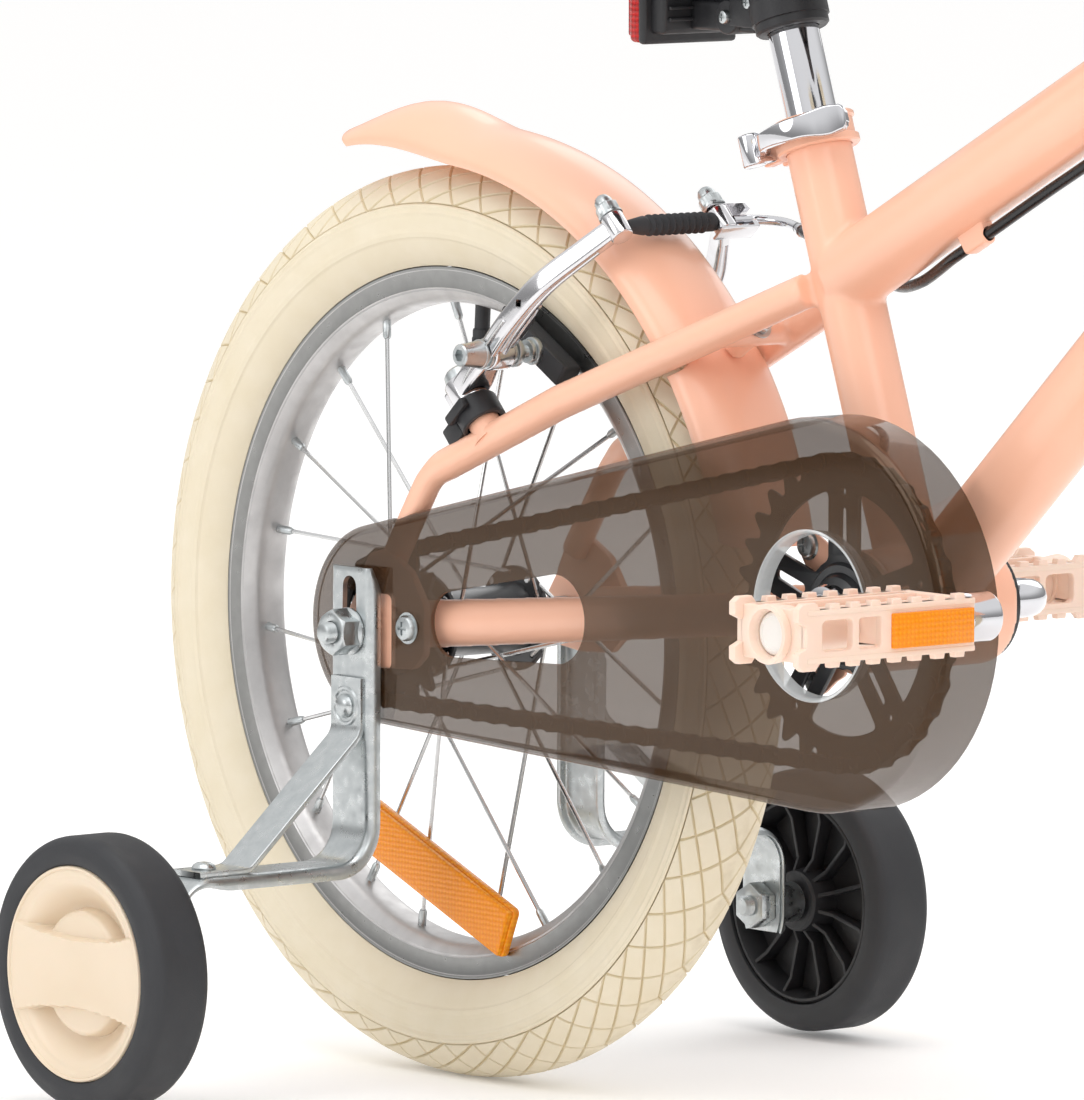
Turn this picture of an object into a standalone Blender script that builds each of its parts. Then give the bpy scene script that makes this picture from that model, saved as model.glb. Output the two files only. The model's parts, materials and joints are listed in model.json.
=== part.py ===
"""Kids bike with training wheels: welded frame, chain case, rim brakes and mudguards."""
import math

import bmesh
import bpy
from mathutils import Matrix, Vector

# Fits between pieces
GAP = 0.0003
RUNNING_GAP = 0.0006
SLIVER = 0.00006
PAD_GAP = 0.0018

# Wheels
WHEELBASE = 0.745
TYRE_RADIUS = 0.203
TYRE_WIDTH = 0.043
TYRE_CROWN = 0.0222
RIM_RADIUS = 0.1585
RIM_WIDTH = 0.0245
RIM_DEPTH = 0.0165
SPOKE_COUNT = 20
SPOKE_RADIUS = 0.0011
SPOKE_PHASE = math.radians(5.5)
SPOKE_LEAN = 0.0015
FLANGE_RADIUS = 0.0235
FLANGE_OFFSET = 0.026
FLANGE_WIDTH = 0.003
HUB_BARREL_RADIUS = 0.015
HUB_LENGTH = 0.060
HUB_NECK_RADIUS = 0.012
FREEWHEEL_SEAT = 0.0035
AXLE_RADIUS = 0.0048
WHEEL_STEPS = 32

# Rear end
HUB_SPACING = 0.110
DROPOUT_THICKNESS = 0.004
CHAINSTAY_REACH = 0.3015
BRACKET_RISE = 0.0305
CHAINSTAY_HEIGHT = 0.020
CHAINSTAY_WIDTH = 0.011
STAY_RADIUS = 0.0078

# Frame tubes
SEAT_ANGLE = math.radians(70.9)
SEAT_TUBE_LENGTH = 0.2165
SEAT_TUBE_RADIUS = 0.0143
POST_RADIUS = 0.0111
POST_FIT = 0.0004
TOP_TUBE_RADIUS = 0.0165
TOP_TUBE_ON_SEAT = 0.146
DOWN_TUBE_RADIUS = 0.0175
HEAD_ANGLE = math.radians(70.0)
FORK_RAKE = 0.032
FORK_LENGTH = 0.3096
HEAD_TUBE_LENGTH = 0.098
HEAD_TUBE_RADIUS = 0.0182
HEAD_TUBE_BORE = 0.0150
DOWN_TUBE_ON_HEAD = 0.0284
TOP_TUBE_ON_HEAD = 0.0674
SHELL_RADIUS = 0.0262
SHELL_BORE = 0.0228
SHELL_WIDTH = 0.068

# Chain drive
CHAIN_PITCH = 0.0127
RING_TEETH = 32
SPROCKET_TEETH = 16
CHAIN_LINE = 0.042
PLATE_HEIGHT = 0.0080
PLATE_THICKNESS = 0.0011
CHAIN_INNER_WIDTH = 0.0046
ROLLER_RADIUS = 0.0038
ROLLER_EVERY = 5
TOOTH_THICKNESS = 0.0024
TOOTH_HEIGHT = 0.0037

# Chain case
CASE_WALL = 0.002
CASE_DEPTH = 0.032
CASE_FRONT_RADIUS = 0.084
CASE_REAR_RADIUS = 0.044
CASE_HOLE_RADIUS = 0.0365
WINDOW_REAR_RADIUS = 0.016
WINDOW_FRONT_RADIUS = 0.0198

# Crank and pedals
CRANK_LENGTH = 0.1146
CRANK_ANGLE = math.radians(4.7)
CRANK_BAR_RADIUS = 0.0082
CRANK_ARM_OFFSET = 0.0712
CRANK_BEND = 0.016
CRANK_EYE_RADIUS = 0.0105
PEDAL_LENGTH = 0.096
PEDAL_WIDTH = 0.044
PEDAL_HEIGHT = 0.028
PEDAL_INSET = 0.018
PEDAL_WALL = 0.004
SPINDLE_RADIUS = 0.005

# Training wheels
TRAINING_RADIUS = 0.060
TRAINING_WIDTH = 0.0314
TRAINING_LIFT = 0.003
TRAINING_OFFSET = 0.207
CAP_RADIUS = 0.0475
TRAINING_STEPS = 20
CHANNEL_WIDTH = 0.026
CHANNEL_DEPTH = 0.007
CHANNEL_WALL = 0.0025
CHANNEL_BEND = 0.016
BRACKET_TOP = 0.0285
TAB_OFFSET = 0.1735
ARM_DROP = 0.103

# Mudguards
FENDER_RADIUS = 0.222
FENDER_WIDTH = 0.054
FENDER_ARCH = 0.016
FENDER_WALL = 0.0012

# Brake arms and cables
BRAKE_ARM_LENGTH = 0.112
BRAKE_ARM_THICKNESS = 0.012
BRAKE_BOSS_RADIUS = 0.0072
BRAKE_STUD_RADIUS = 0.0040
BRAKE_BOSS_LENGTH = 0.0205
REAR_ARM_ANGLE = math.radians(43.0)
PAD_LENGTH = 0.050
PAD_THICKNESS = 0.010
CABLE_RADIUS = 0.0025

# Seat
COLLAR_HEIGHT = 0.014
COLLAR_RADIUS = 0.0182
POST_RISE = 0.085
POST_INSERTION = 0.070
POST_DROP = 0.025
SADDLE_LENGTH = 0.235
SADDLE_WIDTH = 0.150
SADDLE_THICKNESS = 0.046

# Steering
STEM_RISE = 0.060
STEM_REACH = 0.040
STEM_RADIUS = 0.0110
BAR_RADIUS = 0.0111
BAR_RISE = 0.055
BAR_HALF_WIDTH = 0.262
GRIP_LENGTH = 0.105
GRIP_RADIUS = 0.0155
BLADE_RADIUS = 0.0115
BLADE_SPREAD = 0.0455
FRONT_HUB_SPACING = 0.091

COLOURS = {
    "peach paint": ((0.96, 0.53, 0.35, 1.0), 0.35, 0.0),
    "cream rubber": ((0.78, 0.68, 0.50, 1.0), 0.75, 0.0),
    "black rubber": ((0.03, 0.03, 0.03, 1.0), 0.8, 0.0),
    "cream plastic": ((0.80, 0.63, 0.47, 1.0), 0.4, 0.0),
    "blush plastic": ((0.85, 0.62, 0.48, 1.0), 0.4, 0.0),
    "black plastic": ((0.02, 0.02, 0.02, 1.0), 0.45, 0.0),
    "smoked plastic": ((0.12, 0.08, 0.06, 0.6), 0.08, 0.0),
    "alloy": ((0.62, 0.61, 0.60, 1.0), 0.3, 1.0),
    "chrome": ((0.75, 0.75, 0.77, 1.0), 0.08, 1.0),
    "zinc": ((0.55, 0.58, 0.60, 1.0), 0.35, 1.0),
    "black steel": ((0.03, 0.03, 0.04, 1.0), 0.4, 0.5),
    "amber lens": ((0.95, 0.32, 0.02, 1.0), 0.2, 0.0),
    "red lens": ((0.55, 0.01, 0.01, 1.0), 0.2, 0.0),
    "tan leather": ((0.38, 0.18, 0.08, 1.0), 0.55, 0.0),
}

SIDES = {"right": -1, "left": 1}


def clear_scene():
    for old in list(bpy.data.objects):
        bpy.data.objects.remove(old, do_unlink=True)
    for old in list(bpy.data.collections):
        bpy.data.collections.remove(old)


clear_scene()
PARTS = bpy.data.collections.new("kids_bike")
CUTTERS = bpy.data.collections.new("cutters")
bpy.context.scene.collection.children.link(PARTS)
bpy.context.scene.collection.children.link(CUTTERS)


def make_materials():
    made = {}
    for name, (colour, roughness, metallic) in COLOURS.items():
        material = bpy.data.materials.new(name)
        material.use_nodes = True
        shader = material.node_tree.nodes["Principled BSDF"]
        shader.inputs["Base Color"].default_value = colour
        shader.inputs["Roughness"].default_value = roughness
        shader.inputs["Metallic"].default_value = metallic
        shader.inputs["Alpha"].default_value = colour[3]
        made[name] = material
    return made


MATERIALS = make_materials()


def point(name, location, tilt=0.0):
    """An empty that carries the pieces of one place, tilted about Y."""
    empty = bpy.data.objects.new(name, None)
    empty.empty_display_size = 0.03
    empty.location = location
    empty.rotation_euler = (0.0, tilt, 0.0)
    PARTS.objects.link(empty)
    return empty


def loose(mesh, name="blank"):
    """A mesh as an object that is not yet a piece."""
    thing = bpy.data.objects.new(name, mesh)
    CUTTERS.objects.link(thing)
    thing.hide_render = True
    thing.display_type = "WIRE"
    return thing


def finish(thing, name, material, parent, location=(0, 0, 0), rotation=(0, 0, 0)):
    """Names a piece, colours it, places it and files it with the parts."""
    thing.name = name
    thing.data.name = name
    thing.data.materials.clear()
    thing.data.materials.append(MATERIALS[material])
    thing.hide_render = False
    thing.display_type = "TEXTURED"
    for group in list(thing.users_collection):
        group.objects.unlink(thing)
    PARTS.objects.link(thing)
    thing.parent = parent
    thing.location = location
    thing.rotation_euler = rotation
    thing.data.shade_smooth()
    thing.data.set_sharp_from_angle(angle=math.radians(35))
    return thing


def remove(thing):
    bpy.data.objects.remove(thing, do_unlink=True)


def baked(thing):
    """The object's evaluated mesh, welded, with its own transform applied."""
    bpy.context.view_layer.update()
    graph = bpy.context.evaluated_depsgraph_get()
    mesh = bpy.data.meshes.new_from_object(thing.evaluated_get(graph))
    mesh.transform(thing.matrix_world)
    tidy = bmesh.new()
    tidy.from_mesh(mesh)
    bmesh.ops.remove_doubles(tidy, verts=tidy.verts, dist=1e-6)
    bmesh.ops.dissolve_degenerate(tidy, edges=tidy.edges, dist=1e-6)
    tidy.to_mesh(mesh)
    tidy.free()
    remove(thing)
    return mesh


def moved(thing, matrix):
    thing.data.transform(matrix)
    return thing


def mirrored(thing):
    """The same object, turned over to the bike's other side."""
    thing.data.transform(Matrix.Scale(-1, 4, Vector((0, 1, 0))))
    thing.data.flip_normals()
    return thing


def laid_flat(thing):
    """A plate's outline turned from the XZ plane into the XY plane."""
    return moved(thing, Matrix.Rotation(-math.pi / 2, 4, "X"))


def block(size, centre=(0, 0, 0)):
    build = bmesh.new()
    bmesh.ops.create_cube(build, size=1.0)
    bmesh.ops.scale(build, vec=size, verts=build.verts)
    bmesh.ops.translate(build, vec=centre, verts=build.verts)
    mesh = bpy.data.meshes.new("block")
    build.to_mesh(mesh)
    build.free()
    return loose(mesh)


def rod(start, end, radius, end_radius=None, sides=16, flatten=1.0):
    """A straight round bar between two points, flattened across Y if wished."""
    start = Vector(start)
    end = Vector(end)
    run = end - start
    build = bmesh.new()
    bmesh.ops.create_cone(
        build,
        cap_ends=True,
        segments=sides,
        radius1=radius,
        radius2=radius if end_radius is None else end_radius,
        depth=run.length,
    )
    along = run.normalized()
    across = Vector((0, 1, 0))
    if abs(along.dot(across)) > 0.9:
        across = Vector((1, 0, 0))
    side = across.cross(along).normalized()
    across = along.cross(side).normalized()
    frame = Matrix((side, across * flatten, along)).transposed().to_4x4()
    frame.translation = (start + end) / 2
    mesh = bpy.data.meshes.new("rod")
    build.to_mesh(mesh)
    build.free()
    mesh.transform(frame)
    return loose(mesh)


def bends(points, radius, steps=4):
    """The points with each inner corner turned into an arc."""
    points = [Vector(p) for p in points]
    path = [points[0]]
    for before, corner, after in zip(points, points[1:], points[2:]):
        back = (before - corner).normalized()
        ahead = (after - corner).normalized()
        half = back.angle(ahead) / 2
        reach = radius / math.tan(half)
        reach = min(reach, 0.48 * (before - corner).length, 0.48 * (after - corner).length)
        curve = reach * math.tan(half)
        centre = corner + (back + ahead).normalized() * (curve / math.sin(half))
        first = corner + back * reach - centre
        last = corner + ahead * reach - centre
        sweep = first.angle(last)
        for k in range(steps + 1):
            share = k / steps
            a = math.sin((1 - share) * sweep) / math.sin(sweep)
            b = math.sin(share * sweep) / math.sin(sweep)
            path.append(centre + first * a + last * b)
    path.append(points[-1])
    return path


def smooth_route(points, count):
    """A smooth curve through the route's points, read at even steps."""
    knots = [Vector(p) for p in points]
    ends = [knots[0] * 2 - knots[1]] + knots + [knots[-1] * 2 - knots[-2]]
    fine = []
    for p0, p1, p2, p3 in zip(ends, ends[1:], ends[2:], ends[3:]):
        for k in range(12):
            t = k / 12
            linear = (p2 - p0) * t
            square = (2 * p0 - 5 * p1 + 4 * p2 - p3) * t * t
            cube = (3 * p1 - p0 - 3 * p2 + p3) * t ** 3
            fine.append(0.5 * (2 * p1 + linear + square + cube))
    fine.append(knots[-1])
    lengths = [0.0]
    for a, b in zip(fine, fine[1:]):
        lengths.append(lengths[-1] + (b - a).length)
    route = []
    k = 0
    for n in range(count):
        target = lengths[-1] * n / (count - 1)
        while k < len(fine) - 2 and lengths[k + 1] < target:
            k += 1
        share = (target - lengths[k]) / (lengths[k + 1] - lengths[k])
        route.append(fine[k].lerp(fine[k + 1], share))
    return route


def tube(points, radius, resolution=2, radii=None):
    """A round wire along the points, as a welded mesh."""
    curve = bpy.data.curves.new("tube", "CURVE")
    curve.dimensions = "3D"
    curve.bevel_depth = radius
    curve.bevel_resolution = resolution
    curve.use_fill_caps = True
    spline = curve.splines.new("POLY")
    spline.points.add(len(points) - 1)
    for k, place in enumerate(points):
        spline.points[k].co = (*place, 1.0)
        if radii:
            spline.points[k].radius = radii[k]
    wire = bpy.data.objects.new("tube", curve)
    CUTTERS.objects.link(wire)
    return loose(baked(wire))


def plate(outlines, thickness, edge=0.0):
    """A flat piece in the XZ plane, centred on Y: first outline solid, the rest holes.

    A rounded edge grows every outline by its own radius.
    """
    curve = bpy.data.curves.new("plate", "CURVE")
    curve.dimensions = "2D"
    curve.fill_mode = "BOTH"
    curve.extrude = thickness / 2 - edge
    curve.bevel_depth = edge
    curve.bevel_resolution = 1
    for outline in outlines:
        spline = curve.splines.new("POLY")
        spline.points.add(len(outline) - 1)
        for k, (x, z) in enumerate(outline):
            spline.points[k].co = (x, z, 0.0, 1.0)
        spline.use_cyclic_u = True
    flat = bpy.data.objects.new("plate", curve)
    CUTTERS.objects.link(flat)
    flat.rotation_euler = (math.pi / 2, 0, 0)
    return loose(baked(flat))


def strip(points, widths):
    """The outline of a ribbon along flat points, with a width at each."""
    left = []
    right = []
    for k, here in enumerate(points):
        before = Vector(points[max(k - 1, 0)])
        after = Vector(points[min(k + 1, len(points) - 1)])
        here = Vector(here)
        along = (after - before).normalized()
        normal = Vector((-along.y, along.x))
        stretch = 1.0
        if 0 < k < len(points) - 1:
            run = (here - before).normalized()
            stretch = 1 / max(0.5, normal.dot(Vector((-run.y, run.x))))
        half = widths[k] / 2 * stretch
        left.append(tuple(here + normal * half))
        right.append(tuple(here - normal * half))
    return left + right[::-1]


def turned(profile, steps, closed=True):
    """A solid of revolution about Z. A closed profile is a ring's section."""
    mesh = bpy.data.meshes.new("turned")
    edges = [(k, k + 1) for k in range(len(profile) - 1)]
    if closed:
        edges.append((len(profile) - 1, 0))
    mesh.from_pydata([(r, 0.0, h) for r, h in profile], edges, [])
    thing = loose(mesh)
    screw = thing.modifiers.new("turn", "SCREW")
    screw.steps = steps
    screw.render_steps = steps
    screw.use_merge_vertices = True
    screw.merge_threshold = 0.00001
    screw.use_smooth_shade = True
    return thing


def solid(thing):
    """The same object with its modifiers made real."""
    return loose(baked(thing))


def joined(first, others, operation="UNION"):
    """One body from several, or the first with the others cut away."""
    for k, other in enumerate(others):
        step = first.modifiers.new("join%d" % k, "BOOLEAN")
        step.operation = operation
        step.solver = "EXACT"
        step.object = other
    mesh = baked(first)
    for other in others:
        remove(other)
    return loose(mesh)


def cut(first, others):
    return joined(first, others, "DIFFERENCE")


def circle(centre, radius, count, start=0.0):
    turn = 2 * math.pi / count
    outline = []
    for k in range(count):
        angle = start + k * turn
        outline.append((centre[0] + radius * math.cos(angle), centre[1] + radius * math.sin(angle)))
    return outline


def belt(rear, rear_radius, front, front_radius, steps):
    """The outline of a belt round two circles."""
    rear = Vector(rear)
    front = Vector(front)
    run = front - rear
    slope = math.atan2(run.y, run.x)
    lean = math.acos((rear_radius - front_radius) / run.length)
    outline = []
    for k in range(steps + 1):
        angle = slope - lean + 2 * lean * k / steps
        outline.append((front.x + front_radius * math.cos(angle), front.y + front_radius * math.sin(angle)))
    for k in range(steps + 1):
        angle = slope + lean + 2 * (math.pi - lean) * k / steps
        outline.append((rear.x + rear_radius * math.cos(angle), rear.y + rear_radius * math.sin(angle)))
    return outline


# Places, measured from the rear axle's centre unless a name says otherwise
REAR_AXLE = Vector((-WHEELBASE / 2, 0, TYRE_RADIUS))
FRONT_AXLE = Vector((WHEELBASE / 2, 0, TYRE_RADIUS))
BRACKET = Vector((CHAINSTAY_REACH, 0, BRACKET_RISE))
SEAT_LINE = Vector((-math.cos(SEAT_ANGLE), 0, math.sin(SEAT_ANGLE)))
HEAD_LINE = Vector((-math.cos(HEAD_ANGLE), 0, math.sin(HEAD_ANGLE)))
HEAD_AHEAD = Vector((math.sin(HEAD_ANGLE), 0, math.cos(HEAD_ANGLE)))
STEER_FOOT = Vector((WHEELBASE, 0, 0)) - HEAD_AHEAD * FORK_RAKE
DROPOUT_INNER = HUB_SPACING / 2
DROPOUT_OUTER = DROPOUT_INNER + DROPOUT_THICKNESS
CASE_INNER = DROPOUT_OUTER + GAP
CASE_OUTER = CASE_INNER + CASE_WALL
CHANNEL_BACK = CASE_OUTER + GAP
CHANNEL_FACE = CHANNEL_BACK + CHANNEL_DEPTH
TRAINING_HEIGHT = TRAINING_RADIUS + TRAINING_LIFT - TYRE_RADIUS

rear_point = point("rear_axle_point", REAR_AXLE)
bracket_point = point("crank_axis", REAR_AXLE + BRACKET)
seat_point = point("seat_tube_line", REAR_AXLE + BRACKET, SEAT_ANGLE - math.pi / 2)
steer_point = point("steering_axis", REAR_AXLE + STEER_FOOT, HEAD_ANGLE - math.pi / 2)
front_point = point("front_axle_point", FRONT_AXLE)
UPRIGHT = (math.pi / 2, 0, 0)


def on_seat_line(distance):
    return BRACKET + SEAT_LINE * distance


def on_head(distance, ahead=0.0):
    return STEER_FOOT + HEAD_LINE * distance + HEAD_AHEAD * ahead


def to_side(place, side):
    return Vector((place[0], place[1] * side, place[2]))


# Wheels


def tyre_section():
    """The tyre's section from one bead over the tread to the other, as radius and height."""
    crown = TYRE_RADIUS - TYRE_CROWN
    seat = RIM_RADIUS + GAP
    low = math.acos(RIM_WIDTH / TYRE_WIDTH)
    drop = (crown - seat) / math.sin(low)
    section = []
    steps = 8
    for k in range(steps):
        angle = -low + (math.pi + 2 * low) * k / (steps - 1)
        height = TYRE_CROWN if 0 < angle < math.pi else drop
        reach = crown + height * math.sin(angle)
        if k in (steps // 2 - 1, steps // 2):
            reach = TYRE_RADIUS
        section.append((reach, TYRE_WIDTH / 2 * math.cos(angle)))
    return section


def rim_section():
    half = RIM_WIDTH / 2
    inner = RIM_RADIUS - RIM_DEPTH
    return [
        (RIM_RADIUS, half),
        (RIM_RADIUS, -half),
        (inner + 0.0055, -half * 0.97),
        (inner, 0.0),
        (inner + 0.0055, half * 0.97),
    ]


def spoke_ends(k):
    """Hub end and rim end of one spoke, laced two over two."""
    pitch = 2 * math.pi / SPOKE_COUNT
    rim_angle = SPOKE_PHASE + k * pitch
    side = 1 if k % 2 else -1
    lean = 1 if (k // 2) % 2 else -1
    hub_angle = rim_angle + lean * 4 * pitch
    seat = FLANGE_RADIUS + SPOKE_RADIUS + 2 * GAP
    flange = FLANGE_OFFSET + SPOKE_LEAN * lean
    hub = Vector((seat * math.cos(hub_angle), side * flange, seat * math.sin(hub_angle)))
    reach = RIM_RADIUS - RIM_DEPTH + 0.003
    rim = Vector((reach * math.cos(rim_angle), side * 0.002, reach * math.sin(rim_angle)))
    return hub, rim


def make_spoked_rim():
    ring = moved(solid(turned(rim_section(), WHEEL_STEPS)), Matrix.Rotation(math.pi / 2, 4, "X"))
    spokes = [rod(*spoke_ends(k), SPOKE_RADIUS, sides=3) for k in range(SPOKE_COUNT)]
    return joined(ring, spokes)


def hub_section(right_end, barrel):
    """A hub shell from its right end to its left, as radius and height."""
    half = HUB_LENGTH / 2
    inner = FLANGE_OFFSET - FLANGE_WIDTH / 2
    outer = FLANGE_OFFSET + FLANGE_WIDTH / 2
    bore = AXLE_RADIUS + RUNNING_GAP
    neck = HUB_NECK_RADIUS
    return [
        (bore, right_end),
        (neck, right_end),
        (neck, outer),
        (FLANGE_RADIUS, outer),
        (FLANGE_RADIUS, inner),
        (barrel, inner - 0.004),
        (barrel, -inner + 0.004),
        (FLANGE_RADIUS, -inner),
        (FLANGE_RADIUS, -outer),
        (neck, -outer),
        (neck, -half),
        (bore, -half),
    ]


def make_wheel(end, parent, barrel, right_end):
    finish(turned(tyre_section(), WHEEL_STEPS), end + "_tyre", "cream rubber", parent, rotation=UPRIGHT)
    finish(make_spoked_rim(), end + "_rim", "alloy", parent)
    hub = turned(hub_section(right_end, barrel), 11)
    finish(hub, end + "_hub", "black steel", parent, rotation=UPRIGHT)


make_wheel("rear", rear_point, HUB_BARREL_RADIUS, CHAIN_LINE + FREEWHEEL_SEAT)
make_wheel("front", front_point, HUB_BARREL_RADIUS - 0.003, HUB_LENGTH / 2)


def make_wheel_reflector():
    """An amber bar clipped outside the right-hand spokes."""
    length = 0.108
    height = 0.024
    thickness = 0.006
    bar = block((length, thickness, height))
    bevel = bar.modifiers.new("round", "BEVEL")
    bevel.width = 0.002
    bevel.segments = 1
    radius = 0.114
    reach = RIM_RADIUS - RIM_DEPTH
    slope = (FLANGE_OFFSET + SPOKE_LEAN) / (reach - FLANGE_RADIUS)
    spoke_out = slope * (reach - radius + height / 2)
    place = (-0.003, -(spoke_out + SPOKE_RADIUS + 0.002 + thickness / 2), -radius)
    finish(bar, "rear_wheel_reflector", "amber lens", rear_point, place, (0, math.radians(22.3), 0))


make_wheel_reflector()

# Chain drive


def pitch_radius(teeth):
    return CHAIN_PITCH / (2 * math.sin(math.pi / teeth))


def toothed_outline(teeth, phase=0.0):
    radius = pitch_radius(teeth)
    tip = radius + TOOTH_HEIGHT
    root = radius - ROLLER_RADIUS
    turn = 2 * math.pi / teeth
    outline = []
    for k in range(teeth):
        middle = phase + k * turn
        for share, reach in ((-0.5, root), (0.0, tip)):
            angle = middle + share * turn
            outline.append((reach * math.cos(angle), reach * math.sin(angle)))
    return outline


def ring_window(middle, inner, outer, half_inner, half_outer):
    """One opening between two spider arms."""
    outline = []
    for k in range(5):
        angle = middle + half_outer * (k / 2 - 1)
        outline.append((outer * math.cos(angle), outer * math.sin(angle)))
    for k in range(3):
        angle = middle + half_inner * (1 - k)
        outline.append((inner * math.cos(angle), inner * math.sin(angle)))
    return outline


RING_BORE = 0.0146
RING_ARMS = 5


def make_chainring():
    inside = pitch_radius(RING_TEETH) - 0.0125
    outlines = [toothed_outline(RING_TEETH)]
    for k in range(RING_ARMS):
        middle = math.radians(90 + 36) + k * 2 * math.pi / RING_ARMS
        outlines.append(ring_window(middle, 0.024, inside, math.radians(14), math.radians(26)))
        arm = middle - math.pi / RING_ARMS
        slot = Vector((math.cos(arm), math.sin(arm)))
        wide = Vector((-slot.y, slot.x)) * 0.0022
        near = slot * 0.026
        far = slot * (inside - 0.010)
        outlines.append([tuple(near + wide), tuple(near - wide), tuple(far - wide), tuple(far + wide)])
    outlines.append(circle((0, 0), RING_BORE, 16))
    ring = plate(outlines, TOOTH_THICKNESS)
    finish(ring, "chainring", "black steel", bracket_point, (0, -CHAIN_LINE, 0))


def make_sprocket():
    """The freewheel: a toothed plate on a ratchet body that runs on the hub's end."""
    inner = HUB_NECK_RADIUS + GAP
    teeth = plate([toothed_outline(SPROCKET_TEETH)], TOOTH_THICKNESS)
    body = rod((0, -0.0025, 0), (0, 0.010, 0), 0.0215, sides=16)
    piece = cut(joined(teeth, [body]), [rod((0, -0.02, 0), (0, 0.02, 0), inner, sides=20)])
    finish(piece, "rear_sprocket", "black steel", rear_point, (0, -CHAIN_LINE, 0))


def chain_path():
    """Pitch line of the chain, and the places of rollers clear of both sets of teeth."""
    rear = pitch_radius(SPROCKET_TEETH)
    front = pitch_radius(RING_TEETH)
    origin = Vector((0, 0))
    run = Vector((BRACKET.x, BRACKET.z))
    slope = math.atan2(run.y, run.x)
    lean = math.acos((rear - front) / run.length)

    def touch(centre, radius, angle):
        return Vector((centre.x + radius * math.cos(angle), centre.y + radius * math.sin(angle)))

    path = [touch(run, front, slope - lean + 2 * lean * k / 14) for k in range(15)]
    path += [touch(origin, rear, slope + lean + 2 * (math.pi - lean) * k / 8) for k in range(9)]
    rollers = []
    reach = TOOTH_HEIGHT + ROLLER_RADIUS + GAP
    for angle in (slope - lean, slope + lean):
        start = touch(origin, rear, angle)
        end = touch(run, front, angle)
        links = round((end - start).length / CHAIN_PITCH)
        for k in range(1, links, ROLLER_EVERY):
            place = start.lerp(end, k / links)
            if place.length > rear + reach and (place - run).length > front + reach:
                rollers.append(place)
    return path, rollers


def make_chain():
    """Two loops of side plates, tied by rollers that lie clear of the teeth."""
    path, places = chain_path()
    count = len(path)
    outer = []
    inner = []
    for k in range(count):
        ahead = path[(k + 1) % count] - path[k - 1]
        normal = Vector((ahead.y, -ahead.x)).normalized()
        outer.append(tuple(path[k] + normal * PLATE_HEIGHT / 2))
        inner.append(tuple(path[k] - normal * PLATE_HEIGHT / 2))
    offset = (CHAIN_INNER_WIDTH + PLATE_THICKNESS) / 2
    right = moved(plate([outer, inner], PLATE_THICKNESS), Matrix.Translation((0, -offset, 0)))
    left = moved(plate([outer, inner], PLATE_THICKNESS), Matrix.Translation((0, offset, 0)))
    rollers = []
    for place in places:
        ends = [(place.x, side * offset, place.y) for side in (-1, 1)]
        rollers.append(rod(*ends, ROLLER_RADIUS, sides=4))
    chain = joined(right, [left] + rollers)
    finish(chain, "chain", "black steel", rear_point, (0, -CHAIN_LINE, 0))


make_chainring()
make_sprocket()
make_chain()

# Frame

STAY_END_RADIUS = 0.0063
STAY_OFFSET = DROPOUT_OUTER - GAP / 2 - STAY_END_RADIUS
SEAT_STAY = [
    Vector((0.009, STAY_OFFSET, 0.028)),
    Vector((0.038, STAY_OFFSET, 0.072)),
    Vector((0.110, 0.040, 0.107)),
    Vector((0.245, 0.014, 0.163)),
]
CHAINSTAY_START = Vector((0.030, DROPOUT_INNER - 0.004, 0.0045))
BOSS_FOOT = Vector((0.0725, 0.0462, 0.0885))
ARM_LINE = Vector((math.cos(REAR_ARM_ANGLE), 0, math.sin(REAR_ARM_ANGLE)))
PIVOT_LINE = Vector((-math.sin(REAR_ARM_ANGLE), 0, math.cos(REAR_ARM_ANGLE)))
GUIDE_PLACE = 0.084
GUIDE_DROP = 0.0048
CABLE_DROP = TOP_TUBE_RADIUS + GUIDE_DROP
SCREW_PLACE = (0.0317, 0.0034)
SCREW_RADIUS = 0.0025
BRIDGE = Vector((0.191, 0.0, 0.1406))
BRIDGE_HALF = Vector((0, 0.025, 0))


def stay_tube(side, clearance=0.0):
    route = bends([to_side(p, side) for p in SEAT_STAY], 0.030, 3)
    tapers = [1.0] * len(route)
    for k in range(2):
        tapers[k] = (STAY_END_RADIUS + clearance) / (STAY_RADIUS + clearance)
    return tube(route, STAY_RADIUS + clearance, 2, tapers)


def make_dropout(side):
    outline = [
        (-0.013, -0.007),
        (-0.013, 0.008),
        (-0.006, 0.018),
        (0.001, 0.034),
        (0.013, 0.037),
        (0.030, 0.028),
        (0.040, 0.014),
        (0.040, -0.008),
        (0.032, -0.015),
        (0.010, -0.016),
        (-0.006, -0.014),
    ]
    hole = circle((0, 0), AXLE_RADIUS + GAP, 12)
    thread = circle(SCREW_PLACE, SCREW_RADIUS + GAP, 10)
    end = plate([outline, hole, thread], DROPOUT_THICKNESS)
    return moved(end, Matrix.Translation((0, side * (DROPOUT_INNER + DROPOUT_THICKNESS / 2), 0)))


def top_tube_point(distance, drop=0.0):
    """A place along the top tube from the seat tube, that far under its middle."""
    start = on_seat_line(TOP_TUBE_ON_SEAT)
    run = (on_head(FORK_LENGTH + TOP_TUBE_ON_HEAD) - start).normalized()
    return start + run * distance + Vector((run.z, 0, -run.x)) * drop


def brake_boss(foot, line, side):
    """A boss welded on for a brake arm, with its stud."""
    foot = to_side(foot, side)
    face = foot + line * BRAKE_BOSS_LENGTH
    tip = face + line * (BRAKE_ARM_THICKNESS + 0.006)
    return [rod(foot, face, BRAKE_BOSS_RADIUS, sides=10), rod(foot, tip, BRAKE_STUD_RADIUS, sides=10)]


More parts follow.
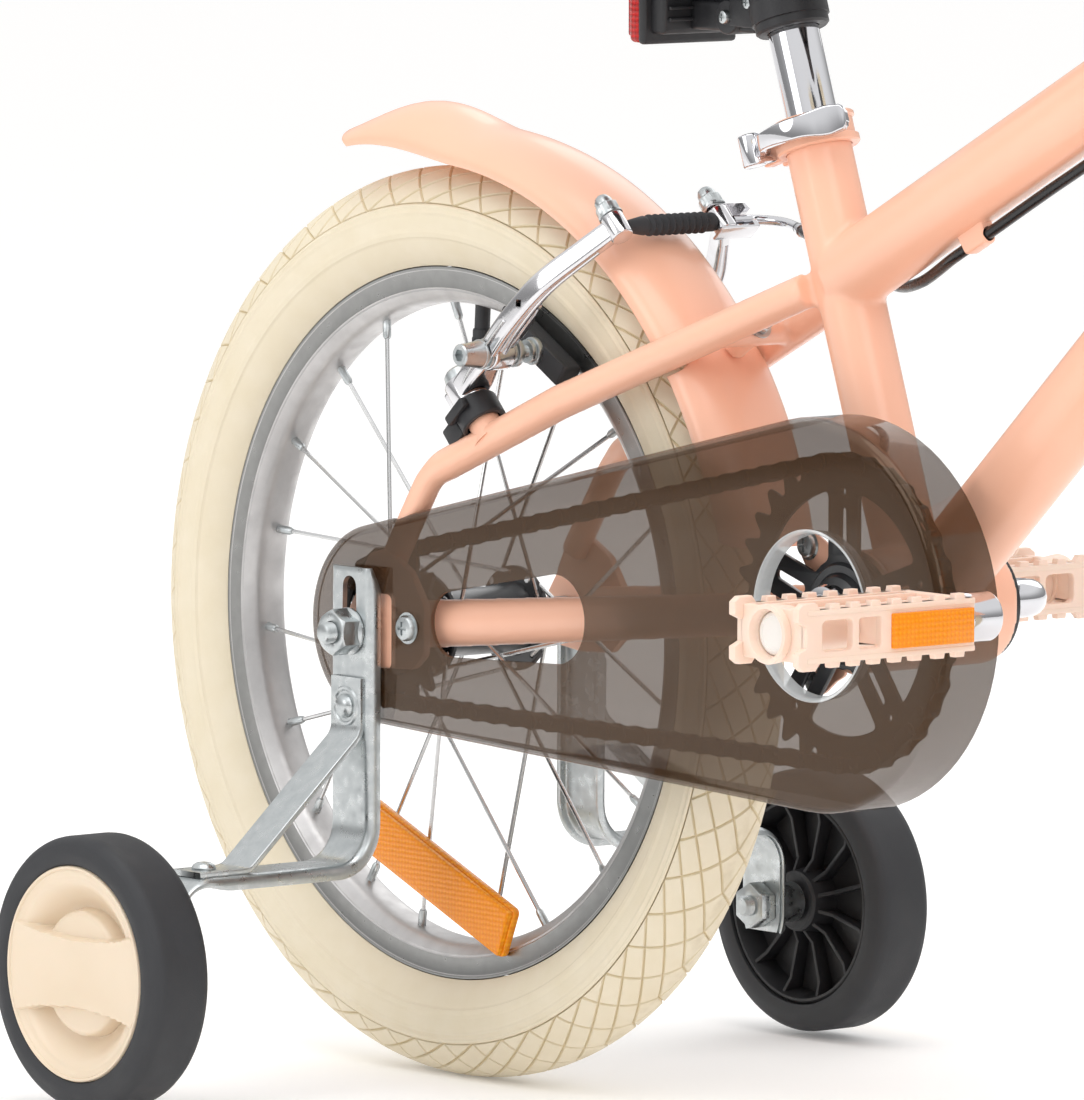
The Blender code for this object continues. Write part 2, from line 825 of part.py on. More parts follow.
def make_frame():
    head_foot = on_head(FORK_LENGTH)
    head_top = on_head(FORK_LENGTH + HEAD_TUBE_LENGTH)
    half_shell = Vector((0, SHELL_WIDTH / 2, 0))
    body = rod(head_foot, head_top, HEAD_TUBE_RADIUS, sides=14)
    seat_end = on_seat_line(TOP_TUBE_ON_SEAT)
    tubes = [
        rod(seat_end, on_head(FORK_LENGTH + TOP_TUBE_ON_HEAD), TOP_TUBE_RADIUS, sides=12),
        rod(BRACKET, on_head(FORK_LENGTH + DOWN_TUBE_ON_HEAD), DOWN_TUBE_RADIUS, sides=12),
        rod(BRACKET, on_seat_line(SEAT_TUBE_LENGTH), SEAT_TUBE_RADIUS, sides=14),
        rod(BRACKET - half_shell, BRACKET + half_shell, SHELL_RADIUS, sides=14),
        rod(BRIDGE - BRIDGE_HALF, BRIDGE + BRIDGE_HALF, 0.006, sides=8),
        rod(BRIDGE.normalized() * (FENDER_RADIUS + GAP), BRIDGE, 0.005, sides=8),
    ]
    for side in SIDES.values():
        start = to_side(CHAINSTAY_START, side)
        end = Vector((BRACKET.x, side * 0.020, BRACKET.z))
        flatten = CHAINSTAY_WIDTH / CHAINSTAY_HEIGHT
        big = CHAINSTAY_HEIGHT / 2 * 1.08
        tubes.append(rod(start, end, big, CHAINSTAY_HEIGHT / 2 * 0.9, 12, flatten))
        tubes.append(stay_tube(side))
        tubes.append(make_dropout(side))
        tubes.extend(brake_boss(BOSS_FOOT, PIVOT_LINE, side))
    guide = top_tube_point(GUIDE_PLACE, CABLE_DROP - 0.001)
    rise = top_tube_point(0.1) - top_tube_point(0)
    clip = block((0.012, 0.007, 0.0115))
    clip.data.transform(Matrix.Translation(guide) @ Matrix.Rotation(-math.atan2(rise.z, rise.x), 4, "Y"))
    tubes.append(clip)
    whole = joined(body, tubes)
    seat_low = on_seat_line(SEAT_TUBE_LENGTH - POST_INSERTION - POST_DROP - 0.004)
    seat_high = on_seat_line(SEAT_TUBE_LENGTH + 0.01)
    past = HEAD_LINE * 0.01
    cable_low = top_tube_point(GUIDE_PLACE - 0.02, CABLE_DROP)
    cable_high = top_tube_point(GUIDE_PLACE + 0.02, CABLE_DROP)
    bores = [
        rod(seat_low, seat_high, POST_RADIUS + POST_FIT, sides=16),
        rod(head_foot - past, head_top + past, HEAD_TUBE_BORE, sides=20),
        rod(BRACKET - half_shell * 1.2, BRACKET + half_shell * 1.2, SHELL_BORE, sides=24),
        rod(cable_low, cable_high, CABLE_RADIUS + RUNNING_GAP, sides=10),
    ]
    finish(cut(whole, bores), "frame", "peach paint", rear_point)


make_frame()


def turned_on(name, material, profile, steps, parent, side):
    """A turned piece about the parent's Y line, its height running outwards from the bike."""
    rotation = (math.pi / 2 if side < 0 else -math.pi / 2, 0, 0)
    return finish(turned(profile, steps), name, material, parent, (0, 0, 0), rotation)


def make_rear_axle():
    """Threaded axle with the cones and locknuts that space the hub from the dropouts."""
    left = HUB_LENGTH / 2 + GAP
    right = CHAIN_LINE + FREEWHEEL_SEAT + GAP
    spacer = DROPOUT_INNER - GAP
    tip = 0.084
    free = HUB_BARREL_RADIUS * 0.55
    section = [
        (0.0, tip),
        (AXLE_RADIUS - 0.0008, tip),
        (AXLE_RADIUS, tip - 0.001),
        (AXLE_RADIUS, spacer),
        (free, spacer),
        (free, right),
        (AXLE_RADIUS, right),
        (AXLE_RADIUS, -left),
        (free, -left),
        (free, -spacer),
        (AXLE_RADIUS, -spacer),
        (AXLE_RADIUS, -tip + 0.001),
        (AXLE_RADIUS - 0.0008, -tip),
        (0.0, -tip),
    ]
    finish(turned(section, 8, closed=False), "rear_axle", "zinc", rear_point, rotation=UPRIGHT)


def make_nut(name, parent, seat, side):
    """A flanged hex nut with its seat that far out along Y."""
    flange = rod((0, side * seat, 0), (0, side * (seat + 0.002), 0), 0.0105, 0.0100, 12)
    hexagon = rod((0, side * (seat + 0.001), 0), (0, side * (seat + 0.0105), 0), 0.0092, sides=6)
    bore = rod((0, side * (seat - 0.01), 0), (0, side * (seat + 0.02), 0), AXLE_RADIUS + GAP, sides=12)
    finish(cut(joined(flange, [hexagon]), [bore]), name, "zinc", parent)


make_rear_axle()
for side_name, side in SIDES.items():
    make_nut("rear_axle_nut_" + side_name, rear_point, CHANNEL_FACE + GAP, side)

# Chain case

CASE_REAR = Vector((0.006, 0.003))
CASE_REAR_DEPTH = 0.0042
CASE_EDGE = 0.0045


def case_outline(inset, steps=8):
    return belt(CASE_REAR, CASE_REAR_RADIUS - inset, BRACKET.xz, CASE_FRONT_RADIUS - inset, steps)


def make_chain_guard():
    deep = CASE_DEPTH + 0.02
    shell = plate([case_outline(CASE_EDGE)], deep, CASE_EDGE)
    shell = moved(shell, Matrix.Translation((0, deep / 2 - CASE_OUTER, 0)))
    inner_edge = CASE_EDGE - CASE_WALL
    hollow = plate([case_outline(CASE_WALL + inner_edge)], deep, inner_edge)
    hollow = moved(hollow, Matrix.Translation((0, deep / 2 - CASE_INNER, 0)))
    rear_x = CASE_REAR.x - CASE_REAR_RADIUS
    front_x = BRACKET.x + CASE_FRONT_RADIUS
    slope = math.atan2(CASE_DEPTH - CASE_REAR_DEPTH, front_x - rear_x)
    length = (front_x - rear_x) * 1.4
    wedge = block((length, 0.1, 0.3), (length * 0.4, 0.05, 0))
    place = Matrix.Translation((rear_x, CASE_REAR_DEPTH - CASE_OUTER, 0))
    wedge.data.transform(place @ Matrix.Rotation(slope, 4, "Z"))
    through = 0.02
    face = Matrix.Translation((0, -CASE_OUTER, 0))
    hole = plate([circle(BRACKET.xz, CASE_HOLE_RADIUS, 18)], through)
    slot = plate([belt((0.0625, 0.0075), 0.0145, (0.1335, 0.0155), 0.0195, 5)], through)
    square = plate([[(-0.0204, -0.0158), (0.0204, -0.0158), (0.0204, 0.0172), (-0.0204, 0.0172)]], through)
    thread = plate([circle(SCREW_PLACE, SCREW_RADIUS + GAP, 10)], through)
    cutters = [hollow, wedge] + [moved(piece, face) for piece in (hole, slot, square, thread)]
    cutters.append(stay_tube(-1, 0.0012))
    finish(cut(shell, cutters), "chain_guard", "smoked plastic", rear_point)


def make_guard_screw():
    """The screw that holds the case's rear end to the dropout."""
    x, z = SCREW_PLACE
    head = rod((x, -CASE_OUTER - GAP, z), (x, -CASE_OUTER - 0.0032, z), 0.0058, 0.0045, 16)
    shank = rod((x, -CASE_OUTER - 0.001, z), (x, -DROPOUT_INNER - 0.0022, z), SCREW_RADIUS, sides=10)
    finish(joined(head, [shank]), "guard_screw", "zinc", rear_point)


make_chain_guard()
make_guard_screw()

CUP_FLANGE = 0.0028
CUP_RADIUS = 0.0246
CUP_DEPTH = 0.010
CUP_THREAD_DEPTH = 0.0004
EAR_THICKNESS = 0.0018
BRACKET_PLATE = EAR_THICKNESS + GAP


def make_guard_bracket():
    """A plate ring clamped under the right bearing cup, with two ears for the case's tabs."""
    ring = plate([circle((0, 0), CUP_RADIUS + 0.002, 16)], EAR_THICKNESS)
    ears = []
    for angle in (math.radians(139), math.radians(232)):
        out = Vector((math.cos(angle), math.sin(angle)))
        outline = strip([out * 0.018, out * 0.034, out * 0.046], [0.024, 0.018, 0.012])
        ears.append(plate([outline], EAR_THICKNESS * 0.9))
        x, z = out * 0.040
        ears.append(rod((x, 0, z), (x, -0.0030, z), 0.0048, 0.0040, 8))
    bore = rod((0, -0.01, 0), (0, 0.01, 0), SHELL_BORE - CUP_THREAD_DEPTH + GAP, sides=20)
    place = (0, -(SHELL_WIDTH / 2 + GAP + EAR_THICKNESS / 2), 0)
    finish(cut(joined(ring, ears), [bore]), "guard_bracket", "peach paint", bracket_point, place)


def make_cup(side_name, side):
    spacer = BRACKET_PLATE if side < 0 else 0.0
    seat = SHELL_WIDTH / 2 + spacer + GAP
    outer = SHELL_BORE - CUP_THREAD_DEPTH
    bore = CRANK_BAR_RADIUS + RUNNING_GAP
    section = [
        (bore, seat + CUP_FLANGE),
        (CUP_RADIUS - 0.001, seat + CUP_FLANGE),
        (CUP_RADIUS, seat + CUP_FLANGE - 0.001),
        (CUP_RADIUS, seat),
        (outer, seat),
        (outer, SHELL_WIDTH / 2 - CUP_DEPTH),
        (bore, SHELL_WIDTH / 2 - CUP_DEPTH),
    ]
    turned_on("bottom_bracket_cup_" + side_name, "black steel", section, 12, bracket_point, side)


make_guard_bracket()
for side_name, side in SIDES.items():
    make_cup(side_name, side)

# Crank and pedals

COLLAR_OUTER = SHELL_WIDTH / 2 + BRACKET_PLATE + GAP + CUP_FLANGE + RUNNING_GAP
PEDAL_START = CRANK_ARM_OFFSET + PEDAL_INSET
PEDAL_TIP = PEDAL_START + PEDAL_LENGTH - 0.014
CRANK_REACH = Vector((math.cos(CRANK_ANGLE), 0, math.sin(CRANK_ANGLE))) * CRANK_LENGTH


def make_crank():
    out = Vector((0, CRANK_ARM_OFFSET, 0))
    route = bends([CRANK_REACH - out, -out, out, -CRANK_REACH + out], CRANK_BEND, 3)
    bar = tube(route, CRANK_BAR_RADIUS, 2)
    pieces = []
    for side in SIDES.values():
        eye = -side * CRANK_REACH + side * out
        half = Vector((0, side * 0.0088, 0))
        pieces.append(rod(eye - half, eye + half, CRANK_EYE_RADIUS, sides=12))
        tip = Vector((eye.x, side * PEDAL_TIP, eye.z))
        pieces.append(rod(eye, tip, SPINDLE_RADIUS, sides=10))
        flange = Vector((eye.x, side * (PEDAL_START - RUNNING_GAP), eye.z))
        pieces.append(rod(eye, flange, 0.0078, sides=10))
    ring_face = CHAIN_LINE - TOOTH_THICKNESS / 2 - GAP
    pieces.append(rod((0, -COLLAR_OUTER, 0), (0, -ring_face, 0), 0.0172, sides=16))
    pieces.append(rod((0, -COLLAR_OUTER - 0.0002, 0), (0, -CHAIN_LINE - 0.0055, 0), RING_BORE - GAP, sides=16))
    finish(joined(bar, pieces), "crank", "chrome", bracket_point)


def make_pedal(side_name, side):
    """A cage of two rails, end plates and a barrel, with studs along its rails."""
    middle = PEDAL_START + PEDAL_LENGTH / 2
    place = REAR_AXLE + BRACKET - CRANK_REACH * side + Vector((0, side * middle, 0))
    axle = point("pedal_axis_" + side_name, place)
    across_rail = PEDAL_WIDTH / 2 - PEDAL_WALL / 2
    along = PEDAL_LENGTH / 2 - PEDAL_WALL / 2
    height = PEDAL_HEIGHT - 0.006
    half = PEDAL_LENGTH / 2 - SLIVER
    body = rod((0, -half, 0), (0, half, 0), SPINDLE_RADIUS + 0.0045, sides=10)
    pieces = []
    for way in (-1, 1):
        pieces.append(block((PEDAL_WALL, PEDAL_LENGTH, height), (way * across_rail, 0, 0)))
        inset = (PEDAL_WIDTH - 2 * SLIVER, PEDAL_WALL - SLIVER, height - 2 * SLIVER)
        pieces.append(block(inset, (0, way * (along - SLIVER), 0)))
        for up in (-1, 1):
            for k in range(3):
                y = (k - 1) * PEDAL_LENGTH / 3.1
                stud = (way * across_rail, y, up * (height + 0.002) / 2)
                pieces.append(block((PEDAL_WALL - 0.0008, 0.008, 0.0040), stud))
    inboard = -side * PEDAL_LENGTH
    stop = side * (PEDAL_TIP + RUNNING_GAP - middle)
    bore = rod((0, inboard, 0), (0, stop, 0), SPINDLE_RADIUS + RUNNING_GAP, sides=10)
    finish(cut(joined(body, pieces), [bore]), "pedal_" + side_name, "blush plastic", axle)


make_crank()
for side_name, side in SIDES.items():
    make_pedal(side_name, side)

# Training wheels

TAB_LOW = TRAINING_HEIGHT - 0.012
TRAINING_BOLT_RADIUS = 0.0055
WHEEL_INNER = TRAINING_OFFSET - TRAINING_WIDTH / 2


def across(outline, width, shift=0.0):
    """An outline in the YZ plane, drawn out that wide along X."""
    place = Matrix.Translation((shift, 0, 0)) @ Matrix.Rotation(math.pi / 2, 4, "Z")
    return moved(plate([outline], width), place)


def flat_bends(corners, radius):
    return [p.xy for p in bends([(y, z, 0) for y, z in corners], radius, 2)]


def make_training_bracket(side_name, side):
    """A bent channel, its brace, rivets and wheel bolt, drawn for the left side."""
    wall = CHANNEL_WALL
    middle = CHANNEL_FACE - wall / 2
    corners = [(middle, BRACKET_TOP), (middle, -ARM_DROP), (TAB_OFFSET, -ARM_DROP), (TAB_OFFSET, TAB_LOW)]
    web = flat_bends(corners, CHANNEL_BEND)
    body = across(strip(web, [wall] * len(web)), CHANNEL_WIDTH)
    depth = CHANNEL_DEPTH - 2 * SLIVER
    lip = CHANNEL_DEPTH / 2
    low = -ARM_DROP + wall / 2 - lip
    path = [(CHANNEL_FACE - lip, BRACKET_TOP - SLIVER), (CHANNEL_FACE - lip, low)]
    path.append((TAB_OFFSET - CHANNEL_BEND, low))
    rail = flat_bends(path, CHANNEL_BEND + lip)
    pieces = []
    for way in (-1, 1):
        shift = way * ((CHANNEL_WIDTH - wall) / 2 - SLIVER)
        pieces.append(across(strip(rail, [depth] * len(rail)), wall, shift))
    over = wall - 0.0003
    brace = [(middle + over, -0.022), (middle + over, -0.043)]
    brace += [(0.132, -ARM_DROP + over), (0.158, -ARM_DROP + over)]
    pieces.append(across(strip(brace, [wall] * 4), CHANNEL_WIDTH * 0.78))
    for y, z, out in ((CHANNEL_FACE, -0.033, Vector((0, 1, 0))), (0.152, -ARM_DROP, Vector((0, 0, 1)))):
        start = Vector((0, y, z))
        pieces.append(rod(start, start + out * 0.0065, 0.005, 0.0035, 6))
    nut = TAB_OFFSET - 0.009
    tip = TRAINING_OFFSET + TRAINING_WIDTH / 2 - 0.010
    high = TRAINING_HEIGHT
    pieces.append(rod((0, nut, high), (0, tip, high), TRAINING_BOLT_RADIUS, sides=10))
    pieces.append(rod((0, nut + 0.001, high), (0, TAB_OFFSET, high), 0.0105, sides=6))
    pieces.append(rod((0, TAB_OFFSET, high), (0, WHEEL_INNER - RUNNING_GAP, high), 0.0095, sides=8))
    slot = belt((0, -0.0005), AXLE_RADIUS + GAP, (0, 0.020), AXLE_RADIUS + GAP - SLIVER, 6)
    slot = moved(plate([slot], 0.03), Matrix.Translation((0, CHANNEL_FACE, 0)))
    whole = cut(joined(body, pieces), [slot])
    if side < 0:
        mirrored(whole)
    finish(whole, "training_bracket_" + side_name, "zinc", rear_point)


def make_training_wheel(side_name, side):
    place = REAR_AXLE + Vector((0, side * TRAINING_OFFSET, TRAINING_HEIGHT))
    axle = point("training_axis_" + side_name, place)
    half = TRAINING_WIDTH / 2
    section = [
        (CAP_RADIUS, half - 0.003),
        (CAP_RADIUS + 0.003, half),
        (TRAINING_RADIUS - 0.005, half - 0.001),
        (TRAINING_RADIUS, half - 0.008),
        (TRAINING_RADIUS, -half + 0.008),
        (TRAINING_RADIUS - 0.005, -half + 0.001),
        (CAP_RADIUS + 0.003, -half),
        (CAP_RADIUS, -half + 0.003),
    ]
    turned_on("training_tyre_" + side_name, "black rubber", section, TRAINING_STEPS, axle, side)
    rim = CAP_RADIUS - GAP
    bore = TRAINING_BOLT_RADIUS + RUNNING_GAP
    cap = [
        (0.0, half - 0.005),
        (0.013, half - 0.005),
        (0.028, half - 0.0075),
        (rim - 0.002, half - 0.0015),
        (rim, half - 0.004),
        (rim, -half + 0.002),
        (rim - 0.004, 0.002),
        (0.0165, 0.002),
        (0.0145, -half),
        (bore, -half),
        (bore, half - 0.0095),
        (0.0, half - 0.0095),
    ]
    turned_on("training_hub_" + side_name, "cream plastic", cap, TRAINING_STEPS, axle, side)


for side_name, side in SIDES.items():
    make_training_bracket(side_name, side)
    make_training_wheel(side_name, side)

# Mudguards


def eased(knots, x):
    """A smooth value at x between knots of place and value."""
    if x <= knots[0][0]:
        return knots[0][1]
    for (x0, v0), (x1, v1) in zip(knots, knots[1:]):
        if x <= x1:
            share = (x - x0) / (x1 - x0)
            share = share * share * (3 - 2 * share)
            return v0 + (v1 - v0) * share
    return knots[-1][1]


def fender_surface(first, last, steps, ridge_knots, edge_knots, width_knots):
    """A sheet arched over the wheel, from one angle to the other in degrees."""
    columns = 4
    build = bmesh.new()
    rows = []
    for k in range(steps + 1):
        degrees = first + (last - first) * k / steps
        angle = math.radians(degrees)
        ridge = eased(ridge_knots, degrees)
        edge = eased(edge_knots, degrees)
        half = eased(width_knots, degrees) / 2
        row = []
        for n in range(columns + 1):
            lean = math.pi * (n / columns - 0.5)
            reach = edge + (ridge - edge) * max(math.cos(lean), 0.0) ** 0.9
            y = half * math.sin(lean)
            row.append(build.verts.new((reach * math.cos(angle), y, reach * math.sin(angle))))
        rows.append(row)
    for lower, upper in zip(rows, rows[1:]):
        for n in range(columns):
            build.faces.new((lower[n], lower[n + 1], upper[n + 1], upper[n]))
    mesh = bpy.data.meshes.new("fender")
    build.to_mesh(mesh)
    build.free()
    sheet = loose(mesh)
    wall = sheet.modifiers.new("wall", "SOLIDIFY")
    wall.thickness = FENDER_WALL
    wall.offset = -1.0
    wall.use_even_offset = False
    return sheet


FENDER_EDGE = FENDER_RADIUS - FENDER_ARCH


def make_rear_fender():
    ridge = [(84, FENDER_RADIUS), (97, FENDER_RADIUS + 0.010), (106, FENDER_RADIUS + 0.006)]
    edge = [(84, FENDER_EDGE), (106, FENDER_EDGE + 0.011)]
    width = [(12, FENDER_WIDTH * 0.93), (30, FENDER_WIDTH), (90, FENDER_WIDTH), (106, FENDER_WIDTH * 1.06)]
    sheet = solid(fender_surface(13.0, 106.0, 18, ridge, edge, width))
    reliefs = [stay_tube(side, 0.0015) for side in SIDES.values()]
    finish(cut(sheet, reliefs), "rear_fender", "peach paint", rear_point)


make_rear_fender()

# Rim brakes

PAD_ALONG = 0.027
PAD_BOLT_RADIUS = 0.0030
PAD_HEIGHT = 0.010
HEAD_INSET = 0.0165
ARM_HEAD_RADIUS = 0.0050


def make_brake_arm(name, parent, place, tilt, side):
    """One arm, drawn along X from its pivot with Z as the pivot line, then tilted into place."""
    length = BRAKE_ARM_LENGTH
    path = [(-0.0075, 0), (0.004, 0), (0.012, 0), (PAD_ALONG, 0), (0.055, 0), (0.082, -0.0035), (length, -HEAD_INSET)]
    widths = [0.010, 0.0152, 0.0095, 0.0085, 0.0075, 0.0065, 0.006]
    outline = strip(path, widths)
    arm = laid_flat(plate([outline, circle((0, 0), BRAKE_STUD_RADIUS + GAP, 12)], BRAKE_ARM_THICKNESS))
    half = BRAKE_ARM_THICKNESS / 2 - SLIVER
    head = rod((length, -HEAD_INSET, -half), (length, -HEAD_INSET, half), ARM_HEAD_RADIUS, sides=14)
    hole = rod((PAD_ALONG, -0.02, 0), (PAD_ALONG, 0.02, 0), PAD_BOLT_RADIUS + GAP, sides=10)
    arm = cut(joined(arm, [head]), [hole])
    if side < 0:
        mirrored(arm)
    return finish(arm, name, "alloy", parent, place, (0, tilt, 0))


def make_pad(name, parent, place, turn, arm_offset, side):
    """A rubber block with the bolt that carries it, along Y through the arm, and its nut."""
    start = RIM_WIDTH / 2 + PAD_GAP
    shoe = block((PAD_LENGTH, PAD_THICKNESS, PAD_HEIGHT), (0.004, start + PAD_THICKNESS / 2, 0))
    near = arm_offset - 0.0085 / 2 - GAP
    far = arm_offset + 0.0085 / 2 + GAP
    pieces = [
        rod((0, start + PAD_THICKNESS - 0.001, 0), (0, near, 0), 0.0058, sides=6),
        rod((0, start + 0.004, 0), (0, far + 0.012, 0), PAD_BOLT_RADIUS, sides=8),
        rod((0, far, 0), (0, far + 0.010, 0), 0.0062, 0.0050, 6),
    ]
    pad = joined(shoe, pieces)
    if side < 0:
        mirrored(pad)
    return finish(pad, name, "black rubber", parent, place, (0, turn, 0))


def brake_place(foot, line, side):
    """The middle of a brake arm's hub on its stud."""
    return to_side(foot, side) + line * (BRAKE_BOSS_LENGTH + GAP + BRAKE_ARM_THICKNESS / 2)


for side_name, side in SIDES.items():
    pivot = brake_place(BOSS_FOOT, PIVOT_LINE, side)
    arm_point = point("rear_brake_pivot_" + side_name, REAR_AXLE + pivot, -REAR_ARM_ANGLE)
    make_brake_arm("rear_brake_arm_" + side_name, arm_point, (0, 0, 0), 0, side)
    bolt = pivot + ARM_LINE * PAD_ALONG
    spin = REAR_ARM_ANGLE - math.atan2(bolt.z, bolt.x) - math.pi / 2
    shift = Vector((PAD_ALONG, -side * BOSS_FOOT.y, 0))
    make_pad("rear_brake_pad_" + side_name, arm_point, shift, spin, BOSS_FOOT.y, side)


def make_boot(name, parent, place):
    """The rubber sleeve between the two arm heads, with its ribs."""
    half = BOSS_FOOT.y - HEAD_INSET - ARM_HEAD_RADIUS - GAP
    ribs = 9
    route = []
    sizes = []
    for k in range(2 * ribs + 1):
        route.append(Vector((0, -half + 2 * half * k / (2 * ribs), 0)))
        sizes.append(1.0 if k % 2 else 0.80)
    sizes[0] = sizes[-1] = 0.7
    finish(tube(route, BOOT_RADIUS, 2, sizes), name, "black rubber", parent, place)


BOOT_RADIUS = 0.0045
REAR_HEADS = brake_place(BOSS_FOOT, PIVOT_LINE, 1) + ARM_LINE * BRAKE_ARM_LENGTH
REAR_HEADS.y = 0
make_boot("rear_brake_boot", rear_point, REAR_HEADS)

# Seat


def make_seat_post():
    low = SEAT_TUBE_LENGTH - POST_INSERTION
    post = rod((0, 0, low), (0, 0, SEAT_TUBE_LENGTH + POST_RISE), POST_RADIUS, sides=16)
    finish(post, "seat_post", "chrome", seat_point)


def make_seat_clamp():
    """A split collar round the top of the seat tube, with its ears behind and its cross bolt."""
    bottom = SEAT_TUBE_LENGTH - COLLAR_HEIGHT
    outer = COLLAR_RADIUS
    ring = rod((0, 0, bottom), (0, 0, bottom + COLLAR_HEIGHT), outer, sides=16)
    height = COLLAR_HEIGHT - 2 * SLIVER
    middle = bottom + COLLAR_HEIGHT / 2
    ears = block((0.014, 0.017, height), (-outer - 0.004, 0, middle))
    bore = rod((0, 0, bottom - 0.01), (0, 0, bottom + 0.03), SEAT_TUBE_RADIUS + GAP, sides=16)
    slit = block((0.020, 0.0028, 0.03), (-outer - 0.002, 0, middle))
    clamp = cut(joined(ring, [ears]), [bore, slit])
    x = -outer - 0.0052
    bolt = rod((x, -0.0120, middle), (x, 0.0125, middle), 0.0026, sides=12)
    nut = rod((x, 0.0083, middle), (x, 0.0145, middle), 0.0052, 0.0042, 14)
    finish(joined(clamp, [bolt, nut]), "seat_clamp", "peach paint", seat_point)
    return Vector((x, -0.0168, middle))


LEVER_THICKNESS = 0.0045
LEVER_HEIGHT = 0.010
LEVER_END = math.radians(-38)


def make_clamp_lever(pivot):
    """The quick-release lever, wrapped forwards round the right of the collar."""
    axle = point("clamp_lever_axis", REAR_AXLE + on_seat_line(0), SEAT_ANGLE - math.pi / 2)
    axle.location = seat_point.matrix_basis @ pivot
    clear = COLLAR_RADIUS + 0.0015 + LEVER_THICKNESS / 2
    barrel = rod((0, 0, -0.0065), (0, 0, 0.0065), 0.0042, sides=16)
    start = math.atan2(pivot.y, pivot.x) + 0.10
    path = [(0.0, 0.0)]
    for k in range(7):
        angle = start + (LEVER_END - start) * (k + 1) / 7
        reach = clear + 0.0022 - 0.0002 * k / 6
        path.append((reach * math.cos(angle) - pivot.x, reach * math.sin(angle) - pivot.y))
    last = Vector(path[-1]) + (Vector(path[-1]) - Vector(path[-2])).normalized() * 0.012
    path.append(tuple(last))
    widths = [LEVER_THICKNESS] * (len(path) - 1) + [LEVER_THICKNESS * 0.7]
    arm = laid_flat(plate([strip(path, widths)], LEVER_HEIGHT))
    finish(joined(barrel, [arm]), "seat_clamp_lever", "chrome", axle)


make_seat_post()
make_clamp_lever(make_seat_clamp())

REFLECTOR_SEAT = 0.0395
REFLECTOR_BAND = 0.018
REFLECTOR_THICKNESS = 0.008
REFLECTOR_WIDTH = 0.052
REFLECTOR_HEIGHT = 0.046
LEVEL = (0, math.pi / 2 - SEAT_ANGLE, 0)


def make_rear_reflector():
    """A band on the post with an arm behind it, and the red lens on its end."""
    bottom = SEAT_TUBE_LENGTH + REFLECTOR_SEAT
    band = rod((0, 0, bottom), (0, 0, bottom + REFLECTOR_BAND), POST_RADIUS + 0.005, sides=16)
    middle = bottom + REFLECTOR_BAND / 2
    level = Matrix.Translation((0, 0, middle)) @ Matrix.Rotation(math.pi / 2 - SEAT_ANGLE, 4, "Y")
    arm = moved(block((0.052, 0.015, 0.014), (-0.037, 0, -0.004)), level)
    back = moved(block((0.012, 0.044, 0.037), (-0.062, 0, 0.0065)), level)
    bore = rod((0, 0, bottom - 0.01), (0, 0, bottom + 0.03), POST_RADIUS + GAP, sides=16)
    finish(cut(joined(band, [arm, back]), [bore]), "reflector_bracket", "black plastic", seat_point)
    lens = block((REFLECTOR_THICKNESS, REFLECTOR_WIDTH, REFLECTOR_HEIGHT))
    bevel = lens.modifiers.new("round", "BEVEL")
    bevel.width = 0.003
    bevel.segments = 1
    place = level @ Vector((-0.068 - GAP - REFLECTOR_THICKNESS / 2, 0, 0.0065))
    finish(lens, "rear_reflector", "red lens", seat_point, place, LEVEL)


make_rear_reflector()


UNDERSIDE = 0.30


def saddle_half_width(share):
    """Half the seat's width at a share of its length, from the tail to the nose."""
    knots = [(0.0, 0.30), (0.10, 0.86), (0.24, 1.0), (0.42, 0.74), (0.62, 0.36), (0.90, 0.25), (1.0, 0.12)]
    return eased(knots, share) * SADDLE_WIDTH / 2


def saddle_body(bottom, top_share, rings=12, around=14):
    """A rounded seat form lofted along X, its sides drawn in under the edge."""
    build = bmesh.new()
    loops = []
    for k in range(rings):
        share = k / (rings - 1)
        x = SADDLE_LENGTH * (share - 0.5)
        half = saddle_half_width(share)
        crown = SADDLE_THICKNESS * top_share * (0.86 + 0.14 * math.cos(2 * math.pi * share))
        crown *= eased([(0.0, 0.45), (0.09, 1.0), (0.93, 0.95), (1.0, 0.5)], share)
        loop = []
        for n in range(around):
            angle = 2 * math.pi * n / around
            c = math.cos(angle)
            s = math.sin(angle)
            y = half * math.copysign(abs(c) ** 0.8, c)
            if s < 0:
                y *= 1 - 0.16 * abs(s)
            z = bottom + (crown * abs(s) ** 0.75 if s > 0 else -UNDERSIDE * crown * abs(s) ** 0.6)
            loop.append(build.verts.new((x, y, z)))
        loops.append(loop)
    for first, second in zip(loops, loops[1:]):
        for n in range(around):
            m = (n + 1) % around
            build.faces.new((first[n], second[n], second[m], first[m]))
    build.faces.new(loops[0])
    build.faces.new(loops[-1][::-1])
    bmesh.ops.recalc_face_normals(build, faces=build.faces)
    mesh = bpy.data.meshes.new("saddle")
    build.to_mesh(mesh)
    build.free()
    return loose(mesh)


SADDLE_SHIFT = 0.010
CUSHION_SHARE = 0.72
BASE_PLATE = 0.005
PLATE_TOP = 0.0106
RAIL_RADIUS = 0.0035
RAIL_OFFSET = 0.020


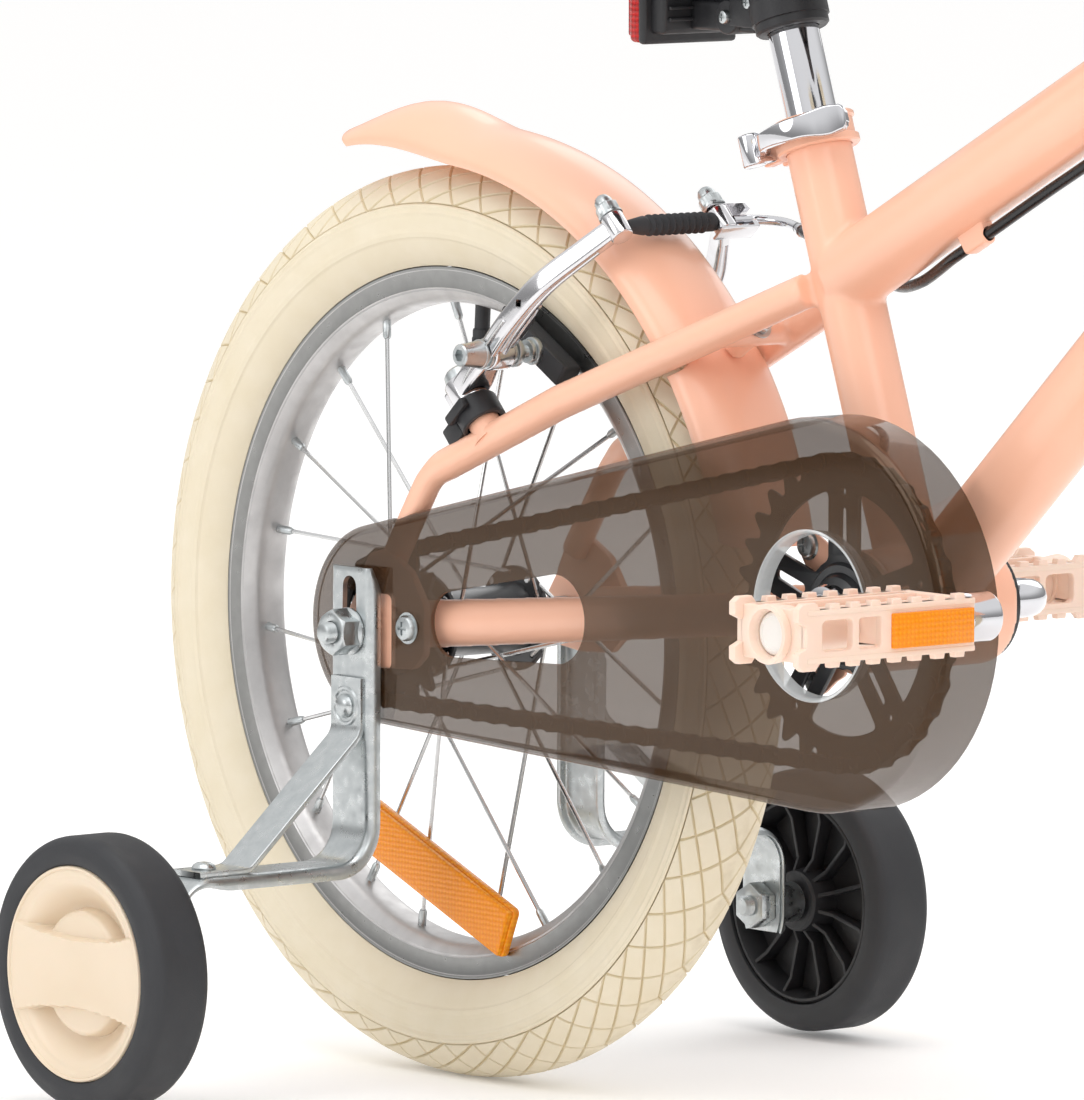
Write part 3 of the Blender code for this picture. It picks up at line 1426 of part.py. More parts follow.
def make_saddle():
    """Cushion, and the base with its rails and the clamp that grips the post's end."""
    top = SEAT_TUBE_LENGTH + POST_RISE
    level = Matrix.Translation((0, 0, top)) @ Matrix.Rotation(math.pi / 2 - SEAT_ANGLE, 4, "Y")
    seat = saddle_body(PLATE_TOP + UNDERSIDE * CUSHION_SHARE * SADDLE_THICKNESS, CUSHION_SHARE)
    place = level @ Vector((SADDLE_SHIFT, 0, 0))
    finish(seat, "saddle_cushion", "tan leather", seat_point, place, LEVEL)
    grip = rod((0, 0, top - 0.024), (0, 0, top + 0.004), POST_RADIUS + 0.0045, sides=12)
    pieces = []
    head = moved(block((0.026, 0.050, 0.012), (0, 0, -0.008)), level)
    pieces.append(head)
    tail = -SADDLE_LENGTH * 0.298
    nose = SADDLE_LENGTH * 0.396
    for side in SIDES.values():
        low = -0.006
        high = PLATE_TOP - BASE_PLATE + 0.0014
        route = [
            (tail, side * SADDLE_WIDTH * 0.227, high),
            (-SADDLE_LENGTH * 0.221, side * RAIL_OFFSET, low),
            (SADDLE_LENGTH * 0.1915, side * RAIL_OFFSET, low),
            (nose, side * SADDLE_WIDTH * 0.0533, high),
        ]
        shifted = [Vector(p) + Vector((SADDLE_SHIFT, 0, 0)) for p in route]
        pieces.append(moved(tube(bends(shifted, 0.02, 2), RAIL_RADIUS, 1), level))
    for x, width in ((tail, SADDLE_WIDTH * 0.60), (nose, SADDLE_WIDTH * 0.2133)):
        plate_low = block((0.030, width, BASE_PLATE), (x + SADDLE_SHIFT, 0, PLATE_TOP - BASE_PLATE / 2))
        pieces.append(moved(plate_low, level))
    bore = rod((0, 0, top - 0.05), (0, 0, top + GAP), POST_RADIUS + GAP, sides=16)
    base = cut(joined(grip, pieces), [bore])
    finish(base, "saddle_base", "black plastic", seat_point)


make_saddle()

# Steering, drawn along the steering axis with X ahead of it

STEERER_RADIUS = 0.0127
STACK = 0.013
CROWN_DROP = 0.0376
HEAD_TOP = FORK_LENGTH + HEAD_TUBE_LENGTH
BAR_BASE = HEAD_TOP + STACK + STEM_RISE
CROWN_PLACE = FORK_LENGTH - CROWN_DROP
FRONT_DROPOUT = FRONT_HUB_SPACING / 2
FRONT_PIVOT = Vector((0, 0.0462, 0.120))
FORWARD = Vector((1, 0, 0))


def make_headset():
    bore = STEERER_RADIUS + RUNNING_GAP
    plug = HEAD_TUBE_BORE - GAP
    flange = HEAD_TUBE_RADIUS + 0.001
    upper = [
        (bore, HEAD_TOP + STACK),
        (flange - 0.004, HEAD_TOP + STACK),
        (flange, HEAD_TOP + STACK * 0.55),
        (flange, HEAD_TOP + GAP),
        (plug, HEAD_TOP + GAP),
        (plug, HEAD_TOP - 0.009),
        (bore, HEAD_TOP - 0.009),
    ]
    lower = [
        (bore, FORK_LENGTH + 0.009),
        (plug, FORK_LENGTH + 0.009),
        (plug, FORK_LENGTH - GAP),
        (flange, FORK_LENGTH - GAP),
        (flange, FORK_LENGTH - STACK * 0.55),
        (flange - 0.003, FORK_LENGTH - STACK),
        (bore, FORK_LENGTH - STACK),
    ]
    finish(turned(upper, 12), "headset_upper_cup", "chrome", steer_point)
    finish(turned(lower, 12), "headset_lower_cup", "chrome", steer_point)


def make_fork():
    steerer = rod((0, 0, CROWN_PLACE), (0, 0, HEAD_TOP + STACK), STEERER_RADIUS, sides=14)
    race = FORK_LENGTH - STACK - RUNNING_GAP
    pieces = [rod((0, 0, CROWN_PLACE - 0.010), (0, 0, race), 0.0185, sides=10)]
    wide = BLADE_SPREAD - 0.004
    pieces.append(rod((0, -wide, CROWN_PLACE), (0, wide, CROWN_PLACE), 0.0125, sides=10))
    for side in SIDES.values():
        route = [(0, side * wide, CROWN_PLACE + 0.006), (0, side * BLADE_SPREAD, 0.125)]
        route.append((FORK_RAKE - 0.003, side * (BLADE_SPREAD + 0.0015), 0.014))
        line = bends(route, 0.10, 3)
        tapers = [1.0 - 0.32 * k / (len(line) - 1) for k in range(len(line))]
        pieces.append(tube(line, BLADE_RADIUS, 2, tapers))
        outline = [(-0.013, -0.004), (-0.008, -0.012), (0.006, -0.012), (0.012, -0.004), (0.009, 0.020), (-0.012, 0.022)]
        end = plate([outline, circle((0, 0), AXLE_RADIUS + GAP, 12)], DROPOUT_THICKNESS)
        shift = (FORK_RAKE, side * (FRONT_DROPOUT + DROPOUT_THICKNESS / 2), 0)
        pieces.append(moved(end, Matrix.Translation(shift)))
        pieces.extend(brake_boss(FRONT_PIVOT, FORWARD, side))
    axle = Vector((FORK_RAKE, 0, 0))
    up = (Vector((0, 0, CROWN_PLACE)) - axle).normalized()
    pieces.append(rod(axle + up * (FENDER_RADIUS + GAP), Vector((0, 0, CROWN_PLACE)), 0.006, sides=8))
    finish(joined(steerer, pieces), "fork", "peach paint", steer_point)


def make_front_axle():
    """The front axle with its cones inside the dropouts and its nuts outside."""
    cone = HUB_LENGTH / 2 + GAP
    inner = FRONT_DROPOUT - GAP
    nut = FRONT_DROPOUT + DROPOUT_THICKNESS + GAP
    tip = nut + 0.014
    core = rod((0, -tip, 0), (0, tip, 0), AXLE_RADIUS, sides=10)
    pieces = []
    for side in SIDES.values():
        pieces.append(rod((0, side * cone, 0), (0, side * inner, 0), 0.0078, sides=10))
        pieces.append(rod((0, side * nut, 0), (0, side * (nut + 0.0095), 0), 0.0092, sides=6))
    finish(joined(core, pieces), "front_axle", "zinc", steer_point, (FORK_RAKE, 0, 0))


def make_front_fender():
    ridge = [(0, FENDER_RADIUS), (180, FENDER_RADIUS)]
    edge = [(0, FENDER_EDGE), (180, FENDER_EDGE)]
    width = [(45, FENDER_WIDTH * 0.88), (62, FENDER_WIDTH), (150, FENDER_WIDTH), (165, FENDER_WIDTH * 0.88)]
    sheet = solid(fender_surface(50.0, 162.0, 15, ridge, edge, width))
    turn = (0, math.pi / 2 - HEAD_ANGLE, 0)
    finish(sheet, "front_fender", "peach paint", steer_point, (FORK_RAKE, 0, 0), turn)


def make_stem():
    base = HEAD_TOP + STACK + GAP
    quill = rod((0, 0, base), (0, 0, BAR_BASE + 0.002), STEM_RADIUS, sides=14)
    nut = rod((0, 0, base), (0, 0, base + 0.008), HEAD_TUBE_RADIUS - 0.002, sides=6)
    reach = rod((0, 0, BAR_BASE - 0.010), (STEM_REACH, 0, BAR_BASE), 0.0105, sides=12)
    clamp = rod((STEM_REACH, -0.020, BAR_BASE), (STEM_REACH, 0.020, BAR_BASE), BAR_RADIUS + 0.0045, sides=12)
    bore = rod((STEM_REACH, -0.03, BAR_BASE), (STEM_REACH, 0.03, BAR_BASE), BAR_RADIUS + GAP, sides=16)
    finish(cut(joined(quill, [nut, reach, clamp]), [bore]), "stem", "black steel", steer_point)


GRIP_PAST_TIP = 0.003
BAR_SWEEP_START = Vector((STEM_REACH - 0.008, BAR_HALF_WIDTH - GRIP_LENGTH + GRIP_PAST_TIP, BAR_BASE + BAR_RISE))
BAR_TIP = Vector((STEM_REACH - 0.034, BAR_HALF_WIDTH, BAR_BASE + BAR_RISE + 0.004))
PERCH_PLACE = 0.016
BELL_PLACE = 0.0270
LEVER_REACH = 0.030


def make_handlebar():
    """The riser bar with the two lever perches clamped to it."""
    low = BAR_HALF_WIDTH * 0.1832
    high = BAR_HALF_WIDTH * 0.42
    half = [(STEM_REACH, 0, BAR_BASE), (STEM_REACH, low, BAR_BASE)]
    half += [(STEM_REACH, high, BAR_BASE + BAR_RISE), tuple(BAR_SWEEP_START), tuple(BAR_TIP)]
    right = [(x, -y, z) for x, y, z in half[:0:-1]]
    bar = tube(bends(right + half[1:], 0.035, 2), BAR_RADIUS, 2)
    pieces = []
    for side in SIDES.values():
        start = to_side(BAR_SWEEP_START, side)
        along = (to_side(BAR_TIP, side) - start).normalized()
        middle = start - along * PERCH_PLACE
        pieces.append(rod(middle - along * 0.008, middle + along * 0.008, BAR_RADIUS + 0.0042, sides=10))
        place = middle + Vector((LEVER_REACH / 2 + 0.004, 0, 0))
        pieces.append(block((LEVER_REACH - 0.002, 0.015, 0.016), place))
    perched = joined(bar, pieces)
    slots = []
    for side in SIDES.values():
        place = lever_pivot(side)
        slots.append(block((0.022, 0.060, LEVER_BLADE + 2 * RUNNING_GAP), place + Vector((0.003, side * 0.012, 0))))
    return perched, slots


LEVER_BLADE = 0.0075
LEVER_PIN_RADIUS = 0.0022


def lever_pivot(side):
    start = to_side(BAR_SWEEP_START, side)
    along = (to_side(BAR_TIP, side) - start).normalized()
    return start - along * PERCH_PLACE + Vector((LEVER_REACH, 0, 0))


def make_bar_and_levers():
    perched, slots = make_handlebar()
    bar = cut(perched, slots)
    pins = []
    for side in SIDES.values():
        low = lever_pivot(side) - Vector((0, 0, LEVER_BLADE * 0.9))
        high = lever_pivot(side) + Vector((0, 0, LEVER_BLADE * 0.9))
        pins.append(rod(low, high, LEVER_PIN_RADIUS, sides=10))
    finish(joined(bar, pins), "handlebar", "black steel", steer_point)
    for side_name, side in SIDES.items():
        pivot = lever_pivot(side)
        axle = point("lever_axis_" + side_name, (0, 0, 0))
        axle.parent = steer_point
        axle.location = pivot
        path = [(-0.004, 0.0), (0.004, 0.0), (0.012, 0.014), (0.013, 0.040), (0.006, 0.075), (0.005, 0.090)]
        outline = strip(path, [0.007, 0.010, 0.010, 0.009, 0.009, 0.010])
        hole = circle((0, 0), LEVER_PIN_RADIUS + GAP, 12)
        lever = laid_flat(plate([outline, hole], LEVER_BLADE))
        if side < 0:
            mirrored(lever)
        finish(lever, "brake_lever_" + side_name, "black steel", axle)


def make_grip(side_name, side):
    tip = to_side(BAR_TIP, side)
    along = (tip - to_side(BAR_SWEEP_START, side)).normalized()
    start = tip - along * (GRIP_LENGTH - GRIP_PAST_TIP)
    sleeve = rod(start, tip + along * GRIP_PAST_TIP, GRIP_RADIUS, sides=10)
    rings = [rod(start - along * SLIVER, start + along * 0.004, GRIP_RADIUS + 0.004, sides=10)]
    rings.append(rod(tip - along * 0.001, tip + along * 0.0035, GRIP_RADIUS + 0.0025, sides=10))
    bore = rod(start - along * 0.02, tip + along * GAP, BAR_RADIUS + GAP, sides=16)
    finish(cut(joined(sleeve, rings), [bore]), "grip_" + side_name, "cream rubber", steer_point)


def make_bell():
    """A small dome bell on its own band, left of the stem."""
    middle = Vector((STEM_REACH, BELL_PLACE, BAR_BASE))
    band = rod(middle - Vector((0, 0.0042, 0)), middle + Vector((0, 0.0042, 0)), BAR_RADIUS + 0.0035, sides=12)
    post = rod(middle, middle + Vector((0, 0, 0.022)), 0.005, sides=8)
    dome = [(0.0, 0.0155), (0.010, 0.0140), (0.0175, 0.0085), (0.021, 0.0), (0.0, 0.0)]
    cap = solid(turned(dome, 12, closed=False))
    moved(cap, Matrix.Translation(middle + Vector((0, 0, 0.019))))
    bore = rod(middle - Vector((0, 0.02, 0)), middle + Vector((0, 0.02, 0)), BAR_RADIUS + GAP, sides=16)
    finish(joined(cut(band, [bore]), [cap_post(post, middle), cap]), "bell", "chrome", steer_point)


def cap_post(post, middle):
    """The bell's post without the part inside the bar."""
    core = rod(middle - Vector((0, 0.02, 0)), middle + Vector((0, 0.02, 0)), BAR_RADIUS + GAP, sides=16)
    return cut(post, [core])


make_headset()
make_fork()
make_front_axle()
make_front_fender()
make_stem()
make_bar_and_levers()
make_bell()
for side_name, side in SIDES.items():
    make_grip(side_name, side)
    pivot = brake_place(FRONT_PIVOT, FORWARD, side)
    arm_point = point("front_brake_pivot_" + side_name, (0, 0, 0), -math.pi / 2)
    arm_point.parent = steer_point
    arm_point.location = pivot
    make_brake_arm("front_brake_arm_" + side_name, arm_point, (0, 0, 0), 0, side)
    shift = Vector((PAD_ALONG, -side * FRONT_PIVOT.y, 0))
    make_pad("front_brake_pad_" + side_name, arm_point, shift, math.pi / 2, FRONT_PIVOT.y, side)
FRONT_HEADS = brake_place(FRONT_PIVOT, FORWARD, 1) + Vector((0, 0, BRAKE_ARM_LENGTH))
FRONT_HEADS.y = 0
make_boot("front_brake_boot", steer_point, FRONT_HEADS)

# Cables

NOODLE_START = BOSS_FOOT.y - HEAD_INSET + ARM_HEAD_RADIUS + 4 * GAP


def from_steering(place):
    """A place of the steering frame, measured from the rear axle."""
    return on_head(place[2], place[0]) + Vector((0, place[1], 0))


def make_rear_cable():
    """From the left arm's noodle past the seat tube, under the top tube and up to the right lever."""
    head = REAR_HEADS
    past_seat_tube = on_seat_line(TOP_TUBE_ON_SEAT)
    barrel = from_steering(lever_pivot(-1) + Vector((-0.012, 0.0085 + GAP, 0)))
    route = [
        head + Vector((0, NOODLE_START, 0)),
        head + Vector((0, NOODLE_START + 0.006, 0)),
        head + Vector((0.002, NOODLE_START + 0.013, 0)),
        head + Vector((0.018, NOODLE_START + 0.017, -0.001)),
        head + Vector((0.050, 0.040, -0.005)),
        past_seat_tube + Vector((-0.0248, 0.0310, 0.0026)),
        past_seat_tube + Vector((0.0051, 0.0230, -0.0044)),
        past_seat_tube + Vector((0.0359, 0.0110, -0.0005)),
        top_tube_point(GUIDE_PLACE - 0.018, CABLE_DROP),
        top_tube_point(GUIDE_PLACE, CABLE_DROP),
        top_tube_point(GUIDE_PLACE + 0.012, CABLE_DROP),
        top_tube_point(0.150, CABLE_DROP),
        top_tube_point(0.230, CABLE_DROP + 0.002),
        from_steering((-0.0689, 0.0150, FORK_LENGTH + 0.0272)),
        from_steering((-0.0119, 0.0330, FORK_LENGTH + 0.0522)),
        from_steering((0.0603, 0.0400, FORK_LENGTH + 0.0898)),
        from_steering((0.1207, 0.0260, HEAD_TOP + 0.0496)),
        from_steering((0.1377, -0.0250, BAR_BASE + 0.0407)),
        from_steering((0.1021, -0.0850, BAR_BASE + 0.0717)),
        barrel + Vector((0.012, 0.022, 0.006)),
        barrel,
    ]
    finish(tube(smooth_route(route, 37), CABLE_RADIUS), "rear_brake_cable", "black rubber", rear_point)


def make_front_cable():
    """From the front left arm's noodle up to the left lever."""
    head = FRONT_HEADS
    barrel = lever_pivot(1) + Vector((-0.012, -0.0085 - GAP, 0))
    route = [
        head + Vector((0, NOODLE_START, 0)),
        head + Vector((0, NOODLE_START + 0.006, 0)),
        head + Vector((0, NOODLE_START + 0.011, 0.002)),
        head + Vector((0.004, NOODLE_START + 0.018, 0.016)),
        head + Vector((0.012, 0.058, 0.050)),
        Vector((0.0620, 0.0620, FORK_LENGTH + 0.0504)),
        Vector((0.0820, 0.0660, HEAD_TOP + 0.0424)),
        Vector((0.0920, 0.0820, BAR_BASE + 0.0394)),
        barrel + Vector((0.014, -0.024, 0.006)),
        barrel,
    ]
    finish(tube(smooth_route(route, 21), CABLE_RADIUS), "front_brake_cable", "black rubber", steer_point)


make_rear_cable()
make_front_cable()
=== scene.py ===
import json
import math
import bpy
from mathutils import Matrix, Vector

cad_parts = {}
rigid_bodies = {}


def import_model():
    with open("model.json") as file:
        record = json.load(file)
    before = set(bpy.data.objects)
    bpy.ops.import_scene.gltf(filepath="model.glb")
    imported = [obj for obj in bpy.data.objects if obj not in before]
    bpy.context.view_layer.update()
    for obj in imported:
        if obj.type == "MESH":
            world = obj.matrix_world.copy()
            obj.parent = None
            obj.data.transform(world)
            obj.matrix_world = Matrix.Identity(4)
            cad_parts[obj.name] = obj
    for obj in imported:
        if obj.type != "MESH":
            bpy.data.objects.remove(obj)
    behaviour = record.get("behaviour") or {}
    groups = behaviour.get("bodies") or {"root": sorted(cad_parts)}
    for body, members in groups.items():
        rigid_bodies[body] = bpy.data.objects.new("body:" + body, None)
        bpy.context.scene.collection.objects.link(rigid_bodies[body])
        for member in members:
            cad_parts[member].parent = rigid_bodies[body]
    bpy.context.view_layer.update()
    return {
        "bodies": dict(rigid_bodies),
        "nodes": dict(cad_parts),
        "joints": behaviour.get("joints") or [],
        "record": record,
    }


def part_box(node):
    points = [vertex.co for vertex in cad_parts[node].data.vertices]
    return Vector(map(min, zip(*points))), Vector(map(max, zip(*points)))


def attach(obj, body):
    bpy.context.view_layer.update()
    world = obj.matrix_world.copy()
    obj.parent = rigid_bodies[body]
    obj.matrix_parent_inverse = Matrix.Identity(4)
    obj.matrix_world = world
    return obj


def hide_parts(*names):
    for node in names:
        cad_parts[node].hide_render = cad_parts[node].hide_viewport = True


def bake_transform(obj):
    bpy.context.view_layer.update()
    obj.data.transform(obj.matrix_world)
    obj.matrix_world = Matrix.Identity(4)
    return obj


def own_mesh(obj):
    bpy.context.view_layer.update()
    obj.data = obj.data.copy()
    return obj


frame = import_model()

mm = 0.001

# The bike's own lines, measured from the rear axle's middle unless said otherwise
layout = {
    "rearAxle": Vector((-0.3725, 0, 0.203)),
    "frontAxle": Vector((0.3725, 0, 0.203)),
    "bracket": Vector((0.3015, 0, 0.0305)),
    "seatTilt": math.radians(-19.1),
    "steerTilt": math.radians(-20.0),
    "steerFoot": Vector((0.71493, 0, -0.010945)),
    "forkLength": 0.3096,
    "headTube": 0.098,
    "stack": 0.013,
    "barBase": 0.4806,
    "rake": 0.032,
}
rearFrame = Matrix.Translation(layout["rearAxle"])
frontFrame = Matrix.Translation(layout["frontAxle"])
bracketFrame = rearFrame @ Matrix.Translation(layout["bracket"])
seatFrame = bracketFrame @ Matrix.Rotation(layout["seatTilt"], 4, "Y")
steerFrame = rearFrame @ Matrix.Translation(layout["steerFoot"]) @ Matrix.Rotation(
    layout["steerTilt"], 4, "Y"
)
sides = {"right": -1, "left": 1}
mirrorY = Matrix.Scale(-1, 4, Vector((0, 1, 0)))

# Camera
shot = {
    "place": (3.8219, -3.4320, 0.7572),
    "azimuth": math.radians(50.371),
    "pitch": math.radians(5.504),
    "roll": math.radians(0.196),
    "lens": 407.1,
}


def addCamera():
    bpy.ops.object.camera_add(location=shot["place"])
    camera = bpy.context.object
    camera.name = "photoCamera"
    turn, dip, roll = shot["azimuth"], shot["pitch"], shot["roll"]
    back = Vector((math.sin(turn) * math.cos(dip), -math.cos(turn) * math.cos(dip), math.sin(dip)))
    across = Vector((math.cos(turn), math.sin(turn), 0))
    upwards = back.cross(across)
    side = across * math.cos(roll) + upwards * math.sin(roll)
    top = upwards * math.cos(roll) - across * math.sin(roll)
    view = Matrix((side, top, back)).transposed().to_4x4()
    view.translation = shot["place"]
    camera.matrix_world = view
    camera.data.sensor_fit = "HORIZONTAL"
    camera.data.sensor_width = 36
    camera.data.lens = shot["lens"]
    camera.data.clip_end = 100
    bpy.context.scene.camera = camera


# Soft studio light over a pale floor
studio = {
    "floorWidth": 40.0, "floorColour": "FAF9F8", "floorGlow": 0.14, "floorRough": 0.9,
    "skyStrength": 0.95, "horizon": 0.35, "backdrop": 1.2, "dimBelow": 0.02, "brightAbove": 0.5,
    "lamps": [
        {"name": "overhead", "place": (0.3, -0.6, 2.6), "aim": (0, 0, 0.2), "size": 2.6, "power": 26},
        {"name": "rearRight", "place": (-0.9, -3.2, 1.6), "aim": (-0.2, 0, 0.3), "size": 1.8, "power": 17},
        {"name": "front", "place": (3.2, -1.2, 1.8), "aim": (-0.1, 0, 0.3), "size": 2.0, "power": 16},
        {"name": "far", "place": (-1.6, 2.6, 1.8), "aim": (0, 0, 0.3), "size": 2.2, "power": 12},
    ],
}


def millimetres(points):
    return [tuple(v * mm for v in point) for point in points]


def hexColour(code):
    parts = [int(code[k:k + 2], 16) / 255 for k in (0, 2, 4)]
    linear = [v / 12.92 if v <= 0.04045 else ((v + 0.055) / 1.055) ** 2.4 for v in parts]
    return (*linear, 1.0)


def addNode(tree, kind, links=None, **settings):
    node = tree.nodes.new(kind)
    for name, value in settings.items():
        setattr(node, name, value)
    for name, value in (links or {}).items():
        if isinstance(value, bpy.types.NodeSocket):
            tree.links.new(value, node.inputs[name])
        else:
            node.inputs[name].default_value = value
    return node


def newMaterial(name):
    made = bpy.data.materials.new(name)
    made.use_nodes = True
    return made, made.node_tree.nodes["Principled BSDF"]


def setInputs(node, values):
    for socket, value in values.items():
        node.inputs[socket].default_value = value


def blended(tree, factor, first, second):
    # Two colours mixed by a value. Each is a hex code or the output of another node
    first, second = [hexColour(each) if isinstance(each, str) else each for each in (first, second)]
    inputs = {"Factor": factor, 6: first, 7: second}
    return addNode(tree, "ShaderNodeMix", inputs, data_type="RGBA").outputs[2]


def bumped(tree, shader, height, strength, distance, **settings):
    inputs = {"Height": height, "Strength": strength, "Distance": distance}
    bump = addNode(tree, "ShaderNodeBump", inputs, **settings)
    tree.links.new(bump.outputs["Normal"], shader.inputs["Normal"])


def addStudio():
    bpy.ops.mesh.primitive_plane_add(size=studio["floorWidth"])
    floor = bpy.context.object
    floor.name = "studioFloor"
    card, shader = newMaterial("paleFloorCard")
    setInputs(shader, {
        "Base Color": hexColour(studio["floorColour"]), "Roughness": studio["floorRough"],
        "Emission Color": (1.0, 1.0, 1.0, 1.0), "Emission Strength": studio["floorGlow"],
    })
    floor.data.materials.append(card)
    for lamp in studio["lamps"]:
        aim = Vector(lamp["aim"]) - Vector(lamp["place"])
        bpy.ops.object.light_add(
            type="AREA", location=lamp["place"], rotation=aim.to_track_quat("-Z", "Y").to_euler()
        )
        light = bpy.context.object
        light.name = lamp["name"] + "Lamp"
        light.data.shape = "DISK"
        light.data.size = lamp["size"]
        light.data.energy = lamp["power"]
    sky = bpy.context.scene.world or bpy.data.worlds.new("studioSky")
    bpy.context.scene.world = sky
    sky.use_nodes = True
    # Bright overhead and dim round the horizon, so that plated parts have something dark to mirror
    tree = sky.node_tree
    glow = tree.nodes["Background"]
    glow.inputs["Strength"].default_value = studio["skyStrength"]
    aim = addNode(tree, "ShaderNodeTexCoord").outputs["Generated"]
    level = addNode(tree, "ShaderNodeSeparateXYZ", {"Vector": aim})
    spread = {
        "Value": level.outputs["Z"], "From Min": studio["dimBelow"], "From Max": studio["brightAbove"],
        "To Min": studio["horizon"], "To Max": 1.0,
    }
    shade = addNode(tree, "ShaderNodeMapRange", spread, interpolation_type="SMOOTHSTEP")
    seen = addNode(tree, "ShaderNodeLightPath").outputs["Is Camera Ray"]
    final = addNode(
        tree, "ShaderNodeMix", {"Factor": seen, 2: shade.outputs["Result"], 3: studio["backdrop"]},
        data_type="FLOAT",
    )
    tree.links.new(final.outputs[0], glow.inputs["Color"])


addCamera()
addStudio()
bpy.context.scene.view_settings.view_transform = "Standard"  # true colours, no film curve
print("stage: camera and studio")

# Finishes. Each pattern size is the real one in millimetres
finishes = {
    # Powder coat on welded steel: an even satin skin with a very fine orange peel
    "peachPowderCoat": {
        "colours": ("FCC4A8", "F9BD9F"), "patch": 60, "rough": (0.30, 0.40), "bump": 0.9, "lift": 0.05,
        "shader": {"Coat Weight": 0.35, "Coat Roughness": 0.12},
    },
    # Natural rubber with chalk filler: matt, a little yellow, dusty where it rolls
    "creamTyreRubber": {
        "colours": ("E8DDC7", "DFD2B6"), "patch": 14, "rough": (0.55, 0.72), "bump": 0.7, "lift": 0.25,
        "shader": {},
    },
    # Soft moulded thermoplastic rubber
    "creamGripRubber": {
        "colours": ("EADFC6", "E2D5B8"), "patch": 18, "rough": (0.5, 0.65), "bump": 0.5, "lift": 0.2,
        "shader": {},
    },
    # Extruded aluminium, rolled into a hoop and left bare
    "brushedAluminium": {
        "colours": ("C9C7C6", "B4B2B2"), "patch": 9, "rough": (0.30, 0.48), "bump": 0.35, "lift": 0.15,
        "metal": 1.0, "turned": 0.25, "shader": {},
    },
    # Turned brake track: darker, with fine rings
    "machinedAluminium": {
        "colours": ("9C9C9A", "8C8C8B"), "patch": 6, "rough": (0.26, 0.36), "bump": 0.3, "lift": 0.08,
        "metal": 1.0, "turned": 0.2, "shader": {},
    },
    # Cold forged aluminium, barrel polished
    "polishedAluminium": {
        "colours": ("E2E1E3", "D0CFD2"), "patch": 12, "rough": (0.07, 0.2), "bump": 1.4, "lift": 0.06,
        "metal": 1.0, "shader": {},
    },
    # Galvanised sheet and fasteners: bluish grey with cloudy spangle
    "zincPlate": {
        "colours": ("D0D3D3", "AEB4B6"), "patch": 5, "rough": (0.22, 0.42), "bump": 1.1, "lift": 0.1,
        "metal": 1.0, "shader": {},
    },
    # Bright nickel and chromium plating
    "chromePlate": {
        "colours": ("DDDDE0", "D2D2D6"), "patch": 30, "rough": (0.04, 0.10), "bump": 3.0, "lift": 0.02,
        "metal": 1.0, "shader": {},
    },
    # Drawn stainless wire
    "stainlessWire": {
        "colours": ("D2D2D2", "C4C5C6"), "patch": 4, "rough": (0.2, 0.3), "bump": 0.3, "lift": 0.02,
        "metal": 1.0, "shader": {},
    },
    # Steel under black electro-coat
    "blackCoatedSteel": {
        "colours": ("17181B", "202226"), "patch": 10, "rough": (0.28, 0.45), "bump": 0.6, "lift": 0.12,
        "metal": 0.0, "shader": {"Coat Weight": 0.3, "Coat Roughness": 0.2},
    },
    # Blued chain steel under a film of oil
    "oiledChainSteel": {
        "colours": ("1B1A1A", "2C2A29"), "patch": 3, "rough": (0.25, 0.5), "bump": 0.4, "lift": 0.2,
        "metal": 0.6, "shader": {},
    },
    # Vulcanised black rubber, bloomed grey with handling
    "blackRubber": {
        "colours": ("26272A", "36373A"), "patch": 22, "rough": (0.5, 0.75), "bump": 0.6, "lift": 0.3,
        "shader": {},
    },
    # Glass filled nylon from a sparked mould
    "blackNylon": {
        "colours": ("1C1C1E", "27272A"), "patch": 8, "rough": (0.38, 0.55), "bump": 0.5, "lift": 0.2,
        "shader": {},
    },
    # Cast PVC cable housing
    "cableHousing": {
        "colours": ("121214", "1B1B1D"), "patch": 6, "rough": (0.2, 0.34), "bump": 0.9, "lift": 0.05,
        "shader": {},
    },
    # Glossy moulded ABS in cream
    "creamAbs": {
        "colours": ("E6D4BD", "DFCCB2"), "patch": 35, "rough": (0.28, 0.4), "bump": 1.2, "lift": 0.04,
        "shader": {"Subsurface Weight": 0.05, "Subsurface Scale": 0.002},
    },
    # Moulded polypropylene in blush, slightly waxy
    "blushPolypropylene": {
        "colours": ("F5DBCA", "EFD2BF"), "patch": 16, "rough": (0.35, 0.5), "bump": 0.8, "lift": 0.08,
        "shader": {"Subsurface Weight": 0.08, "Subsurface Scale": 0.002},
    },
    # White moulded end cap
    "whitePolypropylene": {
        "colours": ("F0EEEA", "E6E3DE"), "patch": 12, "rough": (0.3, 0.45), "bump": 0.8, "lift": 0.05,
        "shader": {},
    },
    # Clear acrylic of the collar in the crank hole
    "clearAcrylic": {
        "colours": ("E9ECEC", "D8DCDD"), "patch": 3, "rough": (0.05, 0.15), "bump": 1.5, "lift": 0.3,
        "shader": {"Alpha": 0.55, "IOR": 1.49},
    },
}


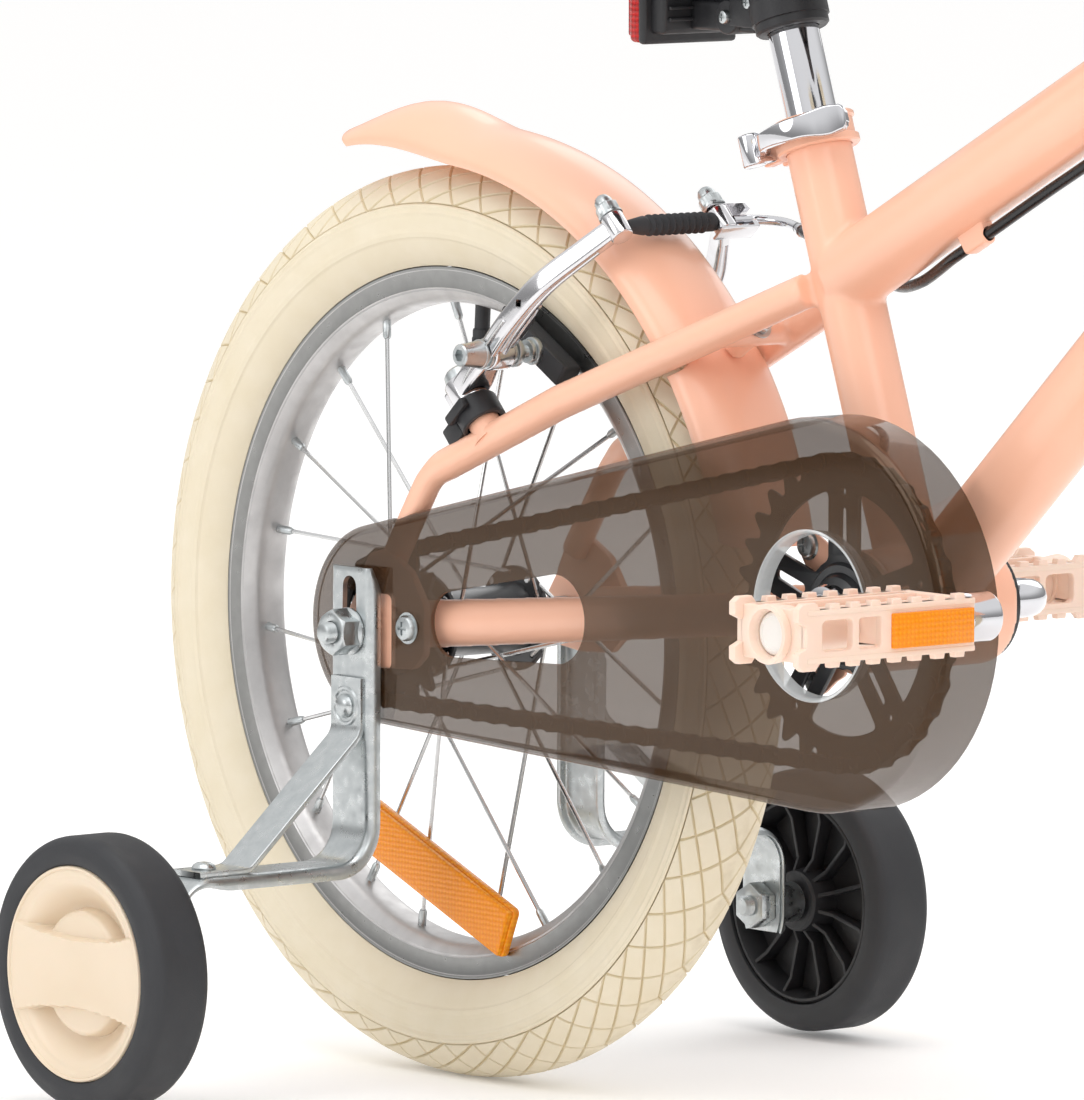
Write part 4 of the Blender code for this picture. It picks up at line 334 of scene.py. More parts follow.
def newFinish(name, recipe):
    made, shader = newMaterial(name)
    tree = made.node_tree
    spot = addNode(tree, "ShaderNodeTexCoord").outputs["Object"]
    patches = {"Vector": spot, "Scale": 1000 / recipe["patch"], "Detail": 4.0}
    cloud = addNode(tree, "ShaderNodeTexNoise", patches).outputs["Fac"]
    tree.links.new(blended(tree, cloud, *recipe["colours"]), shader.inputs["Base Color"])
    low, high = recipe["rough"]
    spread = {"Value": cloud, "From Min": 0.3, "From Max": 0.7, "To Min": low, "To Max": high}
    rough = addNode(tree, "ShaderNodeMapRange", spread).outputs["Result"]
    tree.links.new(rough, shader.inputs["Roughness"])
    if "turned" in recipe:  # rings left by the tool, spaced along the turned profile
        along = addNode(tree, "ShaderNodeAttribute", attribute_name="along").outputs["Fac"]
        rings = {"W": along, "Scale": 1000 / recipe["turned"]}
        height = addNode(tree, "ShaderNodeTexNoise", rings, noise_dimensions="1D").outputs["Fac"]
    else:
        grain = {"Vector": spot, "Scale": 1000 / recipe["bump"], "Detail": 3.0}
        height = addNode(tree, "ShaderNodeTexNoise", grain).outputs["Fac"]
    bumped(tree, shader, height, recipe["lift"], 0.3 * mm)
    shader.inputs["Metallic"].default_value = recipe.get("metal", 0.0)
    setInputs(shader, recipe["shader"])
    return made


materials = {name: newFinish(name, recipe) for name, recipe in finishes.items()}


tyreWear = {
    "dust": "B09F7C", "dustScale": 90.0, "dustFrom": 0.42, "dustFull": 0.75, "dustMost": 0.55,
    "shadow": "D6C69F", "shadowMost": 0.65,
}


def tintTyre():
    # Ridge tops stay clean, grooves hold yellow shadow and road dust gathers round the middle
    tree = materials["creamTyreRubber"].node_tree
    shader = tree.nodes["Principled BSDF"]
    clean = shader.inputs["Base Color"].links[0].from_socket
    groove = addNode(tree, "ShaderNodeAttribute", attribute_name="groove").outputs["Fac"]
    tread = addNode(tree, "ShaderNodeAttribute", attribute_name="tread").outputs["Fac"]
    spot = addNode(tree, "ShaderNodeTexCoord").outputs["Object"]
    specks = {"Vector": spot, "Scale": tyreWear["dustScale"], "Detail": 6.0}
    dust = addNode(tree, "ShaderNodeTexNoise", specks).outputs["Fac"]
    dusty = addNode(tree, "ShaderNodeMath", {0: dust, 1: tread}, operation="MULTIPLY").outputs[0]
    spread = {
        "Value": dusty, "From Min": tyreWear["dustFrom"], "From Max": tyreWear["dustFull"],
        "To Max": tyreWear["dustMost"],
    }
    amount = addNode(tree, "ShaderNodeMapRange", spread).outputs["Result"]
    brown = blended(tree, amount, clean, tyreWear["dust"])
    shadow = {0: groove, 1: tyreWear["shadowMost"]}
    depth = addNode(tree, "ShaderNodeMath", shadow, operation="MULTIPLY").outputs[0]
    tree.links.new(blended(tree, depth, brown, tyreWear["shadow"]), shader.inputs["Base Color"])


smoked = {
    "colours": ("3A2411", "452D18"), "cloudScale": 9.0, "rippleScale": 25.0, "ripple": 0.05,
    "shader": {"Roughness": 0.06, "IOR": 1.58, "Alpha": 0.63, "Specular Tint": (1.0, 0.8, 0.62, 1.0)},
}


def smokedPolycarbonate():
    # Clear brown vacuum-formed sheet: you see through it, and it mirrors the lamps
    made, shader = newMaterial("smokedPolycarbonate")
    tree = made.node_tree
    spot = addNode(tree, "ShaderNodeTexCoord").outputs["Object"]
    clouds = {"Vector": spot, "Scale": smoked["cloudScale"], "Detail": 2.0}
    cloud = addNode(tree, "ShaderNodeTexNoise", clouds).outputs["Fac"]
    tree.links.new(blended(tree, cloud, *smoked["colours"]), shader.inputs["Base Color"])
    ripples = {"Vector": spot, "Scale": smoked["rippleScale"], "Detail": 1.0}
    height = addNode(tree, "ShaderNodeTexNoise", ripples).outputs["Fac"]
    bumped(tree, shader, height, smoked["ripple"], 1 * mm)
    setInputs(shader, smoked["shader"])
    return made


prism = {
    "uneven": 0.15, "relief": 0.5,
    "shader": {
        "Roughness": 0.18, "IOR": 1.49, "Specular IOR Level": 0.3, "Coat Weight": 0.3,
        "Coat Roughness": 0.05,
    },
}


def prismLens(name, bright, deep, cell):
    # Moulded acrylic with corner-cube cells on its back, drawn as their relief from the front, and painted
    # with the light and shade of their facets
    made, shader = newMaterial(name)
    tree = made.node_tree
    spot = addNode(tree, "ShaderNodeTexCoord").outputs["Object"]
    cells = {"Vector": spot, "Scale": 1000 / cell, "Randomness": prism["uneven"]}
    depth = addNode(tree, "ShaderNodeTexVoronoi", cells, distance="MANHATTAN").outputs["Distance"]
    # Painted light and shade: each cell runs from the lit tone in its middle to the shaded tone at its edges
    tree.links.new(blended(tree, depth, bright, deep), shader.inputs["Base Color"])
    bumped(tree, shader, depth, prism["relief"], 0.5 * mm)
    setInputs(shader, prism["shader"])
    return made


hide = {
    "pebble": 1.2, "worn": ("C08A5E", "A9744B"), "wornScale": 35.0, "paintedCreaseShade": "7C5233",
    "creaseFrom": 0.35, "creaseFull": 0.8, "creaseShadeMost": 0.5, "relief": 0.35,
    "shader": {"Roughness": 0.5, "Sheen Weight": 0.15},
}


def saddleHide():
    # Tan embossed leatherette: pebbled grain about 1.2 mm across, with painted shade darkening its creases
    made, shader = newMaterial("tanLeatherette")
    tree = made.node_tree
    spot = addNode(tree, "ShaderNodeTexCoord").outputs["Object"]
    pebbles = {"Vector": spot, "Scale": 1000 / hide["pebble"]}
    pebble = addNode(tree, "ShaderNodeTexVoronoi", pebbles, feature="SMOOTH_F1").outputs["Distance"]
    clouds = {"Vector": spot, "Scale": hide["wornScale"], "Detail": 5.0}
    cloud = addNode(tree, "ShaderNodeTexNoise", clouds).outputs["Fac"]
    worn = blended(tree, cloud, *hide["worn"])
    # Painted shade: the creases between the pebbles are darkened towards the crease colour
    spread = {
        "Value": pebble, "From Min": hide["creaseFrom"], "From Max": hide["creaseFull"],
        "To Max": hide["creaseShadeMost"],
    }
    paintedCreaseShade = addNode(tree, "ShaderNodeMapRange", spread).outputs["Result"]
    tree.links.new(blended(tree, paintedCreaseShade, worn, hide["paintedCreaseShade"]), shader.inputs["Base Color"])
    bumped(tree, shader, pebble, hide["relief"], 0.3 * mm, invert=True)
    setInputs(shader, hide["shader"])
    return made


tintTyre()
materials["smokedPolycarbonate"] = smokedPolycarbonate()
# Lit and shaded tones for the painted shading of the prism cells
materials["amberPrism"] = prismLens("amberPrism", "FFB01C", "F28C06", 2.2)
materials["redPrism"] = prismLens("redPrism", "D81A14", "8E0D0A", 2.4)
materials["tanLeatherette"] = saddleHide()
print("stage: finishes")

# Modelling steps shared by the pieces


def deselectAll():
    if bpy.context.object and bpy.context.object.mode != "OBJECT":
        bpy.ops.object.mode_set(mode="OBJECT")
    bpy.ops.object.select_all(action="DESELECT")


def activate(piece):
    deselectAll()
    piece.select_set(True)
    bpy.context.view_layer.objects.active = piece
    return piece


def modify(piece, kind, **settings):
    activate(piece)
    step = piece.modifiers.new(kind.lower(), kind)
    for name, value in settings.items():
        setattr(step, name, value)
    bpy.ops.object.modifier_apply(modifier=step.name)
    return piece


def place(piece, matrix):
    piece.data.transform(matrix)
    if matrix.is_negative:
        piece.data.flip_normals()
    piece.data.update()
    return piece


def twin(piece, matrix=None):
    copy = piece.copy()
    copy.data = piece.data.copy()
    bpy.context.scene.collection.objects.link(copy)
    return place(copy, matrix) if matrix is not None else copy


def join(pieces):
    deselectAll()
    for piece in pieces:
        piece.select_set(True)
    bpy.context.view_layer.objects.active = pieces[0]
    bpy.ops.object.join()
    return bpy.context.object


def combine(piece, others, operation="UNION"):
    for other in others:
        modify(piece, "BOOLEAN", operation=operation, solver="EXACT", object=other)
        bpy.data.objects.remove(other, do_unlink=True)
    return piece


def carve(piece, others):
    return combine(piece, others, "DIFFERENCE")


def soften(piece, width, segments=2, angle=40):
    return modify(
        piece, "BEVEL", width=width, segments=segments, limit_method="ANGLE",
        angle_limit=math.radians(angle),
    )


def box(size, centre=(0, 0, 0), edge=0.0, segments=2):
    deselectAll()
    bpy.ops.mesh.primitive_cube_add(size=1)
    piece = bpy.context.object
    place(piece, Matrix.Translation(centre) @ Matrix.Diagonal((*size, 1)))
    return soften(piece, edge, segments) if edge else piece


def rod(start, end, radius, tip=None, sides=24, edge=0.0, segments=2):
    start, end = Vector(start), Vector(end)
    run = end - start
    deselectAll()
    far = radius if tip is None else tip
    bpy.ops.mesh.primitive_cone_add(vertices=sides, radius1=radius, radius2=far, depth=run.length)
    piece = bpy.context.object
    turn = run.to_track_quat("Z", "Y").to_matrix().to_4x4()
    place(piece, Matrix.Translation((start + end) / 2) @ turn)
    return soften(piece, edge, segments, 50) if edge else piece


def ringOf(points):
    deselectAll()
    bpy.ops.mesh.primitive_circle_add(vertices=len(points))
    piece = bpy.context.object
    for vertex, point in zip(piece.data.vertices, points):
        vertex.co = point
    return piece


def lathe(profile, steps=48, closed=True):
    # The profile is radius and height, turned round Y
    piece = ringOf([(r, h, 0) for r, h in profile])
    activate(piece)
    bpy.ops.object.mode_set(mode="EDIT")
    if not closed:
        bpy.ops.mesh.select_all(action="DESELECT")
        bpy.ops.object.mode_set(mode="OBJECT")
        last = len(profile) - 1
        for edge in piece.data.edges:
            edge.select = set(edge.vertices) == {0, last}
        bpy.ops.object.mode_set(mode="EDIT")
        bpy.ops.mesh.delete(type="EDGE")
    bpy.ops.mesh.select_all(action="SELECT")
    bpy.ops.mesh.spin(steps=steps, angle=2 * math.pi, center=(0, 0, 0), axis=(0, 1, 0))
    bpy.ops.mesh.select_all(action="SELECT")
    bpy.ops.mesh.remove_doubles(threshold=0.00001)
    bpy.ops.mesh.normals_make_consistent(inside=False)
    bpy.ops.object.mode_set(mode="OBJECT")
    travelled = [0.0]
    for (r0, h0), (r1, h1) in zip(profile, profile[1:]):
        travelled.append(travelled[-1] + math.hypot(r1 - r0, h1 - h0))
    reach = {(round(r, 5), round(h, 5)): length for (r, h), length in zip(profile, travelled)}
    along = piece.data.attributes.new("along", "FLOAT", "POINT")
    for vertex in piece.data.vertices:
        x, y, z = vertex.co
        along.data[vertex.index].value = reach.get((round(math.hypot(x, z), 5), round(y, 5)), 0.0)
    return piece


def arcPath(points, radius, steps=8):
    # Each inner corner becomes an arc of that radius
    points = [Vector(p) for p in points]
    path = [points[0]]
    for before, corner, after in zip(points, points[1:], points[2:]):
        back, ahead = (before - corner).normalized(), (after - corner).normalized()
        half = back.angle(ahead) / 2
        reach = min(radius / math.tan(half), 0.48 * (before - corner).length, 0.48 * (after - corner).length)
        curve = reach * math.tan(half)
        centre = corner + (back + ahead).normalized() * (curve / math.sin(half))
        first, last = corner + back * reach - centre, corner + ahead * reach - centre
        sweep = first.angle(last)
        for k in range(steps + 1):
            share = k / steps
            swing = first * math.sin((1 - share) * sweep) + last * math.sin(share * sweep)
            path.append(centre + swing / math.sin(sweep))
    path.append(points[-1])
    return path


def evenPath(fine, count):
    lengths = [0.0]
    for a, b in zip(fine, fine[1:]):
        lengths.append(lengths[-1] + (b - a).length)
    path, k = [], 0
    for n in range(count):
        target = lengths[-1] * n / (count - 1)
        while k < len(fine) - 2 and lengths[k + 1] < target:
            k += 1
        path.append(fine[k].lerp(fine[k + 1], (target - lengths[k]) / (lengths[k + 1] - lengths[k])))
    return path


def smoothPath(points, count):
    knots = [Vector(p) for p in points]
    knots = [knots[0] * 2 - knots[1]] + knots + [knots[-1] * 2 - knots[-2]]
    fine = []
    for p0, p1, p2, p3 in zip(knots, knots[1:], knots[2:], knots[3:]):
        for k in range(16):
            t = k / 16
            low = 2 * p1 + (p2 - p0) * t + (2 * p0 - 5 * p1 + 4 * p2 - p3) * t * t
            fine.append(0.5 * (low + (3 * p1 - p0 - 3 * p2 + p3) * t ** 3))
    fine.append(knots[-2])
    return evenPath(fine, count)


def tube(points, radius, sizes=None, facets=4):
    # A swept bar: a path curve with a round bevel, converted to mesh
    deselectAll()
    bpy.ops.curve.primitive_nurbs_path_add()
    curve = bpy.context.object
    data = curve.data
    data.splines.clear()
    data.bevel_depth = radius
    data.bevel_resolution = facets
    data.use_fill_caps = True
    line = data.splines.new("POLY")
    line.points.add(len(points) - 1)
    for k, point in enumerate(points):
        line.points[k].co = (*point, 1.0)
        line.points[k].radius = sizes[k] if sizes else 1.0
    bpy.ops.object.convert(target="MESH")
    return weld(bpy.context.object)


def weld(piece, distance=0.000005):
    activate(piece)
    bpy.ops.object.mode_set(mode="EDIT")
    bpy.ops.mesh.select_all(action="SELECT")
    bpy.ops.mesh.remove_doubles(threshold=distance)
    bpy.ops.mesh.normals_make_consistent(inside=False)
    bpy.ops.object.mode_set(mode="OBJECT")
    return piece


def plate(outlines, thickness, edge=0.0, facets=2):
    # Flat in XZ and centred on Y: the first outline is solid, the rest are holes
    deselectAll()
    bpy.ops.curve.primitive_bezier_circle_add()
    curve = bpy.context.object
    data = curve.data
    data.splines.clear()
    data.dimensions = "2D"
    data.fill_mode = "BOTH"
    data.extrude = thickness / 2 - edge
    data.bevel_depth = edge
    data.bevel_resolution = facets
    data.offset = -edge
    for outline in outlines:
        line = data.splines.new("POLY")
        line.points.add(len(outline) - 1)
        for k, (x, z) in enumerate(outline):
            line.points[k].co = (x, z, 0, 1)
        line.use_cyclic_u = True
    bpy.ops.object.convert(target="MESH")
    piece = weld(bpy.context.object)
    return place(piece, Matrix.Rotation(math.pi / 2, 4, "X"))


def gridSheet(rows, columns):
    deselectAll()
    bpy.ops.mesh.primitive_grid_add(x_subdivisions=columns, y_subdivisions=rows, size=2)
    return bpy.context.object


def layFlat(piece):
    return place(piece, Matrix.Rotation(-math.pi / 2, 4, "X"))


def circle(centre, radius, count=32, start=0.0):
    turn = 2 * math.pi / count
    return [
        (centre[0] + radius * math.cos(start + k * turn), centre[1] + radius * math.sin(start + k * turn))
        for k in range(count)
    ]


def rounded(corners, radius, steps=5):
    # A closed outline with its corners turned into arcs
    count = len(corners)
    outline = []
    for k in range(count):
        trio = [Vector((*corners[(k + n) % count], 0)) for n in (-1, 0, 1)]
        outline += [tuple(p.xy) for p in arcPath(trio, radius, steps)[1:-1]]
    return outline


def belt(rear, rearRadius, front, frontRadius, steps=24):
    rear, front = Vector(rear), Vector(front)
    run = front - rear
    slope = math.atan2(run.y, run.x)
    lean = math.acos((rearRadius - frontRadius) / run.length)
    outline = []
    for k in range(steps + 1):
        angle = slope - lean + 2 * lean * k / steps
        outline.append((front.x + frontRadius * math.cos(angle), front.y + frontRadius * math.sin(angle)))
    for k in range(steps + 1):
        angle = slope + lean + 2 * (math.pi - lean) * k / steps
        outline.append((rear.x + rearRadius * math.cos(angle), rear.y + rearRadius * math.sin(angle)))
    return outline


def ribbon(points, widths):
    # The outline of a strip along flat points, with a width at each
    left, right = [], []
    for k, here in enumerate(points):
        before, after = Vector(points[max(k - 1, 0)]), Vector(points[min(k + 1, len(points) - 1)])
        along = (after - before).normalized()
        normal = Vector((-along.y, along.x)) * widths[k] / 2
        left.append(tuple(Vector(here) + normal))
        right.append(tuple(Vector(here) - normal))
    return left + right[::-1]


def eased(knots, x):
    if x <= knots[0][0]:
        return knots[0][1]
    for (x0, v0), (x1, v1) in zip(knots, knots[1:]):
        if x <= x1:
            share = (x - x0) / (x1 - x0)
            return v0 + (v1 - v0) * share * share * (3 - 2 * share)
    return knots[-1][1]


def hexHead(centre, direction, width, height, edge=0.0005):
    centre, direction = Vector(centre), Vector(direction).normalized()
    return rod(centre, centre + direction * height, width / 2 / math.cos(math.pi / 6), sides=6, edge=edge)


def panScrew(radius, height):
    # A pan head along -Y with a cross recess, its seat at the origin
    head = lathe(
        [
            (0, 0), (radius, 0), (radius, -0.35 * height), (0.86 * radius, -0.8 * height),
            (0.5 * radius, -height), (0, -1.03 * height),
        ],
        28, closed=False,
    )
    slots = [
        box((1.05 * radius, height, 0.22 * radius), (0, -height * 1.1, 0)),
        box((0.22 * radius, height, 1.05 * radius), (0, -height * 1.1, 0)),
    ]
    return carve(head, slots)


def keep(piece, name, body, finish, stands=(), angle=35, matrix=None, finishesBy=None):
    # Where every piece ends: its name, finish, shading, the body it rides on and the nodes it stands for
    if matrix is not None:
        place(piece, matrix)
    activate(piece)
    bpy.ops.object.transform_apply(location=True, rotation=True, scale=True)
    piece.name = name
    piece.data.name = name
    names = [finish] if isinstance(finish, str) else list(finish)
    piece.data.materials.clear()
    for each in names:
        piece.data.materials.append(materials[each])
    if finishesBy:
        for face in piece.data.polygons:
            face.material_index = finishesBy(face)
    bpy.ops.object.shade_smooth_by_angle(angle=math.radians(angle))
    if body:
        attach(piece, body)
    if stands:
        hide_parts(*stands)
    return piece


# Wheels

tyre = {
    "radius": 203 * mm, "crown": 22.2 * mm, "halfWidth": 21.4 * mm, "beadHalf": 12.0 * mm, "bead": 158.9 * mm,
    "wall": 3.2 * mm, "pitches": 58, "rows": 4, "shoulderArc": 29 * mm, "lean": 0.72,
    "grooveWidth": 0.75 * mm, "grooveDepth": 1.15 * mm, "steps": 160,
}


def tyreSurface(angle, arc, drop=0.0):
    # A point on the tread: the angle round the wheel and the arc length from its middle
    crown = tyre["radius"] - tyre["crown"]
    lean = arc / tyre["crown"]
    reach = crown + (tyre["crown"] - drop) * math.cos(lean)
    side = (tyre["halfWidth"] - drop) * math.sin(lean)
    return Vector((reach * math.cos(angle), side, reach * math.sin(angle)))


def tyreCarcass():
    # Sidewalls with three moulded lines, the lowest near the bead, closed inside by the casing
    crown = tyre["radius"] - tyre["crown"]
    low = math.acos(tyre["beadHalf"] / tyre["halfWidth"])
    drop = (crown - tyre["bead"]) / math.sin(low)
    outer = []
    count = 160
    for k in range(count + 1):
        angle = -low + (math.pi + 2 * low) * k / count
        high = tyre["crown"] if 0 < angle < math.pi else drop
        off = 0.0
        reach = crown + high * math.sin(angle)
        for line, width, lift in ((0.072, 0.008, 0.45), (0.03, 0.008, 0.4), (-0.09, 0.012, 0.5)):
            wave = abs(angle / math.pi - line)
            mirrored = abs((math.pi - angle) / math.pi - line)
            if min(wave, mirrored) < width * 1.5:
                off = lift * mm
        tread = abs(angle - math.pi / 2) < tyre["shoulderArc"] / tyre["crown"] - 0.02
        sink = 1.3 * mm if tread else 0.0
        outer.append(
            (reach - sink + off * math.sin(angle), (tyre["halfWidth"] - sink + off) * math.cos(angle))
        )
    bead = tyre["wall"]
    inner = []
    for k in range(17):
        angle = math.pi + low - (math.pi + 2 * low) * k / 16
        high = (tyre["crown"] if 0 < angle < math.pi else drop) - bead
        inner.append(
            (
                max(crown + high * math.sin(angle), tyre["bead"] + 0.2 * mm),
                (tyre["halfWidth"] - bead) * math.cos(angle),
            )
        )
    return lathe(outer + inner, tyre["steps"])


def treadSheet():
    # Long diamonds of a skewed lattice, inset for their grooves, then wrapped round the tyre
    count, rows = tyre["pitches"], tyre["rows"]
    pitch = 2 * math.pi / count
    step = tyre["shoulderArc"] / rows
    spots, faces = [], []

    def spot(i, j, side):
        spots.append(((i + j * tyre["lean"]) * pitch * tyre["radius"], side * j * step, 0))
        return len(spots) - 1

    for i in range(count):
        kite = [(i, 0, 1), (i, 1, 1), (i + 1, 0, 1), (i, 1, -1)]
        faces.append([spot(*each) for each in kite][::-1])
        for side in (1, -1):
            for j in range(1, rows):
                diamond = [(i, j, side), (i, j + 1, side), (i + 1, j, side), (i + 1, j - 1, side)]
                faces.append([spot(*each) for each in diamond][::-side])
            tooth = [(i, rows, side), (i + 1, rows, side), (i + 1, rows - 1, side)]
            faces.append([spot(*each) for each in tooth][::-side])
    deselectAll()
    bpy.ops.mesh.primitive_plane_add(size=1)
    sheet = bpy.context.object
    sheet.data.clear_geometry()
    sheet.data.from_pydata(spots, [], faces)
    weld(sheet, 0.0001)
    bpy.ops.object.mode_set(mode="EDIT")
    bpy.ops.mesh.select_all(action="SELECT")
    bpy.ops.mesh.inset(thickness=tyre["grooveWidth"], depth=0, use_individual=True)
    bpy.ops.object.mode_set(mode="OBJECT")
    tops = {v for face in sheet.data.polygons if face.select for v in face.vertices}
    for vertex in sheet.data.vertices:
        if vertex.index not in tops:
            vertex.co.z = -tyre["grooveDepth"]
    activate(sheet)
    bpy.ops.object.mode_set(mode="EDIT")
    bpy.ops.mesh.select_all(action="SELECT")
    bpy.ops.mesh.subdivide(number_cuts=2)
    bpy.ops.object.mode_set(mode="OBJECT")
    groove = sheet.data.attributes.new("groove", "FLOAT", "POINT")
    worn = sheet.data.attributes.new("tread", "FLOAT", "POINT")
    for vertex in sheet.data.vertices:
        x, y, z = vertex.co
        groove.data[vertex.index].value = min(1.0, -z / tyre["grooveDepth"])
        worn.data[vertex.index].value = max(0.0, 1 - abs(y) / (0.7 * tyre["shoulderArc"]))
        sink = -z if abs(y) < tyre["shoulderArc"] - 0.5 * mm else max(-z, 0.9 * mm)
        vertex.co = tyreSurface(x / tyre["radius"], y, sink)
    return weld(sheet, 0.00002)


def addTyres():
    rubber = join([tyreCarcass(), treadSheet()])
    second = twin(rubber)
    for piece, end, matrix in ((rubber, "rear", rearFrame), (second, "front", frontFrame)):
        body, stands = end + "_wheel", [end + "_tyre"]
        keep(piece, end + "TyreRubber", body, "creamTyreRubber", stands, 32, matrix)


rim = {
    "outer": 158.4 * mm, "inner": 142.2 * mm, "half": 12.2 * mm, "trackTop": 157.2 * mm,
    "trackFoot": 148.6 * mm, "spokes": 20, "phase": math.radians(5.5), "spokeRadius": 1.0 * mm,
    "flange": 26 * mm, "flangeRadius": 23.5 * mm, "nippleRadius": 1.9 * mm, "nippleLength": 9.5 * mm,
    "valveAngle": math.radians(86.5),
}


def rimHoop():
    half, outer, inner, foot = rim["half"], rim["outer"], rim["inner"], rim["trackFoot"]
    left = [
        (outer, half - 1.6 * mm), (outer, half), (rim["trackTop"], half),
        (rim["trackTop"] - 0.4 * mm, half - 0.15 * mm),
        (foot + 0.5 * mm, half - 0.1 * mm), (foot, half - 0.45 * mm), (foot - 0.8 * mm, half - 0.45 * mm),
        (foot - 1.4 * mm, half - 0.9 * mm),
        (inner + 2.4 * mm, half - 3.0 * mm), (inner + 1.0 * mm, half - 4.6 * mm),
        (inner + 0.3 * mm, half - 6.4 * mm), (inner, 3.2 * mm), (inner, 0),
    ]
    well = [(outer - 8 * mm, 0), (outer - 8 * mm, 4.5 * mm), (outer - 2.4 * mm, half - 2.4 * mm)]
    right = [(r, -h) for r, h in left[::-1]][1:]
    hoop = lathe(left + right + [(r, -h) for r, h in well[::-1]][:-1] + well, 192)

    def track(face):
        centre = face.center - layout["rearAxle"] if face.center.x < 0 else face.center - layout["frontAxle"]
        return 1 if abs(face.normal.y) > 0.96 and math.hypot(centre.x, centre.z) > foot else 0

    return hoop, track


def spokeEnds(k):
    pitch = 2 * math.pi / rim["spokes"]
    angle = rim["phase"] + k * pitch
    side = 1 if k % 2 else -1
    lean = 1 if (k // 2) % 2 else -1
    hubAngle = angle + lean * 4 * pitch
    seat = rim["flangeRadius"] - 2.6 * mm
    flange = side * (rim["flange"] + lean * 1.9 * mm)
    hub = Vector((seat * math.cos(hubAngle), flange, seat * math.sin(hubAngle)))
    far = Vector((rim["inner"] * math.cos(angle), side * 2 * mm, rim["inner"] * math.sin(angle)))
    return hub, far, side, lean


def spokeSet():
    # Elbowed wires with their heads in the flange, each with its nipple at the rim
    wires, nipples = [], []
    for k in range(rim["spokes"]):
        hub, far, side, lean = spokeEnds(k)
        run = (far - hub).normalized()
        head = Vector((hub.x, side * (rim["flange"] - lean * 1.9 * mm), hub.z))
        points = arcPath([head, hub, far - run * 3 * mm], 1.6 * mm, 3)
        wires.append(tube(points, rim["spokeRadius"], facets=2))
        cap = (head - hub).normalized() * 0.9 * mm
        wires.append(rod(head - cap, head + cap * 0.4, 1.9 * mm, 1.5 * mm, sides=10))
        top = far + run * 1.4 * mm
        long = rim["nippleLength"]
        thick = rim["nippleRadius"]
        nipples.append(
            tube(
                [top, top - run * 3 * mm, top - run * (long - 1.5 * mm), top - run * long], thick,
                [1.1, 1.0, 1.0, 0.72], 3,
            )
        )
    return join(wires), join(nipples)


def valve():
    angle = rim["valveAngle"]
    inward = -Vector((math.cos(angle), 0, math.sin(angle)))
    foot = -inward * (rim["inner"] + 1 * mm)
    stem = [foot, foot + inward * 1.5 * mm, foot + inward * 12.5 * mm]
    body = tube(stem, 3.5 * mm, [1.25, 1.0, 1.0], 4)
    low, tip = foot + inward * 12 * mm, foot + inward * 31 * mm
    cap = tube(
        [low, low + inward * 0.8 * mm, low + inward * 14 * mm, tip - inward * 1.2 * mm, tip], 4.2 * mm,
        [0.94, 1.0, 0.92, 0.86, 0.62], 4,
    )
    ribs = []
    for k in range(12):  # the grip ribs of the dust cap
        around = Matrix.Rotation(k * math.pi / 6, 4, inward)
        out = around @ inward.cross(Vector((0, 1, 0))).normalized() * 4.0 * mm
        ribs.append(rod(low + inward * 4 * mm + out, tip - inward * 4 * mm + out * 0.93, 0.45 * mm, sides=6))
    return join([body, cap] + ribs)


def hubShell(rightEnd, barrel):
    out, rad = rim["flange"], rim["flangeRadius"]
    left = [
        (5.6 * mm, 30 * mm), (11.4 * mm, 30 * mm), (12 * mm, 29.4 * mm), (12.4 * mm, out + 1.7 * mm),
        (rad - 0.6 * mm, out + 1.5 * mm),
        (rad, out + 0.9 * mm), (rad, out - 0.9 * mm), (rad - 0.6 * mm, out - 1.5 * mm),
        (17 * mm, out - 1.9 * mm), (barrel + 1.4 * mm, out - 4 * mm), (barrel, out - 8 * mm),
    ]
    right = [(r, -h) for r, h in left[::-1]][:-2] + [
        (12 * mm, -rightEnd + 0.6 * mm), (11.4 * mm, -rightEnd), (5.6 * mm, -rightEnd)
    ]
    shell = lathe(left + right, 48)
    holes = []
    for side in (-1, 1):
        for k in range(rim["spokes"] // 2):
            hub = spokeEnds(2 * k + (1 if side > 0 else 0))[0]
            holes.append(
                rod((hub.x, side * 22 * mm, hub.z), (hub.x, side * 30 * mm, hub.z), 1.35 * mm, sides=10)
            )
    return carve(shell, [join(holes)])


def addWheel(end, body, matrix, rightEnd, barrel):
    hoop, track = rimHoop()
    place(hoop, matrix)
    keep(
        hoop, end + "RimHoop", body, ["brushedAluminium", "machinedAluminium"],
        [end + "_rim"], 30, finishesBy=track,
    )
    wires, nipples = spokeSet()
    keep(wires, end + "Spokes", body, "stainlessWire", matrix=matrix)
    keep(nipples, end + "Nipples", body, "zincPlate", matrix=matrix)
    keep(valve(), end + "Valve", body, "blackRubber", matrix=matrix)
    keep(
        hubShell(rightEnd, barrel), end + "HubShell", body, "blackCoatedSteel",
        [end + "_hub"], matrix=matrix,
    )


wheelReflector = {
    "length": 108 * mm, "height": 24 * mm, "depth": 6 * mm, "turn": math.radians(22.3),
    "node": "rear_wheel_reflector",
}


